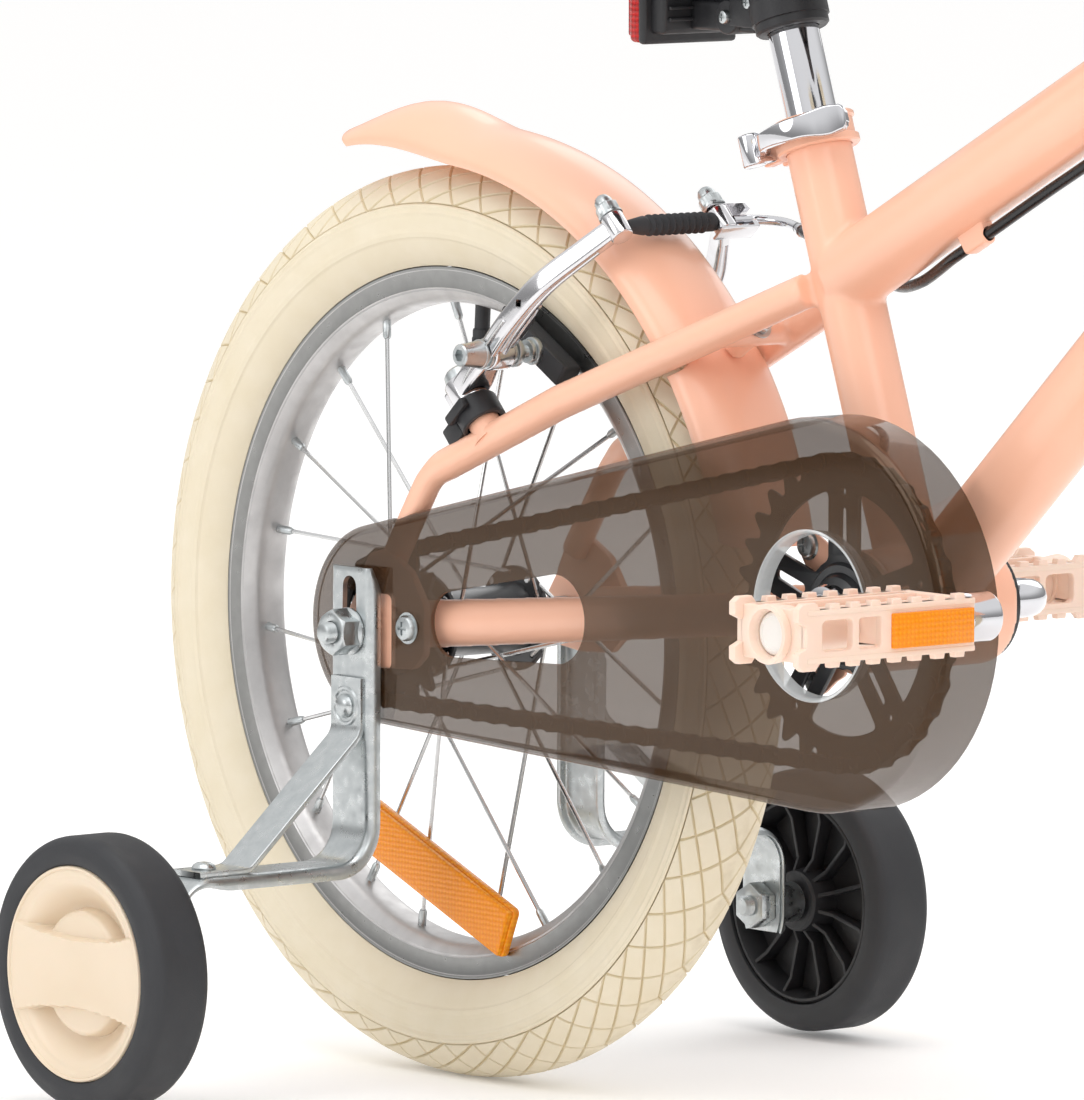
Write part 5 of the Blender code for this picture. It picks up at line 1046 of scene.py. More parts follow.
def addWheelReflector():
    long, high, deep = wheelReflector["length"], wheelReflector["height"], wheelReflector["depth"]
    low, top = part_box(wheelReflector["node"])
    middle = (low + top) / 2
    outline = rounded(
        [(-long / 2, -high / 2), (long / 2, -high / 2), (long / 2, high / 2), (-long / 2, high / 2)],
        2.5 * mm,
    )
    tray = plate([outline], deep * 0.6, 0.8 * mm)
    place(tray, Matrix.Translation((0, deep * 0.2, 0)))
    face = box((long - 2 * mm, deep * 0.5, high - 2 * mm), (0, -deep * 0.24, 0))
    activate(face)
    bpy.ops.object.mode_set(mode="EDIT")
    bpy.ops.mesh.select_all(action="DESELECT")
    bpy.ops.object.mode_set(mode="OBJECT")
    for side in face.data.polygons:
        side.select = side.normal.y < -0.9
    bpy.ops.object.mode_set(mode="EDIT")
    bpy.ops.mesh.inset(thickness=2.2 * mm)  # the bright bevelled border round the prism field
    bpy.ops.transform.translate(value=(0, -0.25 * mm, 0))
    bpy.ops.object.mode_set(mode="OBJECT")
    soften(face, 0.5 * mm, 2)
    clips = [box((9 * mm, 4 * mm, 7 * mm), (x, deep * 0.42, 0), 0.8 * mm) for x in (-34 * mm, 34 * mm)]
    matrix = Matrix.Translation(middle) @ Matrix.Rotation(wheelReflector["turn"], 4, "Y")
    keep(
        join([tray, face] + clips), "wheelReflectorLens", "rear_wheel", "amberPrism",
        [wheelReflector["node"]], matrix=matrix,
    )


addTyres()
addWheel("rear", "rear_wheel", rearFrame, 45.5 * mm, 15 * mm)
addWheel("front", "front_wheel", frontFrame, 30 * mm, 12 * mm)
addWheelReflector()
print("stage: wheels")

# Frame: tubes fused by a fine voxel skin, so the welds run out in fillets


def onSeat(distance):
    tilt = layout["seatTilt"]
    return layout["bracket"] + Vector((math.sin(tilt), 0, math.cos(tilt))) * distance


def onHead(distance, ahead=0.0):
    tilt = layout["steerTilt"]
    up = Vector((math.sin(tilt), 0, math.cos(tilt)))
    return layout["steerFoot"] + up * distance + Vector((up.z, 0, -up.x)) * ahead


weldment = {
    "headRadius": 18.2 * mm, "topRadius": 16.5 * mm, "downRadius": 17.5 * mm, "seatRadius": 14.3 * mm,
    "stayRadius": 7.8 * mm, "stayEnd": 6.3 * mm, "shellRadius": 26.2 * mm, "shellHalf": 34 * mm,
    "topOnSeat": 0.146, "topOnHead": 0.377, "downOnHead": 0.338, "seatTube": 0.2165,
    "bridgeHalf": 0.025, "guardBoss": 0.2228, "seatBore": 11.5 * mm, "headBore": 15.0 * mm,
    "shellBore": 22.8 * mm,
    "stay": [(0.009, 0.05255, 0.028), (0.038, 0.05255, 0.072), (0.110, 0.040, 0.107), (0.245, 0.014, 0.163)],
    "chainstay": [(0.030, 0.051, 0.0045), (0.3015, 0.020, 0.0305)],
    "bossFoot": Vector((0.0725, 0.0462, 0.0885)),
    "bossRadius": 7.2 * mm, "bossLength": 20.5 * mm, "armTilt": math.radians(43),
    "bridge": Vector((0.191, 0, 0.1406)),
    "voxel": 1.6 * mm,
    "dropout": [
        (-13, -7), (-13, 8), (-6, 18), (1, 34), (13, 37), (30, 28), (40, 14), (40, -8), (32, -15),
        (10, -16), (-6, -14),
    ],
    "screw": (0.0317, 0.0034), "guideAlong": 0.084, "cableDrop": 21.3 * mm,
}


def stayTube(side, clear=0.0):
    route = arcPath([(x, y * side, z) for x, y, z in weldment["stay"]], 0.030, 6)
    thin = (weldment["stayEnd"] + clear) / (weldment["stayRadius"] + clear)
    sizes = [thin if k < 5 else 1.0 for k in range(len(route))]
    for k in range(3):
        sizes[5 + k] = thin + (1 - thin) * (k + 1) / 4
    return tube(route, weldment["stayRadius"] + clear, sizes, 5)


def fuse(pieces, voxel, rounds=6):
    fused = join(pieces)
    modify(fused, "REMESH", mode="VOXEL", voxel_size=voxel, adaptivity=0.0, use_smooth_shade=True)
    return modify(fused, "SMOOTH", factor=0.5, iterations=rounds)


def underTopTube(distance, drop):
    start = onSeat(weldment["topOnSeat"])
    run = (onHead(layout["forkLength"] + 0.0674) - start).normalized()
    return start + run * distance + Vector((run.z, 0, -run.x)) * drop, run


def addFrame():
    head = onHead(layout["forkLength"] + 0.2 * mm)
    top = onHead(layout["forkLength"] + layout["headTube"] - 0.2 * mm)
    bracket = layout["bracket"]
    half = Vector((0, weldment["shellHalf"], 0))
    bridge, across = weldment["bridge"], Vector((0, weldment["bridgeHalf"], 0))
    seatTop = onSeat(weldment["seatTube"])
    tubes = [
        rod(head, top, weldment["headRadius"], sides=64),
        rod(onSeat(weldment["topOnSeat"]), onHead(weldment["topOnHead"]), weldment["topRadius"], sides=64),
        rod(bracket, onHead(weldment["downOnHead"]), weldment["downRadius"], sides=64),
        rod(bracket, seatTop, weldment["seatRadius"], sides=64),
        rod(bracket - half, bracket + half, weldment["shellRadius"], sides=72),
        rod(bridge - across, bridge + across, 6 * mm, sides=32),
        rod(bridge.normalized() * weldment["guardBoss"], bridge, 5 * mm, sides=32),
    ]
    for side in sides.values():
        start, end = [Vector((x, y * side, z)) for x, y, z in weldment["chainstay"]]
        bar = rod((0, 0, 0), (0, 0, (end - start).length), 10.8 * mm, 9 * mm, sides=48)
        activate(bar)
        bpy.ops.object.mode_set(mode="EDIT")
        bpy.ops.mesh.select_all(action="SELECT")
        bpy.ops.transform.resize(value=(1, 0.55, 1))  # rolled to an oval to clear the chain
        bpy.ops.object.mode_set(mode="OBJECT")
        along = (end - start).normalized()
        flat = Vector((0, 1, 0)).cross(along).normalized()
        aim = Matrix((flat, along.cross(flat), along)).transposed().to_4x4()
        place(bar, Matrix.Translation(start) @ aim)
        nose = box((14 * mm, 8 * mm, 15 * mm), (0.034, side * 0.0515, 0.0045), 3 * mm, 3)
        tubes += [bar, stayTube(side), nose]
    skin = fuse(tubes, weldment["voxel"])
    bores = [
        rod(onSeat(0.117), onSeat(weldment["seatTube"] + 10 * mm), weldment["seatBore"], sides=40),
        rod(onHead(0.30), onHead(0.42), weldment["headBore"], sides=48),
        rod(bracket - half * 1.2, bracket + half * 1.2, weldment["shellBore"], sides=56),
    ]
    carve(skin, bores)
    keep(skin, "frameTubes", "chassis", "peachPowderCoat", ["frame"], 50, rearFrame)
    lugs = []
    tilt = weldment["armTilt"]
    pivotLine = Vector((-math.sin(tilt), 0, math.cos(tilt)))
    for side in sides.values():
        outline = rounded([(x * mm, z * mm) for x, z in weldment["dropout"]], 5 * mm, 4)
        lug = plate(
            [outline, circle((0, 0), 5.1 * mm, 24), circle(weldment["screw"], 2.8 * mm, 16)], 4 * mm,
            0.5 * mm,
        )
        lugs.append(place(lug, Matrix.Translation((0, side * 57 * mm, 0))))
        foot = weldment["bossFoot"].copy()
        foot.y *= side
        face = foot + pivotLine * weldment["bossLength"]
        radius = weldment["bossRadius"]
        boss = [
            foot, foot + pivotLine * 4 * mm, face - pivotLine * 4 * mm, face - pivotLine * 2.2 * mm,
            face - pivotLine * 1.9 * mm, face,
        ]
        lugs.append(tube(boss, radius, [1.25, 1.0, 1.0, 1.12, 1.2, 1.2], 6))
    middle, run = underTopTube(weldment["guideAlong"], weldment["cableDrop"] - 1 * mm)
    clip = plate([rounded(millimetres([(-7, -4.5), (7, -4.5), (9, 7), (-9, 7)]), 2 * mm)], 7 * mm, 1.2 * mm)
    place(clip, Matrix.Translation(middle) @ Matrix.Rotation(-math.atan2(run.z, run.x), 4, "Y"))
    low = underTopTube(weldment["guideAlong"] - 0.02, weldment["cableDrop"])[0]
    high = underTopTube(weldment["guideAlong"] + 0.02, weldment["cableDrop"])[0]
    lugs.append(carve(clip, [rod(low, high, 3.1 * mm, sides=24)]))
    keep(join(lugs), "frameLugs", "chassis", "peachPowderCoat", matrix=rearFrame)


addFrame()
print("stage: frame")

# Mudguards: pressed sheet, arched over the wheel with a rolled edge
guards = {
    "wall": 1.2 * mm,
    "rear": {
        "span": (13.0, 106.0), "ridge": [(84, 0.222), (97, 0.232), (106, 0.228)],
        "edge": [(84, 0.206), (106, 0.217)],
        "width": [(12, 50.2 * mm), (30, 54 * mm), (90, 54 * mm), (106, 57.2 * mm)],
    },
    "front": {
        "span": (50.0, 162.0), "ridge": [(0, 0.222), (180, 0.222)], "edge": [(0, 0.206), (180, 0.206)],
        "width": [(45, 47.5 * mm), (62, 54 * mm), (150, 54 * mm), (165, 47.5 * mm)],
    },
}


def fenderSheet(shape):
    sheet = gridSheet(24, 72)
    first, last = shape["span"]
    for vertex in sheet.data.vertices:
        across, along = vertex.co.y, (vertex.co.x + 1) / 2
        corner = max(0.0, abs(along - 0.5) * 2 - 0.965) / 0.035
        degrees = first + (last - first) * along
        degrees -= math.copysign(1, along - 0.5) * corner * (last - first) * 0.0175 * (across * across) ** 1.6
        ridge, edge = eased(shape["ridge"], degrees), eased(shape["edge"], degrees)
        half = eased(shape["width"], degrees) / 2
        lean = math.pi / 2 * across
        reach = edge + (ridge - edge) * max(math.cos(lean), 0) ** 0.9
        roll = max(0.0, abs(across) - 0.93) / 0.07
        angle = math.radians(degrees)
        vertex.co = (
            (reach - 0.4 * mm * roll) * math.cos(angle), (half - 0.5 * mm * roll * roll) * math.sin(lean),
            (reach - 0.4 * mm * roll) * math.sin(angle),
        )
    weld(sheet)
    probe = sheet.data.polygons[len(sheet.data.polygons) // 2]
    if probe.normal.dot(probe.center) < 0:
        sheet.data.flip_normals()
    modify(sheet, "SOLIDIFY", thickness=guards["wall"], offset=-1, use_even_offset=False)
    return modify(
        sheet, "BEVEL", width=0.35 * mm, segments=2, limit_method="ANGLE", angle_limit=math.radians(60)
    )


def addFenders():
    rear = fenderSheet(guards["rear"])
    carve(rear, [stayTube(side, 1.5 * mm) for side in sides.values()])
    keep(rear, "rearMudguard", "chassis", "peachPowderCoat", ["rear_fender"], 40, rearFrame)
    front = fenderSheet(guards["front"])
    matrix = steerFrame @ Matrix.Translation((layout["rake"], 0, 0)) @ Matrix.Rotation(
        math.radians(20), 4, "Y"
    )
    keep(front, "frontMudguard", "steering", "peachPowderCoat", ["front_fender"], 40, matrix)
    bridge = weldment["bridge"]
    out = bridge.normalized()
    bolt = join([
        rod(bridge + out * 5.4 * mm, bridge + out * 6.4 * mm, 6.4 * mm, sides=28, edge=0.2 * mm),
        hexHead(bridge + out * 6.4 * mm, out, 9 * mm, 4.2 * mm),
    ])
    keep(bolt, "mudguardBolt", "chassis", "zincPlate", matrix=rearFrame)


addFenders()
print("stage: mudguards")

# Chain drive
drive = {
    "pitch": 12.7 * mm, "ringTeeth": 32, "sprocketTeeth": 16, "line": 42 * mm, "thick": 2.4 * mm,
    "roller": 3.8 * mm, "tooth": 3.7 * mm, "plateHeight": 7.6 * mm, "plate": 1.0 * mm, "gap": 4.6 * mm,
}


def pitchRadius(teeth):
    return drive["pitch"] / (2 * math.sin(math.pi / teeth))


def toothed(teeth, phase=0.0):
    radius, turn = pitchRadius(teeth), 2 * math.pi / teeth
    root, tip = radius - drive["roller"], radius + drive["tooth"]
    shape = [
        (-0.5, root), (-0.36, root + 0.5 * mm), (-0.27, radius - 0.8 * mm), (-0.17, radius + 1.6 * mm),
        (-0.08, tip), (0.08, tip), (0.17, radius + 1.6 * mm), (0.27, radius - 0.8 * mm),
        (0.36, root + 0.5 * mm),
    ]
    return [
        (reach * math.cos(phase + (k + share) * turn), reach * math.sin(phase + (k + share) * turn))
        for k in range(teeth) for share, reach in shape
    ]


def ringWindow(middle, inner, outer, narrow, wide):
    corners = []
    for k in range(9):
        angle = middle + wide * (k / 4 - 1)
        corners.append((outer * math.cos(angle), outer * math.sin(angle)))
    for k in range(3):
        angle = middle + narrow * (1 - k)
        corners.append((inner * math.cos(angle), inner * math.sin(angle)))
    return rounded(corners, 3.5 * mm, 4)


def addChainring():
    inside = pitchRadius(drive["ringTeeth"]) - 12.5 * mm
    outlines = [toothed(drive["ringTeeth"])]
    for k in range(5):
        middle = math.radians(126 + 72 * k)
        outlines.append(ringWindow(middle, 24 * mm, inside, math.radians(13), math.radians(25.5)))
        arm = middle - math.pi / 5
        slot = Vector((math.cos(arm), math.sin(arm)))
        outlines.append(belt(slot * 28 * mm, 2.3 * mm, slot * (inside - 9 * mm), 2.0 * mm, 6))
        outlines.append(circle(slot * (inside - 0.5 * mm), 1.7 * mm, 16))
    outlines.append(circle((0, 0), 14.4 * mm, 32))
    ring = plate(outlines, drive["thick"], 0.35 * mm, 1)
    lip = lathe(millimetres([(16, -1.1), (22, -1.1), (20.5, -2.6), (17.5, -2.6)]), 40)
    matrix = bracketFrame @ Matrix.Translation((0, -drive["line"], 0))
    keep(
        join([ring, lip]), "chainringPlate", "crankset", "blackCoatedSteel", ["chainring"],
        30, matrix,
    )


def addSprocket():
    teeth = plate(
        [toothed(drive["sprocketTeeth"]), circle((0, 0), 18 * mm, 40)], drive["thick"], 0.35 * mm, 1
    )
    body = lathe(
        millimetres([(12.6, -2.4), (20.6, -2.4), (21.4, -1.6), (21.4, 9.2), (20.6, 10), (12.6, 10)]), 56
    )
    notches = [
        box((5 * mm, 3 * mm, 3 * mm), (14.4 * mm * math.cos(a), -3 * mm, 14.4 * mm * math.sin(a)), 0)
        for a in (0, math.pi / 2, math.pi, 1.5 * math.pi)
    ]
    carve(body, [join(notches)])
    matrix = rearFrame @ Matrix.Translation((0, -drive["line"], 0))
    keep(
        join([teeth, body]), "freewheelSprocket", "freewheel", "blackCoatedSteel",
        ["rear_sprocket"], 30, matrix,
    )


def chainLoop():
    # The pitch line: two arcs and two straight runs, as places at even steps
    rear, front = pitchRadius(drive["sprocketTeeth"]), pitchRadius(drive["ringTeeth"])
    run = Vector((layout["bracket"].x, layout["bracket"].z))
    slope, lean = math.atan2(run.y, run.x), math.acos((rear - front) / run.length)
    path = [
        run + Vector((math.cos(a), math.sin(a))) * front
        for a in [slope - lean + 2 * lean * k / 60 for k in range(61)]
    ]
    path += [
        Vector((math.cos(a), math.sin(a))) * rear
        for a in [slope + lean + 2 * (math.pi - lean) * k / 40 for k in range(41)]
    ]
    path.append(path[0])
    lengths = [0.0]
    for a, b in zip(path, path[1:]):
        lengths.append(lengths[-1] + (b - a).length)
    count = 2 * round(lengths[-1] / drive["pitch"] / 2)
    places, k = [], 0
    for n in range(count):
        target = lengths[-1] * n / count
        while lengths[k + 1] < target:
            k += 1
        places.append(path[k].lerp(path[k + 1], (target - lengths[k]) / (lengths[k + 1] - lengths[k])))
    return places


def addChain():
    pitch, tall, thick, gap = drive["pitch"], drive["plateHeight"] / 2, drive["plate"], drive["gap"]
    outline = []
    for end in (1, -1):
        for k in range(7):
            angle = math.radians(-75 + 25 * k) + (0 if end > 0 else math.pi)
            outline.append((end * pitch / 2 + tall * math.cos(angle), tall * math.sin(angle)))
        outline.append((0, end * tall * 0.74))
    outerPlate = plate([outline], thick, 0.2 * mm, 1)
    outer = join(
        [twin(outerPlate, Matrix.Translation((0, way * (gap / 2 + 1.5 * thick), 0))) for way in (-1, 1)]
    )
    pins = [
        rod(
            (end * pitch / 2, -gap / 2 - 2.3 * thick, 0), (end * pitch / 2, gap / 2 + 2.3 * thick, 0),
            1.9 * mm, sides=10,
        )
        for end in (-1, 1)
    ]
    outer = join([outer] + pins)
    inner = join(
        [twin(outerPlate, Matrix.Translation((0, way * (gap / 2 + 0.5 * thick), 0))) for way in (-1, 1)]
    )
    rollers = [
        rod((end * pitch / 2, -gap / 2, 0), (end * pitch / 2, gap / 2, 0), drive["roller"], sides=14)
        for end in (-1, 1)
    ]
    inner = join([inner] + rollers)
    bpy.data.objects.remove(outerPlate, do_unlink=True)
    places, links = chainLoop(), []
    for k, here in enumerate(places):
        ahead = places[(k + 1) % len(places)]
        run = ahead - here
        middle = (here + ahead) / 2
        matrix = Matrix.Translation((middle.x, 0, middle.y)) @ Matrix.Rotation(
            -math.atan2(run.y, run.x), 4, "Y"
        )
        links.append(twin(outer if k % 2 else inner, matrix))
    for spare in (outer, inner):
        bpy.data.objects.remove(spare, do_unlink=True)
    matrix = rearFrame @ Matrix.Translation((0, -drive["line"], 0))
    keep(join(links), "rollerChain", "chassis", "oiledChainSteel", ["chain"], 30, matrix)


addChainring()
addSprocket()
addChain()
print("stage: chain drive")

# Chain case: smoked sheet, open at the back, screwed to the frame
case = {
    "outer": 61.3 * mm, "inner": 59.3 * mm, "wall": 2 * mm, "depth": 32 * mm, "rearDepth": 4.2 * mm,
    "edge": 4.5 * mm, "rear": (6 * mm, 3 * mm), "rearRadius": 44 * mm, "frontRadius": 84 * mm,
    "hole": 36.5 * mm, "collarDepth": 7 * mm,
    "slot": ((62.5 * mm, 7.5 * mm), 14.5 * mm, (133.5 * mm, 15.5 * mm), 19.5 * mm),
}


def caseOutline(inset):
    return belt(
        case["rear"], case["rearRadius"] - inset, layout["bracket"].xz, case["frontRadius"] - inset, 40
    )


def addChainCase():
    deep = case["depth"] + 20 * mm
    shell = place(
        plate([caseOutline(0)], deep, case["edge"], 5),
        Matrix.Translation((0, deep / 2 - case["outer"], 0)),
    )
    hollow = place(
        plate([caseOutline(case["wall"])], deep, case["edge"] - case["wall"], 5),
        Matrix.Translation((0, deep / 2 - case["inner"], 0)),
    )
    rearX = case["rear"][0] - case["rearRadius"]
    frontX = layout["bracket"].x + case["frontRadius"]
    slope = math.atan2(case["depth"] - case["rearDepth"], frontX - rearX)
    long = (frontX - rearX) * 1.4
    wedge = box((long, 0.1, 0.3), (long * 0.4, 0.05, 0))
    place(
        wedge,
        Matrix.Translation((rearX, case["rearDepth"] - case["outer"], 0)) @ Matrix.Rotation(
            slope, 4, "Z"
        ),
    )
    face = Matrix.Translation((0, -case["outer"], 0))
    window = rounded(millimetres([(-20.4, -15.8), (20.4, -15.8), (20.4, 17.2), (-20.4, 17.2)]), 3 * mm)
    through = [
        [circle(layout["bracket"].xz, case["hole"], 72)],
        [belt(*case["slot"], 24)],
        [window],
        [circle(weldment["screw"], 2.8 * mm, 20)],
    ]
    cutters = [hollow, wedge] + [place(plate(each, 20 * mm), face) for each in through] + [
        stayTube(-1, 1.2 * mm)
    ]
    carve(shell, cutters)
    soften(shell, 0.3 * mm, 1, 60)
    hole, wall, deepCollar = case["hole"], 1.6 * mm, case["collarDepth"]
    collar = lathe(
        [
            (hole + 0.2 * mm, -0.2 * mm), (hole - 0.6 * mm, -0.5 * mm), (hole - 1.4 * mm, 0.2 * mm),
            (hole - wall - 0.2 * mm, 1.5 * mm), (hole - wall - 0.6 * mm, deepCollar),
            (hole - 0.6 * mm, deepCollar), (hole, 2 * mm),
        ],
        96,
    )
    place(collar, Matrix.Translation((layout["bracket"].x, -case["outer"], layout["bracket"].z)))
    keep(collar, "crankHoleCollar", "chassis", "clearAcrylic", angle=40, matrix=rearFrame)
    keep(
        shell, "chainCaseShell", "chassis", "smokedPolycarbonate", ["chain_guard"], 30,
        rearFrame,
    )
    screw = place(
        panScrew(5.8 * mm, 3.1 * mm),
        Matrix.Translation((weldment["screw"][0], -case["outer"] - 0.3 * mm, weldment["screw"][1])),
    )
    washer = lathe(millimetres([(2.6, -0.3), (7.0, -0.3), (7.0, 0), (2.6, 0)]), 32)
    place(washer, Matrix.Translation((weldment["screw"][0], -case["outer"], weldment["screw"][1])))
    shank = rod(
        (weldment["screw"][0], -61 * mm, weldment["screw"][1]),
        (weldment["screw"][0], -57.2 * mm, weldment["screw"][1]), 2.5 * mm, sides=16,
    )
    keep(
        join([screw, washer, shank]), "caseScrew", "chassis", "zincPlate", ["guard_screw"], 40,
        rearFrame,
    )


def addCaseBracket():
    # A ring under the bearing cup with two ears, and the screws that hold the case to them
    pieces, screws = [], []
    ring = plate([circle((0, 0), 26.6 * mm, 48), circle((0, 0), 22.9 * mm, 48)], 1.8 * mm, 0.3 * mm, 1)
    for angle in (math.radians(139), math.radians(232)):
        out = Vector((math.cos(angle), math.sin(angle)))
        ear = ribbon(
            [out * 23.5 * mm, out * 32 * mm, out * 40 * mm, out * 44.5 * mm, out * 46 * mm],
            [26 * mm, 18 * mm, 14 * mm, 9 * mm, 4 * mm],
        )
        pieces.append(plate([rounded(ear, 2.5 * mm, 3)], 1.7 * mm, 0.3 * mm, 1))
        x, z = out * 40 * mm
        screws.append(place(panScrew(5.4 * mm, 3.0 * mm), Matrix.Translation((x, -1.0 * mm, z))))
        screws.append(rod((x, -1.1 * mm, z), (x, -0.9 * mm, z), 6.4 * mm, sides=28))
    matrix = bracketFrame @ Matrix.Translation((0, -35.2 * mm, 0))
    keep(
        join([ring] + pieces), "caseBracketEars", "chassis", "peachPowderCoat",
        ["guard_bracket"], 30, matrix,
    )
    keep(join(screws), "caseBracketScrews", "chassis", "zincPlate", matrix=matrix)


def addCups():
    for name, side in sides.items():
        seat = 34.3 * mm + (2.1 * mm if side < 0 else 0)
        cup = lathe(
            [
                (8.9 * mm, seat + 2.8 * mm), (20 * mm, seat + 2.8 * mm), (23.6 * mm, seat + 2.6 * mm),
                (24.6 * mm, seat + 1.7 * mm), (24.6 * mm, seat), (22.4 * mm, seat), (22.4 * mm, 24 * mm),
                (8.9 * mm, 24 * mm),
            ],
            56,
        )
        notches = [
            box(
                (4 * mm, 4 * mm, 3.2 * mm),
                (17 * mm * math.cos(a), seat + 3.6 * mm, 17 * mm * math.sin(a)),
            )
            for a in [k * math.pi / 3 for k in range(6)]
        ]
        carve(cup, [join(notches)])
        if side < 0:
            place(cup, mirrorY)
        keep(
            cup, name + "BearingCup", "chassis", "blackCoatedSteel",
            ["bottom_bracket_cup_" + name], 30, bracketFrame,
        )


def threaded(start, end, radius, pitch=1.0 * mm):
    # A lathe-cut thread, drawn as rings a pitch apart
    count = int((end - start) / pitch)
    profile = [(0, start), (radius - 0.5 * mm, start)]
    for k in range(count):
        profile += [(radius, start + (k + 0.5) * pitch), (radius - 0.55 * mm, start + (k + 1) * pitch)]
    return lathe(profile + [(radius - 1.1 * mm, end + 0.4 * mm), (0, end + 0.4 * mm)], 28, closed=False)


def flangedNut(seat, side, radius=5.1 * mm):
    flange = lathe(
        [
            (radius, seat), (10.5 * mm, seat), (10.5 * mm, seat + 0.9 * mm), (9.0 * mm, seat + 2.2 * mm),
            (radius, seat + 2.4 * mm),
        ],
        48,
    )
    body = rod((0, seat + 1 * mm, 0), (0, seat + 10.5 * mm, 0), 10.4 * mm, sides=6)
    dome = lathe(
        [
            (0, seat), (12 * mm, seat), (12 * mm, seat + 7.6 * mm), (9.2 * mm, seat + 10.2 * mm),
            (8.4 * mm, seat + 10.5 * mm), (0, seat + 10.5 * mm),
        ],
        48, closed=False,
    )
    combine(body, [dome], "INTERSECT")
    carve(body, [rod((0, seat - 5 * mm, 0), (0, seat + 20 * mm, 0), radius, sides=24)])
    nut = join([flange, soften(body, 0.3 * mm, 2, 25)])
    return place(nut, mirrorY) if side < 0 else nut


def addRearAxle():
    middle = lathe(
        millimetres(
            [
                (0, -69), (4.6, -69), (4.6, -54.7), (8, -54.7), (8, -50), (7.2, -46), (4.7, -45.8),
                (4.7, 30.3), (7.2, 30.4), (8.2, 46), (8.2, 54.7), (4.6, 54.7), (4.6, 69), (0, 69),
            ]
        ),
        32, closed=False,
    )
    ends = [threaded(68.6 * mm, 83.6 * mm, 4.8 * mm)]
    ends.append(twin(ends[0], mirrorY))
    keep(
        join([middle] + ends), "rearAxleSpindle", "chassis", "zincPlate", ["rear_axle"], 40,
        rearFrame,
    )
    for name, side in sides.items():
        keep(
            flangedNut(68.9 * mm, side), name + "AxleNut", "chassis", "zincPlate",
            ["rear_axle_nut_" + name], 30, rearFrame,
        )


addChainCase()
addCaseBracket()
addCups()
addRearAxle()
print("stage: chain case and axle")

# Crank: one forged and plated bar, bent twice, with its bearing cones and the pedal spindles
crankSet = {
    "reach": 0.1146, "angle": math.radians(4.7), "bar": 8.2 * mm, "arm": 0.0712, "bend": 16 * mm,
    "eye": 10.5 * mm, "pedalStart": 0.0892, "pedalLength": 96 * mm, "pedalWidth": 44 * mm,
    "pedalHeight": 22 * mm, "wall": 4 * mm, "spindle": 5 * mm,
}


def crankEnd(side):
    reach = Vector((math.cos(crankSet["angle"]), 0, math.sin(crankSet["angle"]))) * crankSet["reach"]
    return -side * reach + Vector((0, side * crankSet["arm"], 0))


def addCrank():
    right, left = crankEnd(-1), crankEnd(1)
    knee = Vector((0, crankSet["arm"], 0))
    route = arcPath([right, -knee, knee, left], crankSet["bend"], 10)
    sizes = [1.0] * len(route)
    sizes[0] = sizes[-1] = 0.92
    pieces = [tube(route, crankSet["bar"], sizes, 8)]
    for side in sides.values():
        eye = crankEnd(side)
        half = Vector((0, 8.8 * mm, 0))
        pieces.append(rod(eye - half, eye + half, crankSet["eye"], sides=40, edge=1.6 * mm, segments=4))
        seat = side * (crankSet["arm"] + 8.8 * mm)
        profile = [
            (0, 0), (7.6 * mm, 0), (7.6 * mm, 3.5 * mm), (6.6 * mm, 4.5 * mm), (6.6 * mm, 8.2 * mm),
            (crankSet["spindle"], 8.5 * mm), (crankSet["spindle"], 40 * mm), (0, 40 * mm),
        ]
        spindle = lathe(profile, 28, closed=False)
        if side < 0:
            place(spindle, mirrorY)
        pieces.append(place(spindle, Matrix.Translation((eye.x, seat, eye.z))))
        flats = hexHead((eye.x, seat + side * 0.2 * mm, eye.z), (0, side, 0), 14 * mm, 4 * mm)
        pieces.append(flats)
    keep(join(pieces), "onePieceCrank", "crankset", "chromePlate", ["crank"], 40, bracketFrame)
    cone = lathe(
        millimetres(
            [(8.3, 39.6), (17.2, 39.6), (17.2, 44.6), (15.6, 46.8), (12.4, 48.2), (12.0, 51), (8.3, 51.4)]
        ),
        48,
    )
    keep(
        place(cone, mirrorY), "driveCone", "crankset", "blackCoatedSteel", angle=30,
        matrix=bracketFrame,
    )
    ring = lathe(
        millimetres([(8.4, 51.2), (12.6, 51.2), (12.9, 52.4), (12.0, 54.2), (9.2, 55.2), (8.4, 55.2)]), 48
    )
    keep(place(ring, mirrorY), "coneRing", "crankset", "chromePlate", angle=30, matrix=bracketFrame)
    lock = rod((0, 39.6 * mm, 0), (0, 46 * mm, 0), 15.5 * mm, sides=6, edge=0.6 * mm)
    keep(
        carve(lock, [rod((0, 30 * mm, 0), (0, 60 * mm, 0), 8.4 * mm, sides=32)]), "coneLocknut",
        "crankset", "chromePlate", angle=30, matrix=bracketFrame,
    )


def railOutline():
    # A side of the pedal cage from its inner end to its outer end, with the gripping teeth
    half, tall = crankSet["pedalLength"] / 2, crankSet["pedalHeight"] / 2
    top = []
    for middle in (-40, -29, -16.5, -5.5, 6, 17, 28):
        low, high = (middle - 2.4) * mm, (middle + 2.4) * mm
        top += [
            (low - 0.5 * mm, tall), (low, tall + 2.2 * mm), (high, tall + 2.2 * mm),
            (high + 0.5 * mm, tall),
        ]
    top += [
        (36 * mm, tall), (38.5 * mm, tall + 3.0 * mm), (45 * mm, tall + 3.0 * mm),
        (half, tall + 0.8 * mm), (half, tall - 4.5 * mm), (half - 4.5 * mm, tall - 6.5 * mm),
    ]
    low = [(x, -z) for x, z in top]
    return [(-half, tall)] + top + low[::-1] + [(-half, -tall)]


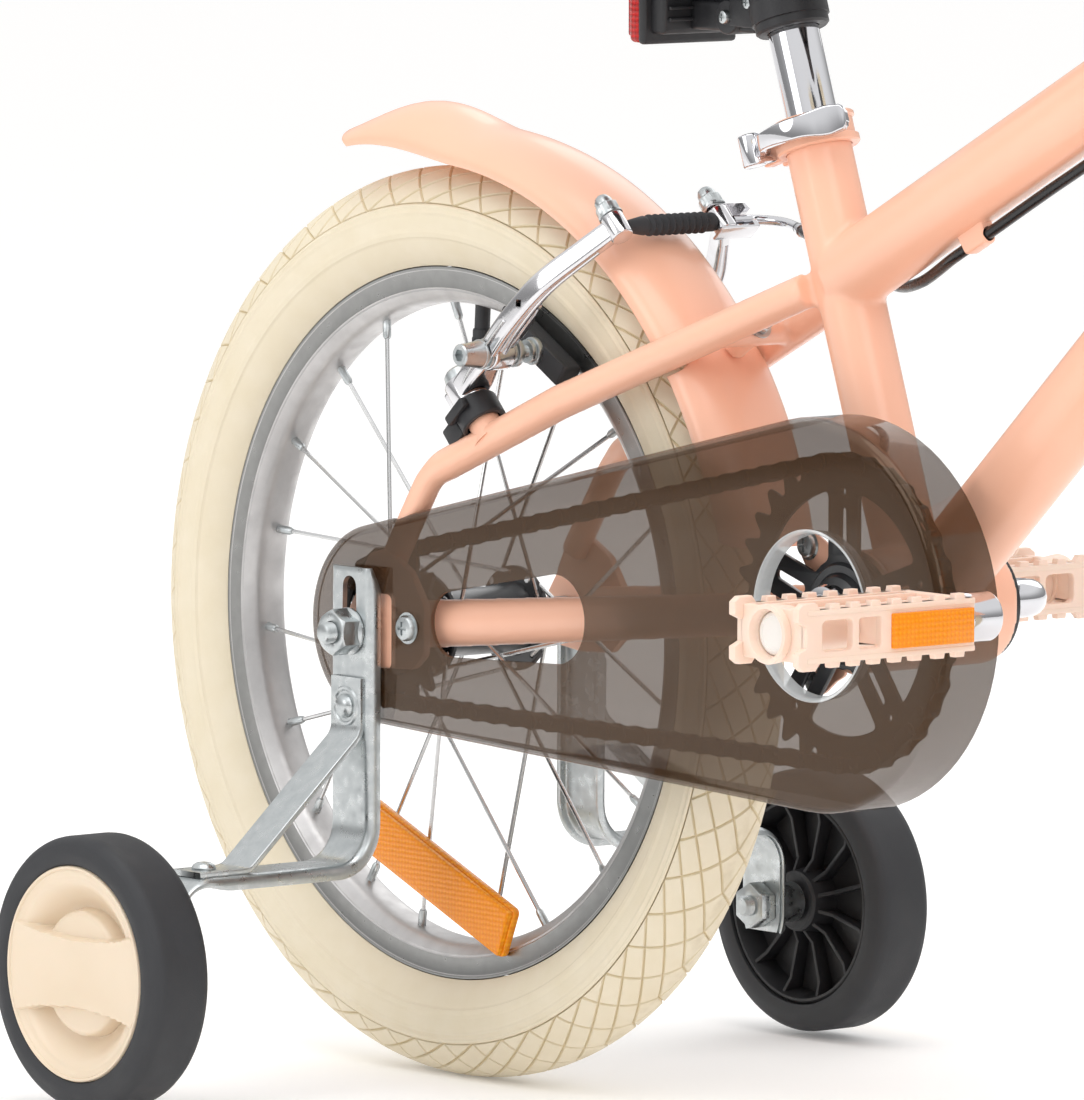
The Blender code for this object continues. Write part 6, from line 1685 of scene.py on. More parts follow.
def addPedal(name, side):
    half, tall, wide = crankSet["pedalLength"] / 2, crankSet["pedalHeight"] / 2, crankSet["pedalWidth"] / 2
    upright = Matrix.Rotation(math.pi / 2, 4, "Z")
    windows = [
        rounded(millimetres([(3, -6.5), (15, -6.5), (15, 6.5), (3, 6.5)]), 1.5 * mm, 3),
        rounded(millimetres([(18.5, -6.5), (35, -6.5), (35, 6.5), (18.5, 6.5)]), 2.5 * mm, 3),
    ]
    rail = plate([railOutline()] + windows, crankSet["wall"], 0.6 * mm, 2)
    pieces = []
    for way in (-1, 1):
        pieces.append(twin(rail, Matrix.Translation((way * (wide - crankSet["wall"] / 2), 0, 0)) @ upright))
        for up in (-1, 1):
            lip = box(
                (5.2 * mm, half * 1.9, 2.4 * mm),
                (way * (wide - 2.2 * mm), -half * 0.05, up * (tall - 1.2 * mm)), 0.5 * mm,
            )
            pieces.append(lip)
    bpy.data.objects.remove(rail, do_unlink=True)
    end = [(-wide + 2 * mm, -tall), (wide - 2 * mm, -tall), (wide - 2 * mm, tall), (-wide + 2 * mm, tall)]
    outer = plate([rounded(end, 3 * mm), circle((0, 0), 9.4 * mm, 40)], crankSet["wall"], 0.6 * mm)
    inner = plate([rounded(end, 3 * mm), circle((0, 0), 6.2 * mm, 32)], crankSet["wall"], 0.6 * mm)
    pieces.append(place(outer, Matrix.Translation((0, half - 6.5 * mm, 0))))
    pieces.append(place(inner, Matrix.Translation((0, -half + 2.2 * mm, 0))))
    pieces.append(
        lathe(
            [
                (9.6 * mm, half - 14 * mm), (11.2 * mm, half - 14 * mm), (12.6 * mm, half - 2.2 * mm),
                (12.2 * mm, half - 1 * mm), (10.4 * mm, half - 1 * mm), (9.6 * mm, half - 3 * mm),
            ],
            48,
        )
    )
    barrel = lathe(
        [
            (5.7 * mm, -half + 0.6 * mm), (9.4 * mm, -half + 0.6 * mm), (9.4 * mm, -half + 8 * mm),
            (8.2 * mm, -half + 10 * mm), (8.2 * mm, half - 24 * mm), (9.4 * mm, half - 22 * mm),
            (9.4 * mm, half - 8 * mm), (5.7 * mm, half - 8 * mm),
        ],
        40,
    )
    pieces.append(barrel)
    for y in (-0.45, 0.02, 0.42):
        web = plate(
            [
                rounded(
                    [
                        (-wide + 2 * mm, -tall + 5 * mm), (wide - 2 * mm, -tall + 5 * mm),
                        (wide - 2 * mm, tall - 5 * mm), (-wide + 2 * mm, tall - 5 * mm),
                    ],
                    2 * mm,
                ),
                circle((0, 0), 8 * mm, 28),
            ],
            2.4 * mm, 0.4 * mm, 1,
        )
        pieces.append(place(web, Matrix.Translation((0, y * 2 * half * 0.9, 0))))
    for x in (-11.5, 11.5):  # bars of the treading face, both ways up
        for up in (-1, 1):
            pieces.append(
                box(
                    (2.6 * mm, half * 1.86, 3 * mm), (x * mm, -half * 0.03, up * (tall - 1.7 * mm)),
                    0.5 * mm,
                )
            )
    matrix = bracketFrame @ Matrix.Translation(
        (crankEnd(side).x, side * (crankSet["pedalStart"] + half), crankEnd(side).z)
    )
    if side < 0:
        matrix = matrix @ mirrorY
    keep(
        join(pieces), name + "PedalCage", "pedal_" + name, "blushPolypropylene", ["pedal_" + name],
        35, matrix,
    )
    cap = lathe(
        [
            (0, half - 9 * mm), (9.2 * mm, half - 9 * mm), (9.2 * mm, half - 6.2 * mm),
            (8.4 * mm, half - 5.2 * mm), (7.2 * mm, half - 4.9 * mm), (6.8 * mm, half - 5.4 * mm),
            (0, half - 5.2 * mm),
        ],
        40, closed=False,
    )
    keep(cap, name + "PedalEndCap", "pedal_" + name, "whitePolypropylene", angle=30, matrix=matrix)
    glass = []
    for way in (-1, 1):
        lens = box((2.6 * mm, 44 * mm, 14.6 * mm), (way * (wide + 0.7 * mm), -24.2 * mm, 0), 0.6 * mm, 3)
        glass.append(lens)
    keep(
        join(glass), name + "PedalReflectors", "pedal_" + name, "amberPrism", angle=35,
        matrix=matrix,
    )


addCrank()
for sideName, sideWay in sides.items():
    addPedal(sideName, sideWay)
print("stage: crank and pedals")

# Training wheels on their bent channel arms
trainer = {
    "offset": 0.207, "height": -0.140, "radius": 60 * mm, "width": 31.4 * mm, "cap": 47.5 * mm,
    "wall": 2.5 * mm, "face": 68.6 * mm, "top": 28.5 * mm, "drop": 0.103, "tabLow": -0.152,
    "tab": 0.1735, "bend": 18 * mm, "channel": 26 * mm, "depth": 5 * mm, "bolt": 5.5 * mm, "ribs": 12,
}


def addTrainingBracket(name, side):
    wall, half = trainer["wall"], trainer["channel"] / 2
    middle = trainer["face"] - wall / 2
    corners = [
        (0, middle, trainer["top"]), (0, middle, -trainer["drop"]), (0, trainer["tab"], -trainer["drop"]),
        (0, trainer["tab"], trainer["tabLow"]),
    ]
    path = evenPath(arcPath(corners, trainer["bend"], 14), 110)
    section = [
        (-half, -1.0), (-half, -0.62), (-half, -0.4), (-half + 0.5 * mm, -0.2), (-half + 1.4 * mm, -0.06),
        (-half + 2.8 * mm, 0),
    ]
    section += [(-half * 0.5, 0), (0, 0), (half * 0.5, 0)] + [(-x, v) for x, v in section[::-1]]
    channel = gridSheet(len(path) - 1, len(section) - 1)
    for vertex in channel.data.vertices:
        column = round((vertex.co.x + 1) / 2 * (len(section) - 1))
        row = round((vertex.co.y + 1) / 2 * (len(path) - 1))
        here = path[row]
        run = (path[min(row + 1, len(path) - 1)] - path[max(row - 1, 0)]).normalized()
        inward = Vector((0, run.z, -run.y))
        across, share = section[column]
        low = row / (len(path) - 1)
        deep = trainer["depth"] * min(1.0, 0.25 + low * 22) * eased([(0.74, 1.0), (0.84, 0.14)], low)
        narrow = 1 - 0.10 * max(0, 1 - low * 28) - 0.16 * max(0, (low - 0.965) / 0.035) ** 2
        vertex.co = here + Vector((across * narrow, 0, 0)) + inward * (-share * deep)
    weld(channel)
    face = max(channel.data.polygons, key=lambda p: p.center.z if abs(p.center.x) < 0.3 * half else -1)
    if face.normal.y < 0:
        channel.data.flip_normals()
    modify(channel, "SOLIDIFY", thickness=wall, offset=0, use_even_offset=False)
    soften(channel, 0.5 * mm, 2, 45)
    slot = plate([belt((0, -0.5 * mm), 5.2 * mm, (0, 20 * mm), 4.6 * mm, 16)], 20 * mm)
    carve(channel, [place(slot, Matrix.Translation((0, trainer["face"], 0)))])
    pieces = [channel]
    over = middle + wall - 0.3 * mm
    level = -trainer["drop"] + wall - 0.3 * mm
    strap = arcPath(
        [(over, 0, -20 * mm), (over, 0, -45 * mm), (0.132, 0, level), (0.160, 0, level)], 9 * mm, 5
    )
    outline = ribbon([(p.x, p.z) for p in strap], [wall] * len(strap))
    brace = plate([outline], trainer["channel"] * 0.80, 0.5 * mm, 2)
    pieces.append(place(brace, Matrix.Rotation(math.pi / 2, 4, "Z")))
    head = millimetres([(0, 0), (5.4, 0), (5.4, 0.8), (4.7, 2.0), (3.2, 3.0), (0, 3.5)])
    rivet = lathe(head, 32, closed=False)
    pieces.append(twin(rivet, Matrix.Translation((0, over + wall / 2, -33 * mm))))
    pressed = lathe(millimetres([(6.6, -0.2), (9.2, -0.2), (8.4, 0.7), (7.4, 0.7)]), 36)
    pieces.append(place(pressed, Matrix.Translation((0, over + wall / 2, -33 * mm))))
    pieces.append(
        place(
            rivet, Matrix.Translation((0, 0.150, level + wall / 2)) @ Matrix.Rotation(math.pi / 2, 4, "X")
        )
    )
    high, tab = trainer["height"], trainer["tab"]
    inner = trainer["offset"] - trainer["width"] / 2
    nut = hexHead((0, tab - wall / 2, high), (0, -1, 0), 18.5 * mm, 8.2 * mm, 0.8 * mm)
    pieces.append(carve(nut, [rod((0, tab - 0.02, high), (0, tab, high), 4.6 * mm, sides=24)]))
    pieces.append(
        place(
            threaded(0, 14.5 * mm, 4.7 * mm, 1.2 * mm),
            Matrix.Translation((0, tab + 1 * mm, high)) @ mirrorY,
        )
    )
    pieces.append(
        rod(
            (0, tab + wall / 2, high), (0, tab + wall / 2 + 1.6 * mm, high), 11 * mm, sides=36,
            edge=0.3 * mm,
        )
    )
    spacer = lathe(
        [
            (0, tab), (9.2 * mm, tab), (9.2 * mm, inner - 1.4 * mm), (7.5 * mm, inner - 0.4 * mm),
            (0, inner - 0.4 * mm),
        ],
        36, closed=False,
    )
    pieces.append(place(spacer, Matrix.Translation((0, 0, high))))
    pieces.append(
        rod(
            (0, tab, high), (0, trainer["offset"] + trainer["width"] / 2 - 11 * mm, high),
            trainer["bolt"], sides=28,
        )
    )
    matrix = rearFrame if side > 0 else rearFrame @ mirrorY
    keep(
        join(pieces), name + "TrainingArm", "chassis", "zincPlate", ["training_bracket_" + name],
        30, matrix,
    )


def addTrainingWheel(name, side):
    half, radius, cap = trainer["width"] / 2, trainer["radius"], trainer["cap"]
    matrix = rearFrame @ Matrix.Translation((0, side * trainer["offset"], trainer["height"]))
    if side < 0:
        matrix = matrix @ mirrorY
    body = "training_wheel_" + name
    shoulder = [
        (cap, half - 4 * mm), (cap, half - 1.2 * mm), (cap + 1.2 * mm, half - 0.2 * mm),
        (cap + 4.4 * mm, half), (cap + 6.4 * mm, half - 0.2 * mm),
    ]
    for k in range(7):
        angle = math.pi / 2 * k / 6
        shoulder.append(
            (radius - 5.2 * mm + 5.2 * mm * math.sin(angle), half - 6.4 * mm + 5.8 * mm * math.cos(angle))
        )
    shoulder.append((radius, half - 9.5 * mm))
    tread = shoulder + [(r, -y) for r, y in shoulder[::-1]]
    keep(
        lathe(tread, 120), name + "TrainingTyre", body, "blackRubber",
        ["training_tyre_" + name], 40, matrix,
    )
    brim = cap - 0.35 * mm
    edge = lathe(
        [
            (brim - 2.2 * mm, half - 4.5 * mm), (brim, half - 4.5 * mm), (brim, half - 1.0 * mm),
            (brim - 0.5 * mm, half - 0.3 * mm), (brim - 1.4 * mm, half - 0.4 * mm),
            (brim - 2.2 * mm, half - 1.4 * mm),
        ],
        120,
    )
    rows = 120
    sheet = gridSheet(rows, 100)
    inside = brim - 1.8 * mm
    for vertex in sheet.data.vertices:
        z = vertex.co.y * inside
        x = vertex.co.x * math.sqrt(max(inside * inside - z * z, 0)) + 1e-6 * vertex.co.x
        reach, out = math.hypot(x, z) / inside, abs(x) / inside
        waist = (0.33 + 0.12 * out ** 1.8) * inside  # the bar's edges flare towards the rim
        dish = eased([(0.62, -12.0), (0.92, -2.4), (1.0, -1.2)], reach)
        dome = eased([(0.0, -4.2), (0.56, -4.8), (0.60, -5.8), (0.625, -14.0)], reach)
        bar = -1.0 - 2.6 * (1 - (abs(z) / waist) ** 2) * (1 - 0.6 * out ** 2) + 0.9 * out ** 3
        step = eased([(waist - 0.4 * mm, 1.0), (waist + 0.7 * mm, 0.0)], abs(z))
        low = max(dish, dome)
        vertex.co = (x, half + (low + (max(bar, low) - low) * step) * mm, z)
    weld(sheet, 0.00002)
    if sheet.data.polygons[len(sheet.data.polygons) // 2].normal.y < 0:
        sheet.data.flip_normals()
    modify(sheet, "SOLIDIFY", thickness=1.6 * mm, offset=-1, use_even_offset=False)
    keep(
        join([edge, sheet]), name + "TrainingCap", body, "creamAbs",
        ["training_hub_" + name], 42, matrix,
    )
    bore = trainer["bolt"] + 0.5 * mm
    drum = lathe(
        [
            (44.4 * mm, half - 6 * mm), (brim, half - 6 * mm), (brim, -half + 3 * mm),
            (brim - 1.2 * mm, -half + 2 * mm), (44.8 * mm, -half + 2 * mm), (44.2 * mm, -half + 3.4 * mm),
            (42.5 * mm, -1.5 * mm), (15.5 * mm, -3.0 * mm), (13.8 * mm, -half + 1 * mm),
            (12.6 * mm, -half), (bore, -half), (bore, 1.5 * mm), (16 * mm, 1.5 * mm),
            (44.4 * mm, 1.5 * mm),
        ],
        96,
    )
    ribs = []
    fin = plate(
        [
            [
                (13 * mm, -3 * mm), (44 * mm, -1.5 * mm), (44.3 * mm, -half + 3.6 * mm),
                (38 * mm, -half + 6.5 * mm), (20 * mm, -half + 6.5 * mm), (13 * mm, -half + 2 * mm),
            ]
        ],
        1.8 * mm, 0.3 * mm, 1,
    )
    place(fin, Matrix.Rotation(-math.pi / 2, 4, "X"))
    for k in range(trainer["ribs"]):
        ribs.append(twin(fin, Matrix.Rotation(2 * math.pi * (k + 0.5) / trainer["ribs"], 4, "Y")))
    bpy.data.objects.remove(fin, do_unlink=True)
    keep(
        join([drum] + ribs), name + "TrainingHub", body, "blackNylon", angle=30,
        matrix=matrix,
    )


for sideName, sideWay in sides.items():
    addTrainingBracket(sideName, sideWay)
    addTrainingWheel(sideName, sideWay)
print("stage: training wheels")

# Linear-pull brakes: forged arms, shoes, bellows boot and the bent guide pipe
brake = {
    "length": 0.112, "thick": 12 * mm, "inset": 16.5 * mm, "head": 5 * mm, "padAlong": 27 * mm,
    "pivotY": 46.2 * mm, "boss": 20.5 * mm, "bossRadius": 7.2 * mm, "armRise": 26.8 * mm,
    "rimHalf": 12.25 * mm, "padGap": 1.8 * mm, "frontFoot": Vector((0, 0.0462, 0.120)),
    "shoe": (50 * mm, 10 * mm, 10 * mm), "ribs": 9,
}


def armFrames():
    tilt = weldment["armTilt"]
    line = Vector((-math.sin(tilt), 0, math.cos(tilt)))
    rise = brake["boss"] + 0.3 * mm + brake["thick"] / 2
    rear = rearFrame @ Matrix.Translation(weldment["bossFoot"] + line * rise) @ Matrix.Rotation(-tilt, 4, "Y")
    front = steerFrame @ Matrix.Translation(brake["frontFoot"] + Vector((rise, 0, 0))) @ Matrix.Rotation(
        -math.pi / 2, 4, "Y"
    )
    return {"rear": rear, "front": front}


def mirrored(matrix, side):
    # Both sides share one frame: the right one is the left one mirrored about the bike's middle plane
    return matrix if side > 0 else mirrorY @ matrix


def addBrakeArm(end, name, side, frame, spin):
    matrix = mirrored(frame, side)
    body = end + "_arm_" + name
    length, inset, thick = brake["length"], brake["inset"], brake["thick"]
    knots = smoothPath(
        [
            (-7 * mm, 0, 0), (6 * mm, 0.8 * mm, 0), (27 * mm, 3.0 * mm, 0), (50 * mm, 5.0 * mm, 0),
            (74 * mm, 2.6 * mm, 0), (96 * mm, -7.5 * mm, 0), (length, -inset, 0),
        ],
        40,
    )
    widths = [
        eased(
            [(0, 13 * mm), (0.12, 15 * mm), (0.3, 9.5 * mm), (0.6, 8 * mm), (0.9, 6.4 * mm), (1, 7 * mm)],
            k / 39,
        )
        for k in range(40)
    ]
    blank = layFlat(plate([ribbon([p.xy for p in knots], widths)], thick * 0.86, 2.2 * mm, 4))
    cuts = []
    for way in (-1, 1):  # a channel down each face leaves two ridges
        bed = layFlat(
            plate(
                [ribbon([p.xy for p in knots[9:36]], [w * 0.42 for w in widths[9:36]])], 4 * mm, 1 * mm, 2
            )
        )
        cuts.append(place(bed, Matrix.Translation((0, 0, way * thick * 0.50))))
    cuts.append(rod((0.062, -0.02, 0), (0.062, 0.02, 0), 2.2 * mm, sides=4))
    cuts.append(rod((0, 0, -0.02), (0, 0, 0.02), 4.2 * mm, sides=28))
    carve(blank, cuts)
    web = smoothPath(millimetres([(62, -1.0, 0), (48, -3.5, 0), (36, -2.6, 0), (28, 0, 0)]), 14)
    strut = layFlat(plate([ribbon([p.xy for p in web], [5 * mm] * 14)], thick * 0.5, 1.2 * mm, 2))
    pieces = [blank, strut]
    pieces.append(rod((0, 0, -thick / 2), (0, 0, thick / 2), 8.4 * mm, sides=40, edge=1 * mm, segments=3))
    pieces[-1] = carve(pieces[-1], [rod((0, 0, -0.02), (0, 0, 0.02), 4.2 * mm, sides=28)])
    eye = rod(
        (brake["padAlong"], -5.4 * mm, 0), (brake["padAlong"], 5.4 * mm, 0), 7.4 * mm, sides=36,
        edge=0.8 * mm, segments=3,
    )
    pieces.append(
        carve(eye, [rod((brake["padAlong"], -0.02, 0), (brake["padAlong"], 0.02, 0), 3.1 * mm, sides=24)])
    )
    pieces.append(
        rod(
            (length, -inset, -thick / 2), (length, -inset, thick / 2), 5.2 * mm, sides=32, edge=1 * mm,
            segments=3,
        )
    )
    keep(
        join(pieces), end + name.capitalize() + "BrakeArm", body, "polishedAluminium",
        [end + "_brake_arm_" + name], 40, matrix,
    )
    # Washer and domed nut on the cable head, and the bright bolt on the pivot
    washer = lathe(millimetres([(0, 0), (5.6, 0), (5.6, 1.0), (4.2, 1.2), (0, 1.2)]), 32, closed=False)
    dome = lathe(
        millimetres(
            [(0, 1), (5.0, 1), (5.0, 5.2), (4.2, 6.2), (4.1, 8.2), (3.1, 10.2), (1.6, 11.2), (0, 11.4)]
        ),
        32, closed=False,
    )
    hexed = hexHead((0, 1.2 * mm, 0), (0, 1, 0), 9.6 * mm, 4.6 * mm, 0.5 * mm)
    onTop = Matrix.Rotation(math.pi / 2, 4, "X")
    rest = 1.2 * mm if side > 0 else -0.2 * mm  # the left head also clamps the stirrup of the guide pipe
    head = place(join([washer, dome, hexed]), Matrix.Translation((length, -inset, thick / 2 + rest)) @ onTop)
    bolt = lathe(
        millimetres(
            [(0, 0), (6.8, 0), (6.8, 1.2), (6.2, 4.2), (5.0, 5.4), (3.0, 5.6), (2.6, 3.6), (0, 3.4)]
        ),
        36, closed=False,
    )
    place(bolt, Matrix.Translation((0, 0, thick / 2 + 0.2 * mm)) @ onTop)
    keep(
        join([head, bolt]), end + name.capitalize() + "ArmNuts", body, "zincPlate", angle=30,
        matrix=matrix,
    )
    # Return spring: a cup round the boss with its block and lug, the wire and its screw
    deep = thick / 2 + 12 * mm
    cup = [
        (8.3 * mm, -deep), (9.8 * mm, -deep), (10.4 * mm, -deep + 0.6 * mm),
        (10.4 * mm, -thick / 2 - 1.4 * mm), (9.6 * mm, -thick / 2 - 0.2 * mm),
        (8.3 * mm, -thick / 2 - 0.2 * mm),
    ]
    case = place(lathe(cup, 40), Matrix.Rotation(math.pi / 2, 4, "X"))
    block = box((11 * mm, 9 * mm, 10 * mm), (-13 * mm, 3 * mm, -thick / 2 - 6 * mm), 1 * mm)
    lug = box((15 * mm, 4 * mm, 5 * mm), (-1 * mm, 10.4 * mm, -thick / 2 - 3.4 * mm), 1.2 * mm)
    keep(
        join([case, block, lug]), end + name.capitalize() + "SpringCase", body,
        "blackNylon", angle=35, matrix=matrix,
    )
    spring = tube(
        smoothPath(millimetres([(2, 6.5, -3), (12, 8.5, -1), (30, 9.4, 0), (50, 9.8, 0)]), 20), 0.75 * mm,
        facets=3,
    )
    screw = place(
        panScrew(2.6 * mm, 2.2 * mm),
        Matrix.Translation((-18.6 * mm, 3 * mm, -thick / 2 - 6 * mm)) @ Matrix.Rotation(
            math.pi / 2, 4, "Z"
        ) @ mirrorY,
    )
    keep(
        join([spring, screw]), end + name.capitalize() + "ReturnSpring", body, "stainlessWire",
        angle=40, matrix=matrix,
    )
    addShoe(end, name, matrix, body, spin)


def addShoe(end, name, matrix, body, spin):
    # The shoe is drawn from the rim outwards along Y
    shift = Matrix.Translation((brake["padAlong"], -brake["pivotY"], 0)) @ Matrix.Rotation(spin, 4, "Y")
    start, off = brake["rimHalf"] + brake["padGap"], brake["pivotY"]
    long, thick, high = brake["shoe"]
    shoe = box((long, thick, high), (4 * mm, start + thick / 2, 0), 1.4 * mm, 3)
    activate(shoe)
    slots = [box((1.4 * mm, 2.6 * mm, 0.02), (x * mm, start, 0)) for x in (-12, 2, 16)]
    carve(shoe, [join(slots)])
    shell = box((long * 0.96, 3.4 * mm, high * 1.06), (4 * mm, start + thick - 1.2 * mm, 0), 1 * mm)
    keep(
        join([shoe, shell]), end + name.capitalize() + "BrakeShoe", body, "blackRubber",
        [end + "_brake_pad_" + name], 35, matrix @ shift,
    )
    near, far = off - 5.6 * mm, off + 5.6 * mm
    stack = []
    for foot, radius, deep in (
        (start + thick + 0.2 * mm, 6.2, 2.4), (start + thick + 2.8 * mm, 5.2, 2.6),
        (near - 5.6 * mm, 6.6, 2.6), (near - 2.6 * mm, 5.8, 2.2), (far, 6.8, 1.4),
        (far + 1.5 * mm, 5.8, 1.6), (far + 3.2 * mm, 6.6, 1.2),
    ):
        stack.append(rod((0, foot, 0), (0, foot + deep * mm, 0), radius * mm, sides=32, edge=0.35 * mm))
    barrel = lathe(
        [
            (0, far + 4.4 * mm), (6.2 * mm, far + 4.4 * mm), (5.9 * mm, far + 6 * mm),
            (5.2 * mm, far + 11 * mm), (5.0 * mm, far + 14.5 * mm), (4.4 * mm, far + 15.2 * mm),
            (0, far + 15.2 * mm),
        ],
        32, closed=False,
    )
    carve(barrel, [rod((0, far + 12 * mm, 0), (0, far + 20 * mm, 0), 2.9 * mm, sides=6)])
    stack += [barrel, rod((0, start + 6 * mm, 0), (0, far + 5 * mm, 0), 2.8 * mm, sides=20)]
    keep(
        join(stack), end + name.capitalize() + "ShoeBolt", body, "zincPlate", angle=30,
        matrix=matrix @ shift,
    )


def addBoot(end, body, matrix):
    half = brake["pivotY"] - brake["inset"] - brake["head"] - 0.5 * mm
    profile = [
        (0, -half), (2.6 * mm, -half), (3.4 * mm, -half + 4 * mm), (4.3 * mm, -half + 9 * mm),
        (4.0 * mm, -half + 10 * mm),
    ]
    start, pitch = -half + 10.5 * mm, (2 * half - 15 * mm) / brake["ribs"]
    for k in range(brake["ribs"]):
        low = start + k * pitch
        profile += [
            (3.2 * mm, low + 0.10 * pitch), (3.6 * mm, low + 0.30 * pitch),
            (4.7 * mm, low + 0.45 * pitch), (4.8 * mm, low + 0.6 * pitch), (3.9 * mm, low + 0.8 * pitch),
        ]
    profile += [(3.4 * mm, half - 4.2 * mm), (4.2 * mm, half - 3.2 * mm), (4.2 * mm, half), (0, half)]
    boot = lathe(profile, 36, closed=False)
    keep(boot, end + "BrakeBoot", body, "blackRubber", [end + "_brake_boot"], 50, matrix)
    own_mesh(boot)


def addBrakes():
    frames = armFrames()
    tilt = weldment["armTilt"]
    bolt = weldment["bossFoot"] + Vector((-math.sin(tilt), 0, math.cos(tilt))) * brake["armRise"]
    bolt += Vector((math.cos(tilt), 0, math.sin(tilt))) * brake["padAlong"]
    spins = {"rear": tilt - math.atan2(bolt.z, bolt.x) - math.pi / 2, "front": math.pi / 2}
    for end, frame in frames.items():
        for name, side in sides.items():
            addBrakeArm(end, name, side, frame, spins[end])
        # The boot and the guide pipe lie on the line between the two heads
        heads = frame @ Vector((brake["length"], 0, 0))
        heads.y = 0
        turn = frame.to_3x3().to_4x4()
        addBoot(end, "chassis" if end == "rear" else "steering", Matrix.Translation(heads) @ turn)
        tall = brake["thick"] + 2.4 * mm
        stirrup = box((8.8 * mm, 22 * mm, tall), (0, 5 * mm, 0), 0.9 * mm)
        gap = brake["thick"] + 0.2 * mm
        carve(
            stirrup,
            [
                box((0.02, 25 * mm, gap), (0, 0.3 * mm, 0)),
                box((10 * mm, 10 * mm, 6.8 * mm), (5 * mm, 15 * mm, 0)),
                rod((0, 0.01, 0), (0, 0.02, 0), 3.4 * mm, sides=20),
            ],
        )
        place(stirrup, Matrix.Translation((0, brake["pivotY"] - brake["inset"], 0)))
        keep(
            stirrup, end + "PipeLink", end + "_arm_left", "polishedAluminium", angle=35,
            matrix=Matrix.Translation(heads) @ turn,
        )


def steeringPlace(x, y, z):
    return steerFrame @ Vector((x, y, z))


def leverPivot(side):
    start = Vector(
        (
            bar["reach"] - 8 * mm, side * (bar["half"] - bar["grip"] + 3 * mm),
            layout["barBase"] + bar["rise"],
        )
    )
    tip = Vector((bar["reach"] - 34 * mm, side * bar["half"], layout["barBase"] + bar["rise"] + 4 * mm))
    along = (tip - start).normalized()
    return start - along * 16 * mm + Vector((30 * mm, 0, 0)), start, along


bar = {"reach": 40 * mm, "half": 0.262, "grip": 0.105, "rise": 55 * mm, "radius": 11.1 * mm}


def addCables():
    frames = armFrames()
    drop, fork, base = weldment["cableDrop"], layout["forkLength"], layout["barBase"]
    top = fork + layout["headTube"]
    head = frames["rear"] @ Vector((brake["length"], 0, 0)) - layout["rearAxle"]
    head.y = 0
    seat = onSeat(weldment["topOnSeat"])
    first = brake["pivotY"] - brake["inset"] + brake["head"] + 1.2 * mm
    pivot = leverPivot(-1)[0]
    barrel = pivot + Vector((-12 * mm, 8.8 * mm, 0))
    along = [
        head + Vector(p)
        for p in (
            (0, first, 0), (0, first + 6 * mm, 0), (2 * mm, first + 13 * mm, 0),
            (18 * mm, first + 17 * mm, -1 * mm), (50 * mm, 40 * mm, -5 * mm),
        )
    ]
    along += [
        seat + Vector(p)
        for p in (
            (-24.8 * mm, 31.0 * mm, 2.6 * mm), (5.1 * mm, 23.0 * mm, -4.4 * mm),
            (35.9 * mm, 11.0 * mm, -0.5 * mm),
        )
    ]
    along += [
        underTopTube(d, drop + e)[0]
        for d, e in ((0.066, 0), (0.084, 0), (0.096, 0), (0.150, 0), (0.230, 2 * mm))
    ]
    along = [rearFrame @ p for p in along]
    along += [
        steeringPlace(*p)
        for p in (
            (-68.9 * mm, 15 * mm, fork + 27.2 * mm), (-11.9 * mm, 33 * mm, fork + 52.2 * mm),
            (60.3 * mm, 40 * mm, fork + 89.8 * mm), (120.7 * mm, 26 * mm, top + 49.6 * mm),
            (137.7 * mm, -25 * mm, base + 40.7 * mm), (102.1 * mm, -85 * mm, base + 71.7 * mm),
            barrel + Vector((12 * mm, 22 * mm, 6 * mm)), barrel,
        )
    ]
    route = smoothPath(along, 260)
    split = 12  # the first stretch is the bent steel pipe, the rest is housing
    outer = tube(route[split:], 2.5 * mm, facets=4)
    keep(outer, "rearCableHousing", None, "cableHousing", ["rear_brake_cable"], 60)
    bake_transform(outer)
    sizes = [1.0] * split + [1.0, 1.35, 1.35]
    keep(
        tube(route[:split + 3], 2.2 * mm, sizes, facets=4), "rearGuidePipe", "chassis",
        "chromePlate", angle=50,
    )
    head = brake["frontFoot"] + Vector((brake["armRise"], 0, brake["length"]))
    head.y = 0
    barrel = leverPivot(1)[0] + Vector((-12 * mm, -8.8 * mm, 0))
    along = [
        head + Vector(p)
        for p in (
            (0, first, 0), (0, first + 6 * mm, 0), (0, first + 11 * mm, 2 * mm),
            (4 * mm, first + 18 * mm, 16 * mm), (12 * mm, 58 * mm, 50 * mm),
        )
    ]
    along += [
        Vector(p)
        for p in (
            (62 * mm, 62 * mm, fork + 50.4 * mm), (82 * mm, 66 * mm, top + 42.4 * mm),
            (92 * mm, 82 * mm, base + 39.4 * mm), barrel + Vector((14 * mm, -24 * mm, 6 * mm)), barrel,
        )
    ]
    route = smoothPath(along, 140)
    keep(
        tube(route[10:], 2.5 * mm, facets=4), "frontCableHousing", "steering",
        "cableHousing", ["front_brake_cable"], 60, steerFrame,
    )
    keep(
        tube(route[:13], 2.2 * mm, [1.0] * 10 + [1.0, 1.35, 1.35], facets=4), "frontGuidePipe", "steering",
        "chromePlate", angle=50, matrix=steerFrame,
    )


addBrakes()
addCables()
print("stage: brakes")

# Seat: post, quick-release collar, rear reflector and saddle. Drawn along the seat tube
seat = {
    "tube": 0.2165, "rise": 85 * mm, "post": 11.1 * mm, "collar": 18.2 * mm, "collarHeight": 14 * mm,
    "tubeRadius": 14.3 * mm, "bandAt": 39.5 * mm, "band": 18 * mm, "lens": (8 * mm, 52 * mm, 46 * mm),
    "length": 0.235, "width": 0.150, "thick": 46 * mm, "shift": 10 * mm, "underside": 0.30,
    "share": 0.72, "plateTop": 10.6 * mm,
}


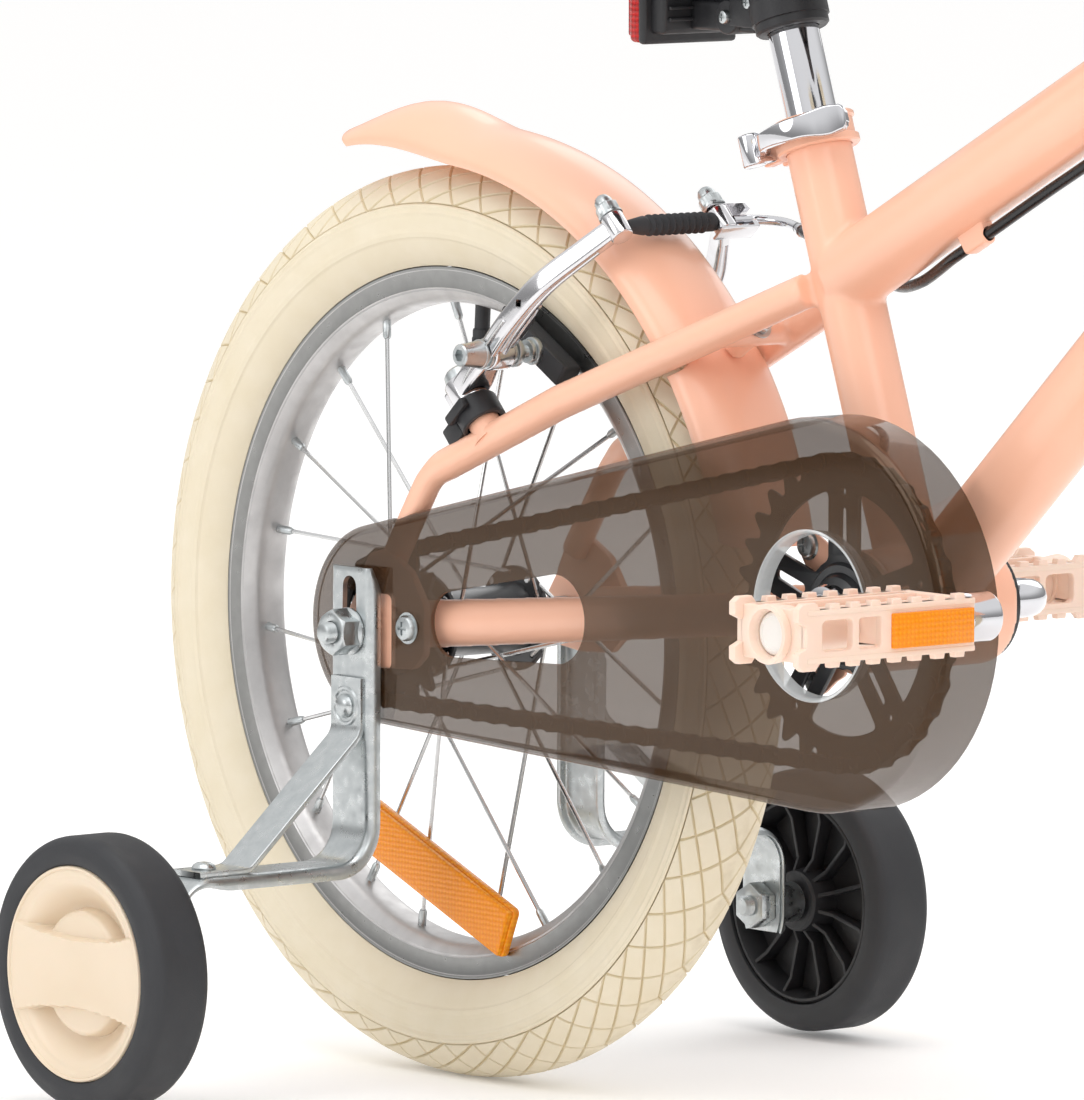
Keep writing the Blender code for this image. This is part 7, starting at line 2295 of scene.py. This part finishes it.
def addSeatPost():
    low, top = seat["tube"] - 70 * mm, seat["tube"] + seat["rise"]
    post = lathe(
        [
            (0, low), (seat["post"], low), (seat["post"], top - 28 * mm),
            (seat["post"] - 0.6 * mm, top - 25.5 * mm), (seat["post"] - 0.6 * mm, top), (0, top),
        ],
        56, closed=False,
    )
    place(post, Matrix.Rotation(math.pi / 2, 4, "X"))
    keep(post, "seatPostTube", "seat", "chromePlate", ["seat_post"], 40, seatFrame)


def upright(profile, steps=56, closed=True):
    return place(lathe(profile, steps, closed), Matrix.Rotation(math.pi / 2, 4, "X"))


def addSeatClamp():
    bottom, high = seat["tube"] - seat["collarHeight"], seat["collarHeight"]
    outer, bore, middle = seat["collar"], seat["tubeRadius"] + 0.3 * mm, bottom + seat["collarHeight"] / 2
    ring = upright(
        [
            (bore, bottom), (outer - 0.8 * mm, bottom), (outer, bottom + 0.8 * mm),
            (outer, bottom + 3.4 * mm), (outer - 1.4 * mm, bottom + 4.2 * mm),
            (outer - 1.4 * mm, bottom + high - 2.8 * mm), (outer - 0.3 * mm, bottom + high - 2 * mm),
            (outer - 0.3 * mm, bottom + high - 0.6 * mm), (outer - 0.9 * mm, bottom + high),
            (bore, bottom + high),
        ],
        64,
    )
    ears = [
        box((14 * mm, 6.4 * mm, high - 0.6 * mm), (-outer - 3 * mm, way * 5.3 * mm, middle), 1.2 * mm, 3)
        for way in (-1, 1)
    ]
    combine(ring, ears)
    carve(
        ring,
        [
            box((22 * mm, 2.8 * mm, 0.04), (-outer - 2 * mm, 0, middle)),
            rod((0, 0, bottom - 0.02), (0, 0, bottom + 0.04), bore, sides=56),
        ],
    )
    keep(ring, "seatCollar", "chassis", "peachPowderCoat", ["seat_clamp"], 35, seatFrame)
    x = -outer - 5.2 * mm
    nut = rod((x, 8.7 * mm, middle), (x, 14.6 * mm, middle), 5.3 * mm, 4.5 * mm, 32, 0.6 * mm, 3)
    bolt = rod((x, -11 * mm, middle), (x, 14 * mm, middle), 2.5 * mm, sides=24)
    keep(join([nut, bolt]), "collarBolt", "chassis", "chromePlate", angle=35, matrix=seatFrame)
    pivot = Vector((x, -16.8 * mm, middle))
    lever = seatFrame @ Matrix.Translation(pivot)
    barrel = rod((0, 0, -7 * mm), (0, 0, 7 * mm), 5.2 * mm, sides=36, edge=0.9 * mm, segments=3)
    prongs = [
        box((10 * mm, 10 * mm, 2.6 * mm), (0.5 * mm, 3.4 * mm, way * 5.0 * mm), 0.8 * mm)
        for way in (-1, 1)
    ]
    clear, start = outer + 3.75 * mm + 2.1 * mm, math.atan2(pivot.y, pivot.x) + 0.10
    last = math.radians(-38)
    path = [Vector((0, 0, 0))]
    for k in range(15):
        angle = start + (last - start) * (k + 1) / 15
        path.append(Vector((clear * math.cos(angle) - pivot.x, clear * math.sin(angle) - pivot.y, 0)))
    run = (path[-1] - path[-2]).normalized()
    away = Vector((run.y, -run.x, 0))
    path += [path[-1] + run * 6 * mm + away * 0.6 * mm, path[-1] + run * 13 * mm + away * 2.6 * mm]
    path = smoothPath(path, 60)
    blank = layFlat(plate([ribbon([p.xy for p in path], [4.2 * mm] * 60)], 12 * mm, 1.1 * mm, 3))
    for vertex in blank.data.vertices:  # the band widens towards its rounded tip
        near = min(range(60), key=lambda n: (path[n].xy - vertex.co.xy).length_squared)
        share = near / 59
        vertex.co.z *= eased(
            [(0, 0.72), (0.3, 0.62), (0.62, 0.80), (0.86, 1.10), (0.97, 0.95), (1.0, 0.45)], share
        )
    keep(
        join([barrel, blank] + prongs), "quickReleaseLever", "clamp_lever", "chromePlate",
        ["seat_clamp_lever"], 35, lever,
    )


def seatLevel(height):
    return seatFrame @ Matrix.Translation((0, 0, height)) @ Matrix.Rotation(-layout["seatTilt"], 4, "Y")


def addRearReflector():
    bottom = seat["tube"] + seat["bandAt"]
    bore = seat["post"] + 0.3 * mm
    wide = seat["post"] + 5 * mm
    band = upright(
        [
            (bore, bottom), (wide - 1 * mm, bottom), (wide, bottom + 1 * mm),
            (wide, bottom + seat["band"] - 1 * mm), (wide - 1 * mm, bottom + seat["band"]),
            (bore, bottom + seat["band"]),
        ],
        56,
    )
    upperRing = upright(
        [
            (wide - 1 * mm, bottom + 4 * mm), (wide + 0.9 * mm, bottom + 4.6 * mm),
            (wide + 0.9 * mm, bottom + 13.4 * mm), (wide - 1 * mm, bottom + 14 * mm),
        ],
        56,
    )
    middle = bottom + seat["band"] / 2
    level = seatLevel(middle)
    local = seatFrame.inverted() @ level
    arm = box((0.044, 14 * mm, 13 * mm), (-0.036, 0, -4 * mm), 1.6 * mm, 3)
    hinge = rod(
        (-0.030, -10 * mm, -4 * mm), (-0.030, 10 * mm, -4 * mm), 7.6 * mm, sides=40, edge=1 * mm,
        segments=3,
    )
    ears = [box((16 * mm, 3.4 * mm, 12 * mm), (-0.020, way * 8.6 * mm, -2 * mm), 1 * mm) for way in (-1, 1)]
    back = box((11 * mm, 45 * mm, 38 * mm), (-0.0620, 0, 6.5 * mm), 2.4 * mm, 4)
    ribs = [
        box((2.2 * mm, 40 * mm, 1.6 * mm), (-0.0556, 0, z * mm), 0.5 * mm) for z in (-6, -1, 4, 9, 14, 19)
    ]
    frameRim = box((4.6 * mm, 53 * mm, 47 * mm), (-0.0672, 0, 6.5 * mm), 1.8 * mm, 3)
    housing = place(join([arm, hinge, back, frameRim] + ears + ribs), local)
    keep(
        join([band, upperRing, housing]), "reflectorClamp", "seat", "blackNylon",
        ["reflector_bracket"], 35, seatFrame,
    )
    screws = []
    for at in ((-0.030, -4 * mm), (-0.014, 3 * mm)):
        screw = place(panScrew(3.1 * mm, 2.2 * mm), Matrix.Translation((at[0], -10.2 * mm, at[1])))
        screws.append(screw)
    keep(
        place(join(screws), local), "reflectorScrews", "seat", "zincPlate", angle=40,
        matrix=seatFrame,
    )
    lens = box(seat["lens"], (-0.068 - 0.3 * mm - seat["lens"][0] / 2, 0, 6.5 * mm), 2.6 * mm, 4)
    border = box((seat["lens"][0] * 0.7, 47 * mm, 41 * mm), (-0.0770, 0, 6.5 * mm), 1.5 * mm, 3)
    keep(join([lens, border]), "rearLens", "seat", "redPrism", ["rear_reflector"], 35, level)


def saddleHalf(share):
    return eased(
        [(0.0, 0.30), (0.10, 0.86), (0.24, 1.0), (0.42, 0.74), (0.62, 0.36), (0.90, 0.25), (1.0, 0.12)],
        share,
    ) * seat["width"] / 2


def addSaddleBase():
    top = seat["tube"] + seat["rise"]
    level = seatLevel(top)
    local = seatFrame.inverted() @ level
    sleeve = upright(
        [
            (seat["post"] - 0.3 * mm, top - 24 * mm), (seat["post"] + 3.6 * mm, top - 24 * mm),
            (seat["post"] + 4.5 * mm, top - 22 * mm), (seat["post"] + 4.5 * mm, top + 2 * mm),
            (seat["post"] + 3 * mm, top + 4 * mm), (seat["post"] - 0.3 * mm, top + 4 * mm),
        ],
        48,
    )
    cheeks = [box((24 * mm, 8 * mm, 17 * mm), (0, way * 20.5 * mm, -6 * mm), 2 * mm, 3) for way in (-1, 1)]
    yoke = rod((0, -27 * mm, -7 * mm), (0, 27 * mm, -7 * mm), 4 * mm, sides=24)
    nuts = [hexHead((0, way * 25 * mm, -7 * mm), (0, way, 0), 12 * mm, 5 * mm) for way in (-1, 1)]
    tail, nose = -seat["length"] * 0.298, seat["length"] * 0.396
    rails = []
    for side in sides.values():
        high = seat["plateTop"] - 3.6 * mm
        points = [
            (tail, side * seat["width"] * 0.227, high),
            (-seat["length"] * 0.221, side * 20 * mm, -6 * mm),
            (seat["length"] * 0.1915, side * 20 * mm, -6 * mm),
            (nose, side * seat["width"] * 0.0533, high),
        ]
        route = arcPath([Vector(p) + Vector((seat["shift"], 0, 0)) for p in points], 20 * mm, 8)
        rails.append(tube(route, 3.5 * mm, facets=5))
    clampParts = place(join(cheeks + [yoke] + nuts), local)
    keep(
        join([sleeve, clampParts]), "saddleClamp", "seat", "blackCoatedSteel", angle=35,
        matrix=seatFrame,
    )
    keep(join(rails), "saddleRails", "seat", "blackCoatedSteel", angle=50, matrix=level)
    # Moulded pan under the cushion, its rim turned up over the cover's edge
    pan = gridSheet(30, 60)
    for vertex in pan.data.vertices:
        share, across = (vertex.co.x + 1) / 2, vertex.co.y
        half = saddleHalf(min(max(share, 0.015), 0.985)) * 0.90
        lift = eased([(0.0, 0.0), (0.7, 0.8 * mm), (1.0, 6.0 * mm)], abs(across))
        vertex.co = (
            seat["length"] * (share - 0.5) * 0.955 + seat["shift"], across * half,
            seat["plateTop"] - 3.6 * mm + lift,
        )
    modify(pan, "SOLIDIFY", thickness=2.4 * mm, offset=0, use_even_offset=False)
    bosses = []
    for x, width in ((tail, seat["width"] * 0.5), (nose, seat["width"] * 0.17)):
        bosses.append(
            box((26 * mm, width, 5 * mm), (x + seat["shift"], 0, seat["plateTop"] - 5 * mm), 1.6 * mm, 3)
        )
    keep(join([pan] + bosses), "saddlePan", "seat", "blackNylon", ["saddle_base"], 40, level)


def saddleForm(shrink):
    # A closed rounded loft from tail to nose with its sides drawn in under the edge
    deselectAll()
    bpy.ops.mesh.primitive_uv_sphere_add(segments=64, ring_count=48, radius=1)
    form = bpy.context.object
    place(form, Matrix.Rotation(math.pi / 2, 4, "Y"))
    crownFull = seat["thick"] * seat["share"]
    for vertex in form.data.vertices:
        x, y, z = vertex.co
        share = 0.5 + math.asin(max(min(x, 1), -1)) / math.pi
        ring = math.hypot(y, z)
        c, s = (y / ring, z / ring) if ring > 1e-6 else (0.0, 0.0)
        half = saddleHalf(share) - shrink
        crown = crownFull * (0.86 + 0.14 * math.cos(2 * math.pi * share))
        crown *= eased([(0.0, 0.45), (0.09, 1.0), (0.93, 0.95), (1.0, 0.5)], share)
        closing = min(1.0, ring / 0.10) ** 0.5
        across = half * math.copysign(abs(c) ** 0.8, c) * (1 - (0.16 * abs(s) if s < 0 else 0)) * closing
        rise = (crown - shrink) * abs(s) ** 0.75 if s > 0 else -seat["underside"] * crown * abs(s) ** 0.6
        vertex.co = ((seat["length"] - 2 * shrink) * (share - 0.5), across, rise * closing)
    return weld(form)


inflating = {"pressure": 4, "tension": 40, "bending": 2, "frames": 20, "most": 4.5 * mm}


def addCushion():
    bottom = seat["plateTop"] + seat["underside"] * seat["share"] * seat["thick"]
    pad = saddleForm(2.4 * mm)
    modify(pad, "REMESH", mode="VOXEL", voxel_size=4.2 * mm, adaptivity=0.0)
    modify(pad, "SMOOTH", factor=0.5, iterations=4)
    rest = [vertex.co.copy() for vertex in pad.data.vertices]
    activate(pad)
    cloth = pad.modifiers.new("cloth", "CLOTH")
    cloth.settings.use_pressure = True
    cloth.settings.uniform_pressure_force = inflating["pressure"]
    cloth.settings.effector_weights.gravity = 0
    cloth.settings.tension_stiffness = inflating["tension"]
    cloth.settings.bending_stiffness = inflating["bending"]
    scene = bpy.context.scene
    for frameNumber in range(1, inflating["frames"] + 1):
        scene.frame_set(frameNumber)
    bpy.ops.object.modifier_apply(modifier=cloth.name)
    scene.frame_set(1)
    cap = inflating["most"]
    low = -seat["underside"] * seat["share"] * seat["thick"] * 0.72
    for vertex, start in zip(pad.data.vertices, rest):
        move = vertex.co - start
        if move.length > cap:
            vertex.co = start + move.normalized() * cap
        vertex.co.z = max(vertex.co.z, low)
        # Sewn channel: the cover is pulled down along a line a finger's width inside the edge
        share = vertex.co.x / seat["length"] + 0.5
        if vertex.co.z > 0 and 0.04 < share < 0.97:
            half = saddleHalf(share)
            inset = abs(abs(vertex.co.y) / half - 0.62)
            vertex.co.z -= 1.6 * mm * math.exp(-(inset / 0.055) ** 2) * eased(
                [(0.04, 0), (0.12, 1), (0.55, 1), (0.68, 0)], share
            )
    modify(pad, "SUBSURF", levels=1, render_levels=1)
    level = seatLevel(seat["tube"] + seat["rise"]) @ Matrix.Translation((seat["shift"], 0, bottom))
    addPiping(pad, level)
    keep(pad, "saddleCushion", "seat", "tanLeatherette", ["saddle_cushion"], 60, level)


def addPiping(pad, level):
    # A cord sewn round the cover where the cushion, as it has settled, is widest
    bpy.context.view_layer.update()
    centre, edge = Vector((-30 * mm, 0, 0)), []
    for k in range(90):
        away = Vector((math.cos(k * math.pi / 45), math.sin(k * math.pi / 45), 0))
        found, spot = pad.ray_cast(centre + away * seat["length"], -away)[:2]
        if found:
            edge.append(spot + away * 0.3 * mm)
    cord = tube(smoothPath(edge + [edge[0]], 260), 1.3 * mm, facets=3)
    keep(cord, "saddlePiping", "seat", "tanLeatherette", angle=60, matrix=level)


addSeatPost()
addSeatClamp()
addRearReflector()
addSaddleBase()
addCushion()
print("stage: seat")

# Steering: fork, bearings, stem, bar with its levers, grips and bell. Drawn along the steering axis
front = {
    "crownDrop": 37.6 * mm, "steerer": 12.7 * mm, "spread": 45.5 * mm, "blade": 11.5 * mm,
    "dropout": 45.5 * mm, "lug": 4 * mm, "headRadius": 18.2 * mm, "stem": 11 * mm, "perch": 16 * mm,
    "leverBlade": 7.5 * mm, "gripRadius": 15.5 * mm, "gripRings": 15, "bellAt": 27 * mm,
}


def addHeadset():
    top, foot, stack = layout["forkLength"] + layout["headTube"], layout["forkLength"], layout["stack"]
    bore, flange = front["steerer"] + 0.6 * mm, front["headRadius"] + 1 * mm
    upper = [
        (bore, top + 0.3 * mm), (flange, top + 0.3 * mm), (flange, top + 3.4 * mm),
        (flange - 1.4 * mm, top + 4.4 * mm), (flange - 1.2 * mm, top + 6.4 * mm),
        (flange - 0.2 * mm, top + 7.2 * mm), (flange - 0.6 * mm, top + 9.4 * mm),
        (flange - 3.6 * mm, top + stack), (bore, top + stack),
    ]
    lower = [
        (bore, foot - stack), (flange - 3 * mm, foot - stack), (flange - 1 * mm, foot - 11.4 * mm),
        (flange - 0.2 * mm, foot - 8 * mm), (flange - 1.4 * mm, foot - 6.4 * mm),
        (flange, foot - 4.6 * mm), (flange, foot - 0.3 * mm), (bore, foot - 0.3 * mm),
    ]
    keep(
        upright(upper, 64), "upperHeadset", "chassis", "chromePlate", ["headset_upper_cup"], 30,
        steerFrame,
    )
    keep(
        upright(lower, 64), "lowerHeadset", "chassis", "chromePlate", ["headset_lower_cup"], 30,
        steerFrame,
    )


def addFork():
    crown = layout["forkLength"] - front["crownDrop"]
    race = layout["forkLength"] - layout["stack"] - 0.6 * mm
    wide = front["spread"] - 4 * mm
    pieces = [
        rod((0, 0, crown), (0, 0, race - 1 * mm), front["steerer"], sides=48),
        rod((0, 0, crown - 10 * mm), (0, 0, race - 0.4 * mm), 18.4 * mm, 16.8 * mm, sides=56),
        rod((0, -wide, crown), (0, wide, crown), 12.6 * mm, sides=48),
    ]
    for side in sides.values():
        route = [
            (0, side * wide, crown + 6 * mm), (0, side * front["spread"], 0.125),
            (layout["rake"] - 3 * mm, side * (front["spread"] + 1.5 * mm), 14 * mm),
        ]
        line = smoothPath(arcPath(route, 0.10, 8), 44)
        pieces.append(tube(line, front["blade"], [1.0 - 0.32 * k / 43 for k in range(44)], 7))
    axle = Vector((layout["rake"], 0, 0))
    toCrown = (Vector((0, 0, crown)) - axle).normalized()
    pieces.append(rod(axle + toCrown * 0.2226, (0, 0, crown), 6 * mm, sides=32))
    keep(
        fuse(pieces, 1.5 * mm), "forkBlades", "steering", "peachPowderCoat", ["fork"], 50,
        steerFrame,
    )
    lugs = []
    outline = [(-13, -4), (-8, -12), (6, -12), (12, -4), (9, 20), (-12, 22)]
    for side in sides.values():
        lug = plate(
            [rounded([(x * mm, z * mm) for x, z in outline], 3.5 * mm), circle((0, 0), 5.1 * mm, 24)],
            front["lug"], 0.5 * mm,
        )
        lugs.append(
            place(
                lug, Matrix.Translation((layout["rake"], side * (front["dropout"] + front["lug"] / 2), 0))
            )
        )
        foot = Vector((0, brake["frontFoot"].y * side, brake["frontFoot"].z))
        ahead = Vector((1, 0, 0))
        face = foot + ahead * brake["boss"]
        lugs.append(
            tube(
                [
                    foot, foot + ahead * 10 * mm, foot + ahead * 12 * mm, face - ahead * 4 * mm,
                    face - ahead * 2.2 * mm, face - ahead * 1.9 * mm, face,
                ],
                brake["bossRadius"], [1.2, 1.2, 1.0, 1.0, 1.12, 1.2, 1.2], 6,
            )
        )
    keep(join(lugs), "forkLugs", "steering", "peachPowderCoat", matrix=steerFrame)
    steerer = rod(
        (0, 0, race), (0, 0, layout["forkLength"] + layout["headTube"] + layout["stack"]),
        front["steerer"], sides=40,
    )
    keep(steerer, "steererTube", "steering", "peachPowderCoat", matrix=steerFrame)


def addFrontAxle():
    nut = front["dropout"] + front["lug"] + 0.3 * mm
    core = lathe(
        [
            (0, -nut), (4.6 * mm, -nut), (4.6 * mm, -45.3 * mm), (7.8 * mm, -45.2 * mm),
            (7.8 * mm, -42 * mm), (6.2 * mm, -38 * mm), (6.2 * mm, -30.3 * mm), (4.6 * mm, -30.3 * mm),
            (4.6 * mm, 30.3 * mm), (6.2 * mm, 30.3 * mm), (6.2 * mm, 38 * mm), (7.8 * mm, 42 * mm),
            (7.8 * mm, 45.2 * mm), (4.6 * mm, 45.3 * mm), (4.6 * mm, nut), (0, nut),
        ],
        32, closed=False,
    )
    pieces = [core]
    for side in sides.values():
        end = threaded(nut - 1 * mm, nut + 13.4 * mm, 4.7 * mm)
        pieces.append(end if side > 0 else place(end, mirrorY))
        cap = flangedNut(nut, side)
        pieces.append(cap)
    matrix = steerFrame @ Matrix.Translation((layout["rake"], 0, 0))
    keep(join(pieces), "frontAxleSpindle", "steering", "zincPlate", ["front_axle"], 30, matrix)


def addStem():
    base = layout["forkLength"] + layout["headTube"] + layout["stack"] + 0.3 * mm
    high, reach = layout["barBase"], bar["reach"]
    solid = [
        rod((0, 0, base + 4 * mm), (0, 0, high + 1 * mm), front["stem"], sides=48),
        rod((0, 0, high - 10 * mm), (reach, 0, high), 11.5 * mm, 10.5 * mm, sides=48),
        rod((reach, -20 * mm, high), (reach, 20 * mm, high), bar["radius"] + 4.5 * mm, sides=56),
        box((10 * mm, 26 * mm, 8 * mm), (reach + 12 * mm, 0, high - 10 * mm), 2 * mm),
    ]
    body = fuse(solid, 1.1 * mm, 4)
    carve(
        body,
        [
            rod((reach, -0.03, high), (reach, 0.03, high), bar["radius"] + 0.3 * mm, sides=48),
            box((30 * mm, 0.05, 1.6 * mm), (reach + 15 * mm, 0, high - 7 * mm)),
        ],
    )
    nut = upright(
        [
            (front["stem"] - 1 * mm, base), (16.2 * mm, base), (16.2 * mm, base + 1.2 * mm),
            (13 * mm, base + 2 * mm), (front["stem"] - 1 * mm, base + 2 * mm),
        ],
        48,
    )
    lock = rod((0, 0, base + 1 * mm), (0, 0, base + 8 * mm), 16.2 * mm, sides=6, edge=0.7 * mm)
    keep(
        join([body, nut, lock]), "stemForging", "steering", "blackCoatedSteel", ["stem"],
        40, steerFrame,
    )
    bolts = [
        hexHead((0, 0, high + 0.5 * mm), (0, 0, 1), 12 * mm, 4.5 * mm),
        hexHead((reach + 13 * mm, 0, high - 14 * mm), (0, 0, -1), 10 * mm, 4 * mm),
    ]
    keep(join(bolts), "stemBolts", "steering", "zincPlate", angle=30, matrix=steerFrame)


def addBar():
    base, reach, half = layout["barBase"], bar["reach"], bar["half"]
    line = [
        Vector((reach, 0, base)), Vector((reach, half * 0.1832, base)),
        Vector((reach, half * 0.42, base + bar["rise"])),
    ]
    pivot, start, along = leverPivot(1)
    tip = Vector((reach - 34 * mm, half, base + bar["rise"] + 4 * mm))
    line += [start, tip]
    right = [Vector((p.x, -p.y, p.z)) for p in line[:0:-1]]
    route = arcPath(right + line[1:], 35 * mm, 10)
    pieces = [tube(route, bar["radius"], facets=9)]
    keep(pieces[0], "riserBar", "steering", "blackCoatedSteel", ["handlebar"], 50, steerFrame)
    for name, side in sides.items():
        pivot, start, along = leverPivot(side)
        middle = start - along * front["perch"]
        clamp = rod(
            middle - along * 8 * mm, middle + along * 8 * mm, bar["radius"] + 4.2 * mm, sides=48,
            edge=1.4 * mm, segments=3,
        )
        arm = box((30 * mm, 16 * mm, 16.4 * mm), (middle.x + 18 * mm, middle.y, middle.z), 3 * mm, 4)
        body = combine(clamp, [arm])
        carve(
            body,
            [
                box(
                    (26 * mm, 60 * mm, front["leverBlade"] + 1.2 * mm),
                    (pivot.x + 3.4 * mm, pivot.y + side * 12 * mm, pivot.z),
                ),
                rod(middle - along * 0.02, middle + along * 0.02, bar["radius"] + 0.2 * mm, sides=48),
            ],
        )
        keep(body, name + "LeverPerch", "steering", "blackNylon", angle=35, matrix=steerFrame)
        pin = rod(
            (pivot.x, pivot.y, pivot.z - 7.6 * mm), (pivot.x, pivot.y, pivot.z + 8.2 * mm), 2.2 * mm,
            sides=20,
        )
        screw = rod(
            (pivot.x, pivot.y, pivot.z + 8 * mm), (pivot.x, pivot.y, pivot.z + 9.6 * mm), 4 * mm,
            sides=28, edge=0.5 * mm,
        )
        inward = Vector((0, -side, 0))
        adjuster = rod(
            pivot + Vector((-12 * mm, 0, 0)) + inward * 7.4 * mm,
            pivot + Vector((-12 * mm, 0, 0)) + inward * 17 * mm, 4.2 * mm, 3.4 * mm, 24, 0.5 * mm,
        )
        keep(
            join([pin, screw]), name + "LeverPin", "steering", "zincPlate", angle=30,
            matrix=steerFrame,
        )
        keep(
            adjuster, name + "CableAdjuster", "steering", "blackNylon", angle=30,
            matrix=steerFrame,
        )
        addLever(name, side, pivot)


def addLever(name, side, pivot):
    path = smoothPath(
        millimetres([(-4, 0, 0), (4, 0.5, 0), (12, 14, 0), (13, 40, 0), (7, 70, 0), (5.5, 90, 0)]), 40
    )
    widths = [
        eased(
            [
                (0, 7 * mm), (0.12, 11 * mm), (0.3, 10 * mm), (0.8, 8.4 * mm), (0.95, 10.5 * mm),
                (1, 7 * mm),
            ],
            k / 39,
        )
        for k in range(40)
    ]
    blade = layFlat(
        plate(
            [ribbon([p.xy for p in path], widths), circle((0, 0), 2.5 * mm, 20)], front["leverBlade"],
            1.8 * mm, 4,
        )
    )
    knob = rod(
        (6 * mm, 88 * mm, -3.6 * mm), (6 * mm, 88 * mm, 3.6 * mm), 6 * mm, sides=32, edge=1.6 * mm,
        segments=4,
    )
    matrix = steerFrame @ Matrix.Translation(pivot)
    if side < 0:
        matrix = matrix @ mirrorY
    keep(
        join([blade, knob]), name + "BrakeLever", "lever_" + name, "blackNylon",
        ["brake_lever_" + name], 40, matrix,
    )


def addGrips():
    for name, side in sides.items():
        along = leverPivot(side)[2]
        tip = Vector((bar["reach"] - 34 * mm, side * bar["half"], layout["barBase"] + bar["rise"] + 4 * mm))
        length, radius = bar["grip"], front["gripRadius"]
        profile = [
            (bar["radius"] + 0.3 * mm, 0), (radius + 3.6 * mm, 0), (radius + 4 * mm, 0.8 * mm),
            (radius + 4 * mm, 3 * mm), (radius + 3 * mm, 4.2 * mm), (radius - 0.4 * mm, 5 * mm),
        ]
        pitch = (length - 16 * mm) / front["gripRings"]
        for k in range(front["gripRings"]):
            low = 7 * mm + k * pitch
            profile += [
                (radius - 1.2 * mm, low), (radius - 1.2 * mm, low + 0.28 * pitch),
                (radius - 0.1 * mm, low + 0.42 * pitch), (radius, low + 0.66 * pitch),
                (radius - 0.2 * mm, low + 0.86 * pitch),
            ]
        profile += [
            (radius + 1.6 * mm, length - 6 * mm), (radius + 2.5 * mm, length - 3 * mm),
            (radius + 1.6 * mm, length), (bar["radius"] * 0.6, length + 0.6 * mm), (0, length + 0.5 * mm),
            (0, length - 2 * mm), (bar["radius"] + 0.3 * mm, length - 2.4 * mm),
        ]
        grip = lathe(profile, 64)
        aim = along.to_track_quat("Y", "Z").to_matrix().to_4x4()
        base = tip - along * (length - 3 * mm)
        keep(
            place(grip, Matrix.Translation(base) @ aim), name + "Grip", "steering",
            "creamGripRubber", ["grip_" + name], 40, steerFrame,
        )


def addBell():
    middle = Vector((bar["reach"], front["bellAt"], layout["barBase"]))
    band = lathe(
        [
            (bar["radius"] + 0.3 * mm, -4.2 * mm), (bar["radius"] + 3.2 * mm, -4.2 * mm),
            (bar["radius"] + 3.5 * mm, -3.4 * mm), (bar["radius"] + 3.5 * mm, 3.4 * mm),
            (bar["radius"] + 3.2 * mm, 4.2 * mm), (bar["radius"] + 0.3 * mm, 4.2 * mm),
        ],
        48,
    )
    place(band, Matrix.Translation(middle))
    post = rod(middle + Vector((0, 0, 13 * mm)), middle + Vector((0, 0, 21 * mm)), 5 * mm, sides=28)
    dish = upright(millimetres([(0, 19.6), (20.4, 19.6), (20.4, 20.4), (0, 20.4)]), 56, closed=False)
    dome = millimetres(
        [
            (0, 34.6), (2.6, 34.5), (3.0, 33.9), (6.0, 33.8), (10.5, 32.6), (14.6, 30.2), (17.8, 27.2),
            (19.9, 23.6), (20.8, 20.6), (21.0, 19.4), (20.2, 19.2), (19.2, 23.4), (17.0, 26.8),
            (14.0, 29.6), (10.2, 31.8), (5.8, 33), (0, 33.2),
        ]
    )
    cap = upright(dome, 64, closed=False)
    for piece in (dish, cap):
        place(piece, Matrix.Translation((middle.x, middle.y, middle.z)))
    thumb = layFlat(
        plate(
            [
                ribbon(
                    millimetres([(0, 14), (-4, 21), (-8, 27), (-10, 31)]),
                    [6 * mm, 5 * mm, 6 * mm, 8 * mm],
                )
            ],
            2.2 * mm, 0.8 * mm, 3,
        )
    )
    place(thumb, Matrix.Translation(middle + Vector((0, 0, 16.6 * mm))))
    keep(
        join([band, post, dish, cap, thumb]), "domeBell", "steering", "chromePlate", ["bell"],
        45, steerFrame,
    )


addHeadset()
addFork()
addFrontAxle()
addStem()
addBar()
addGrips()
addBell()
print("stage: steering")
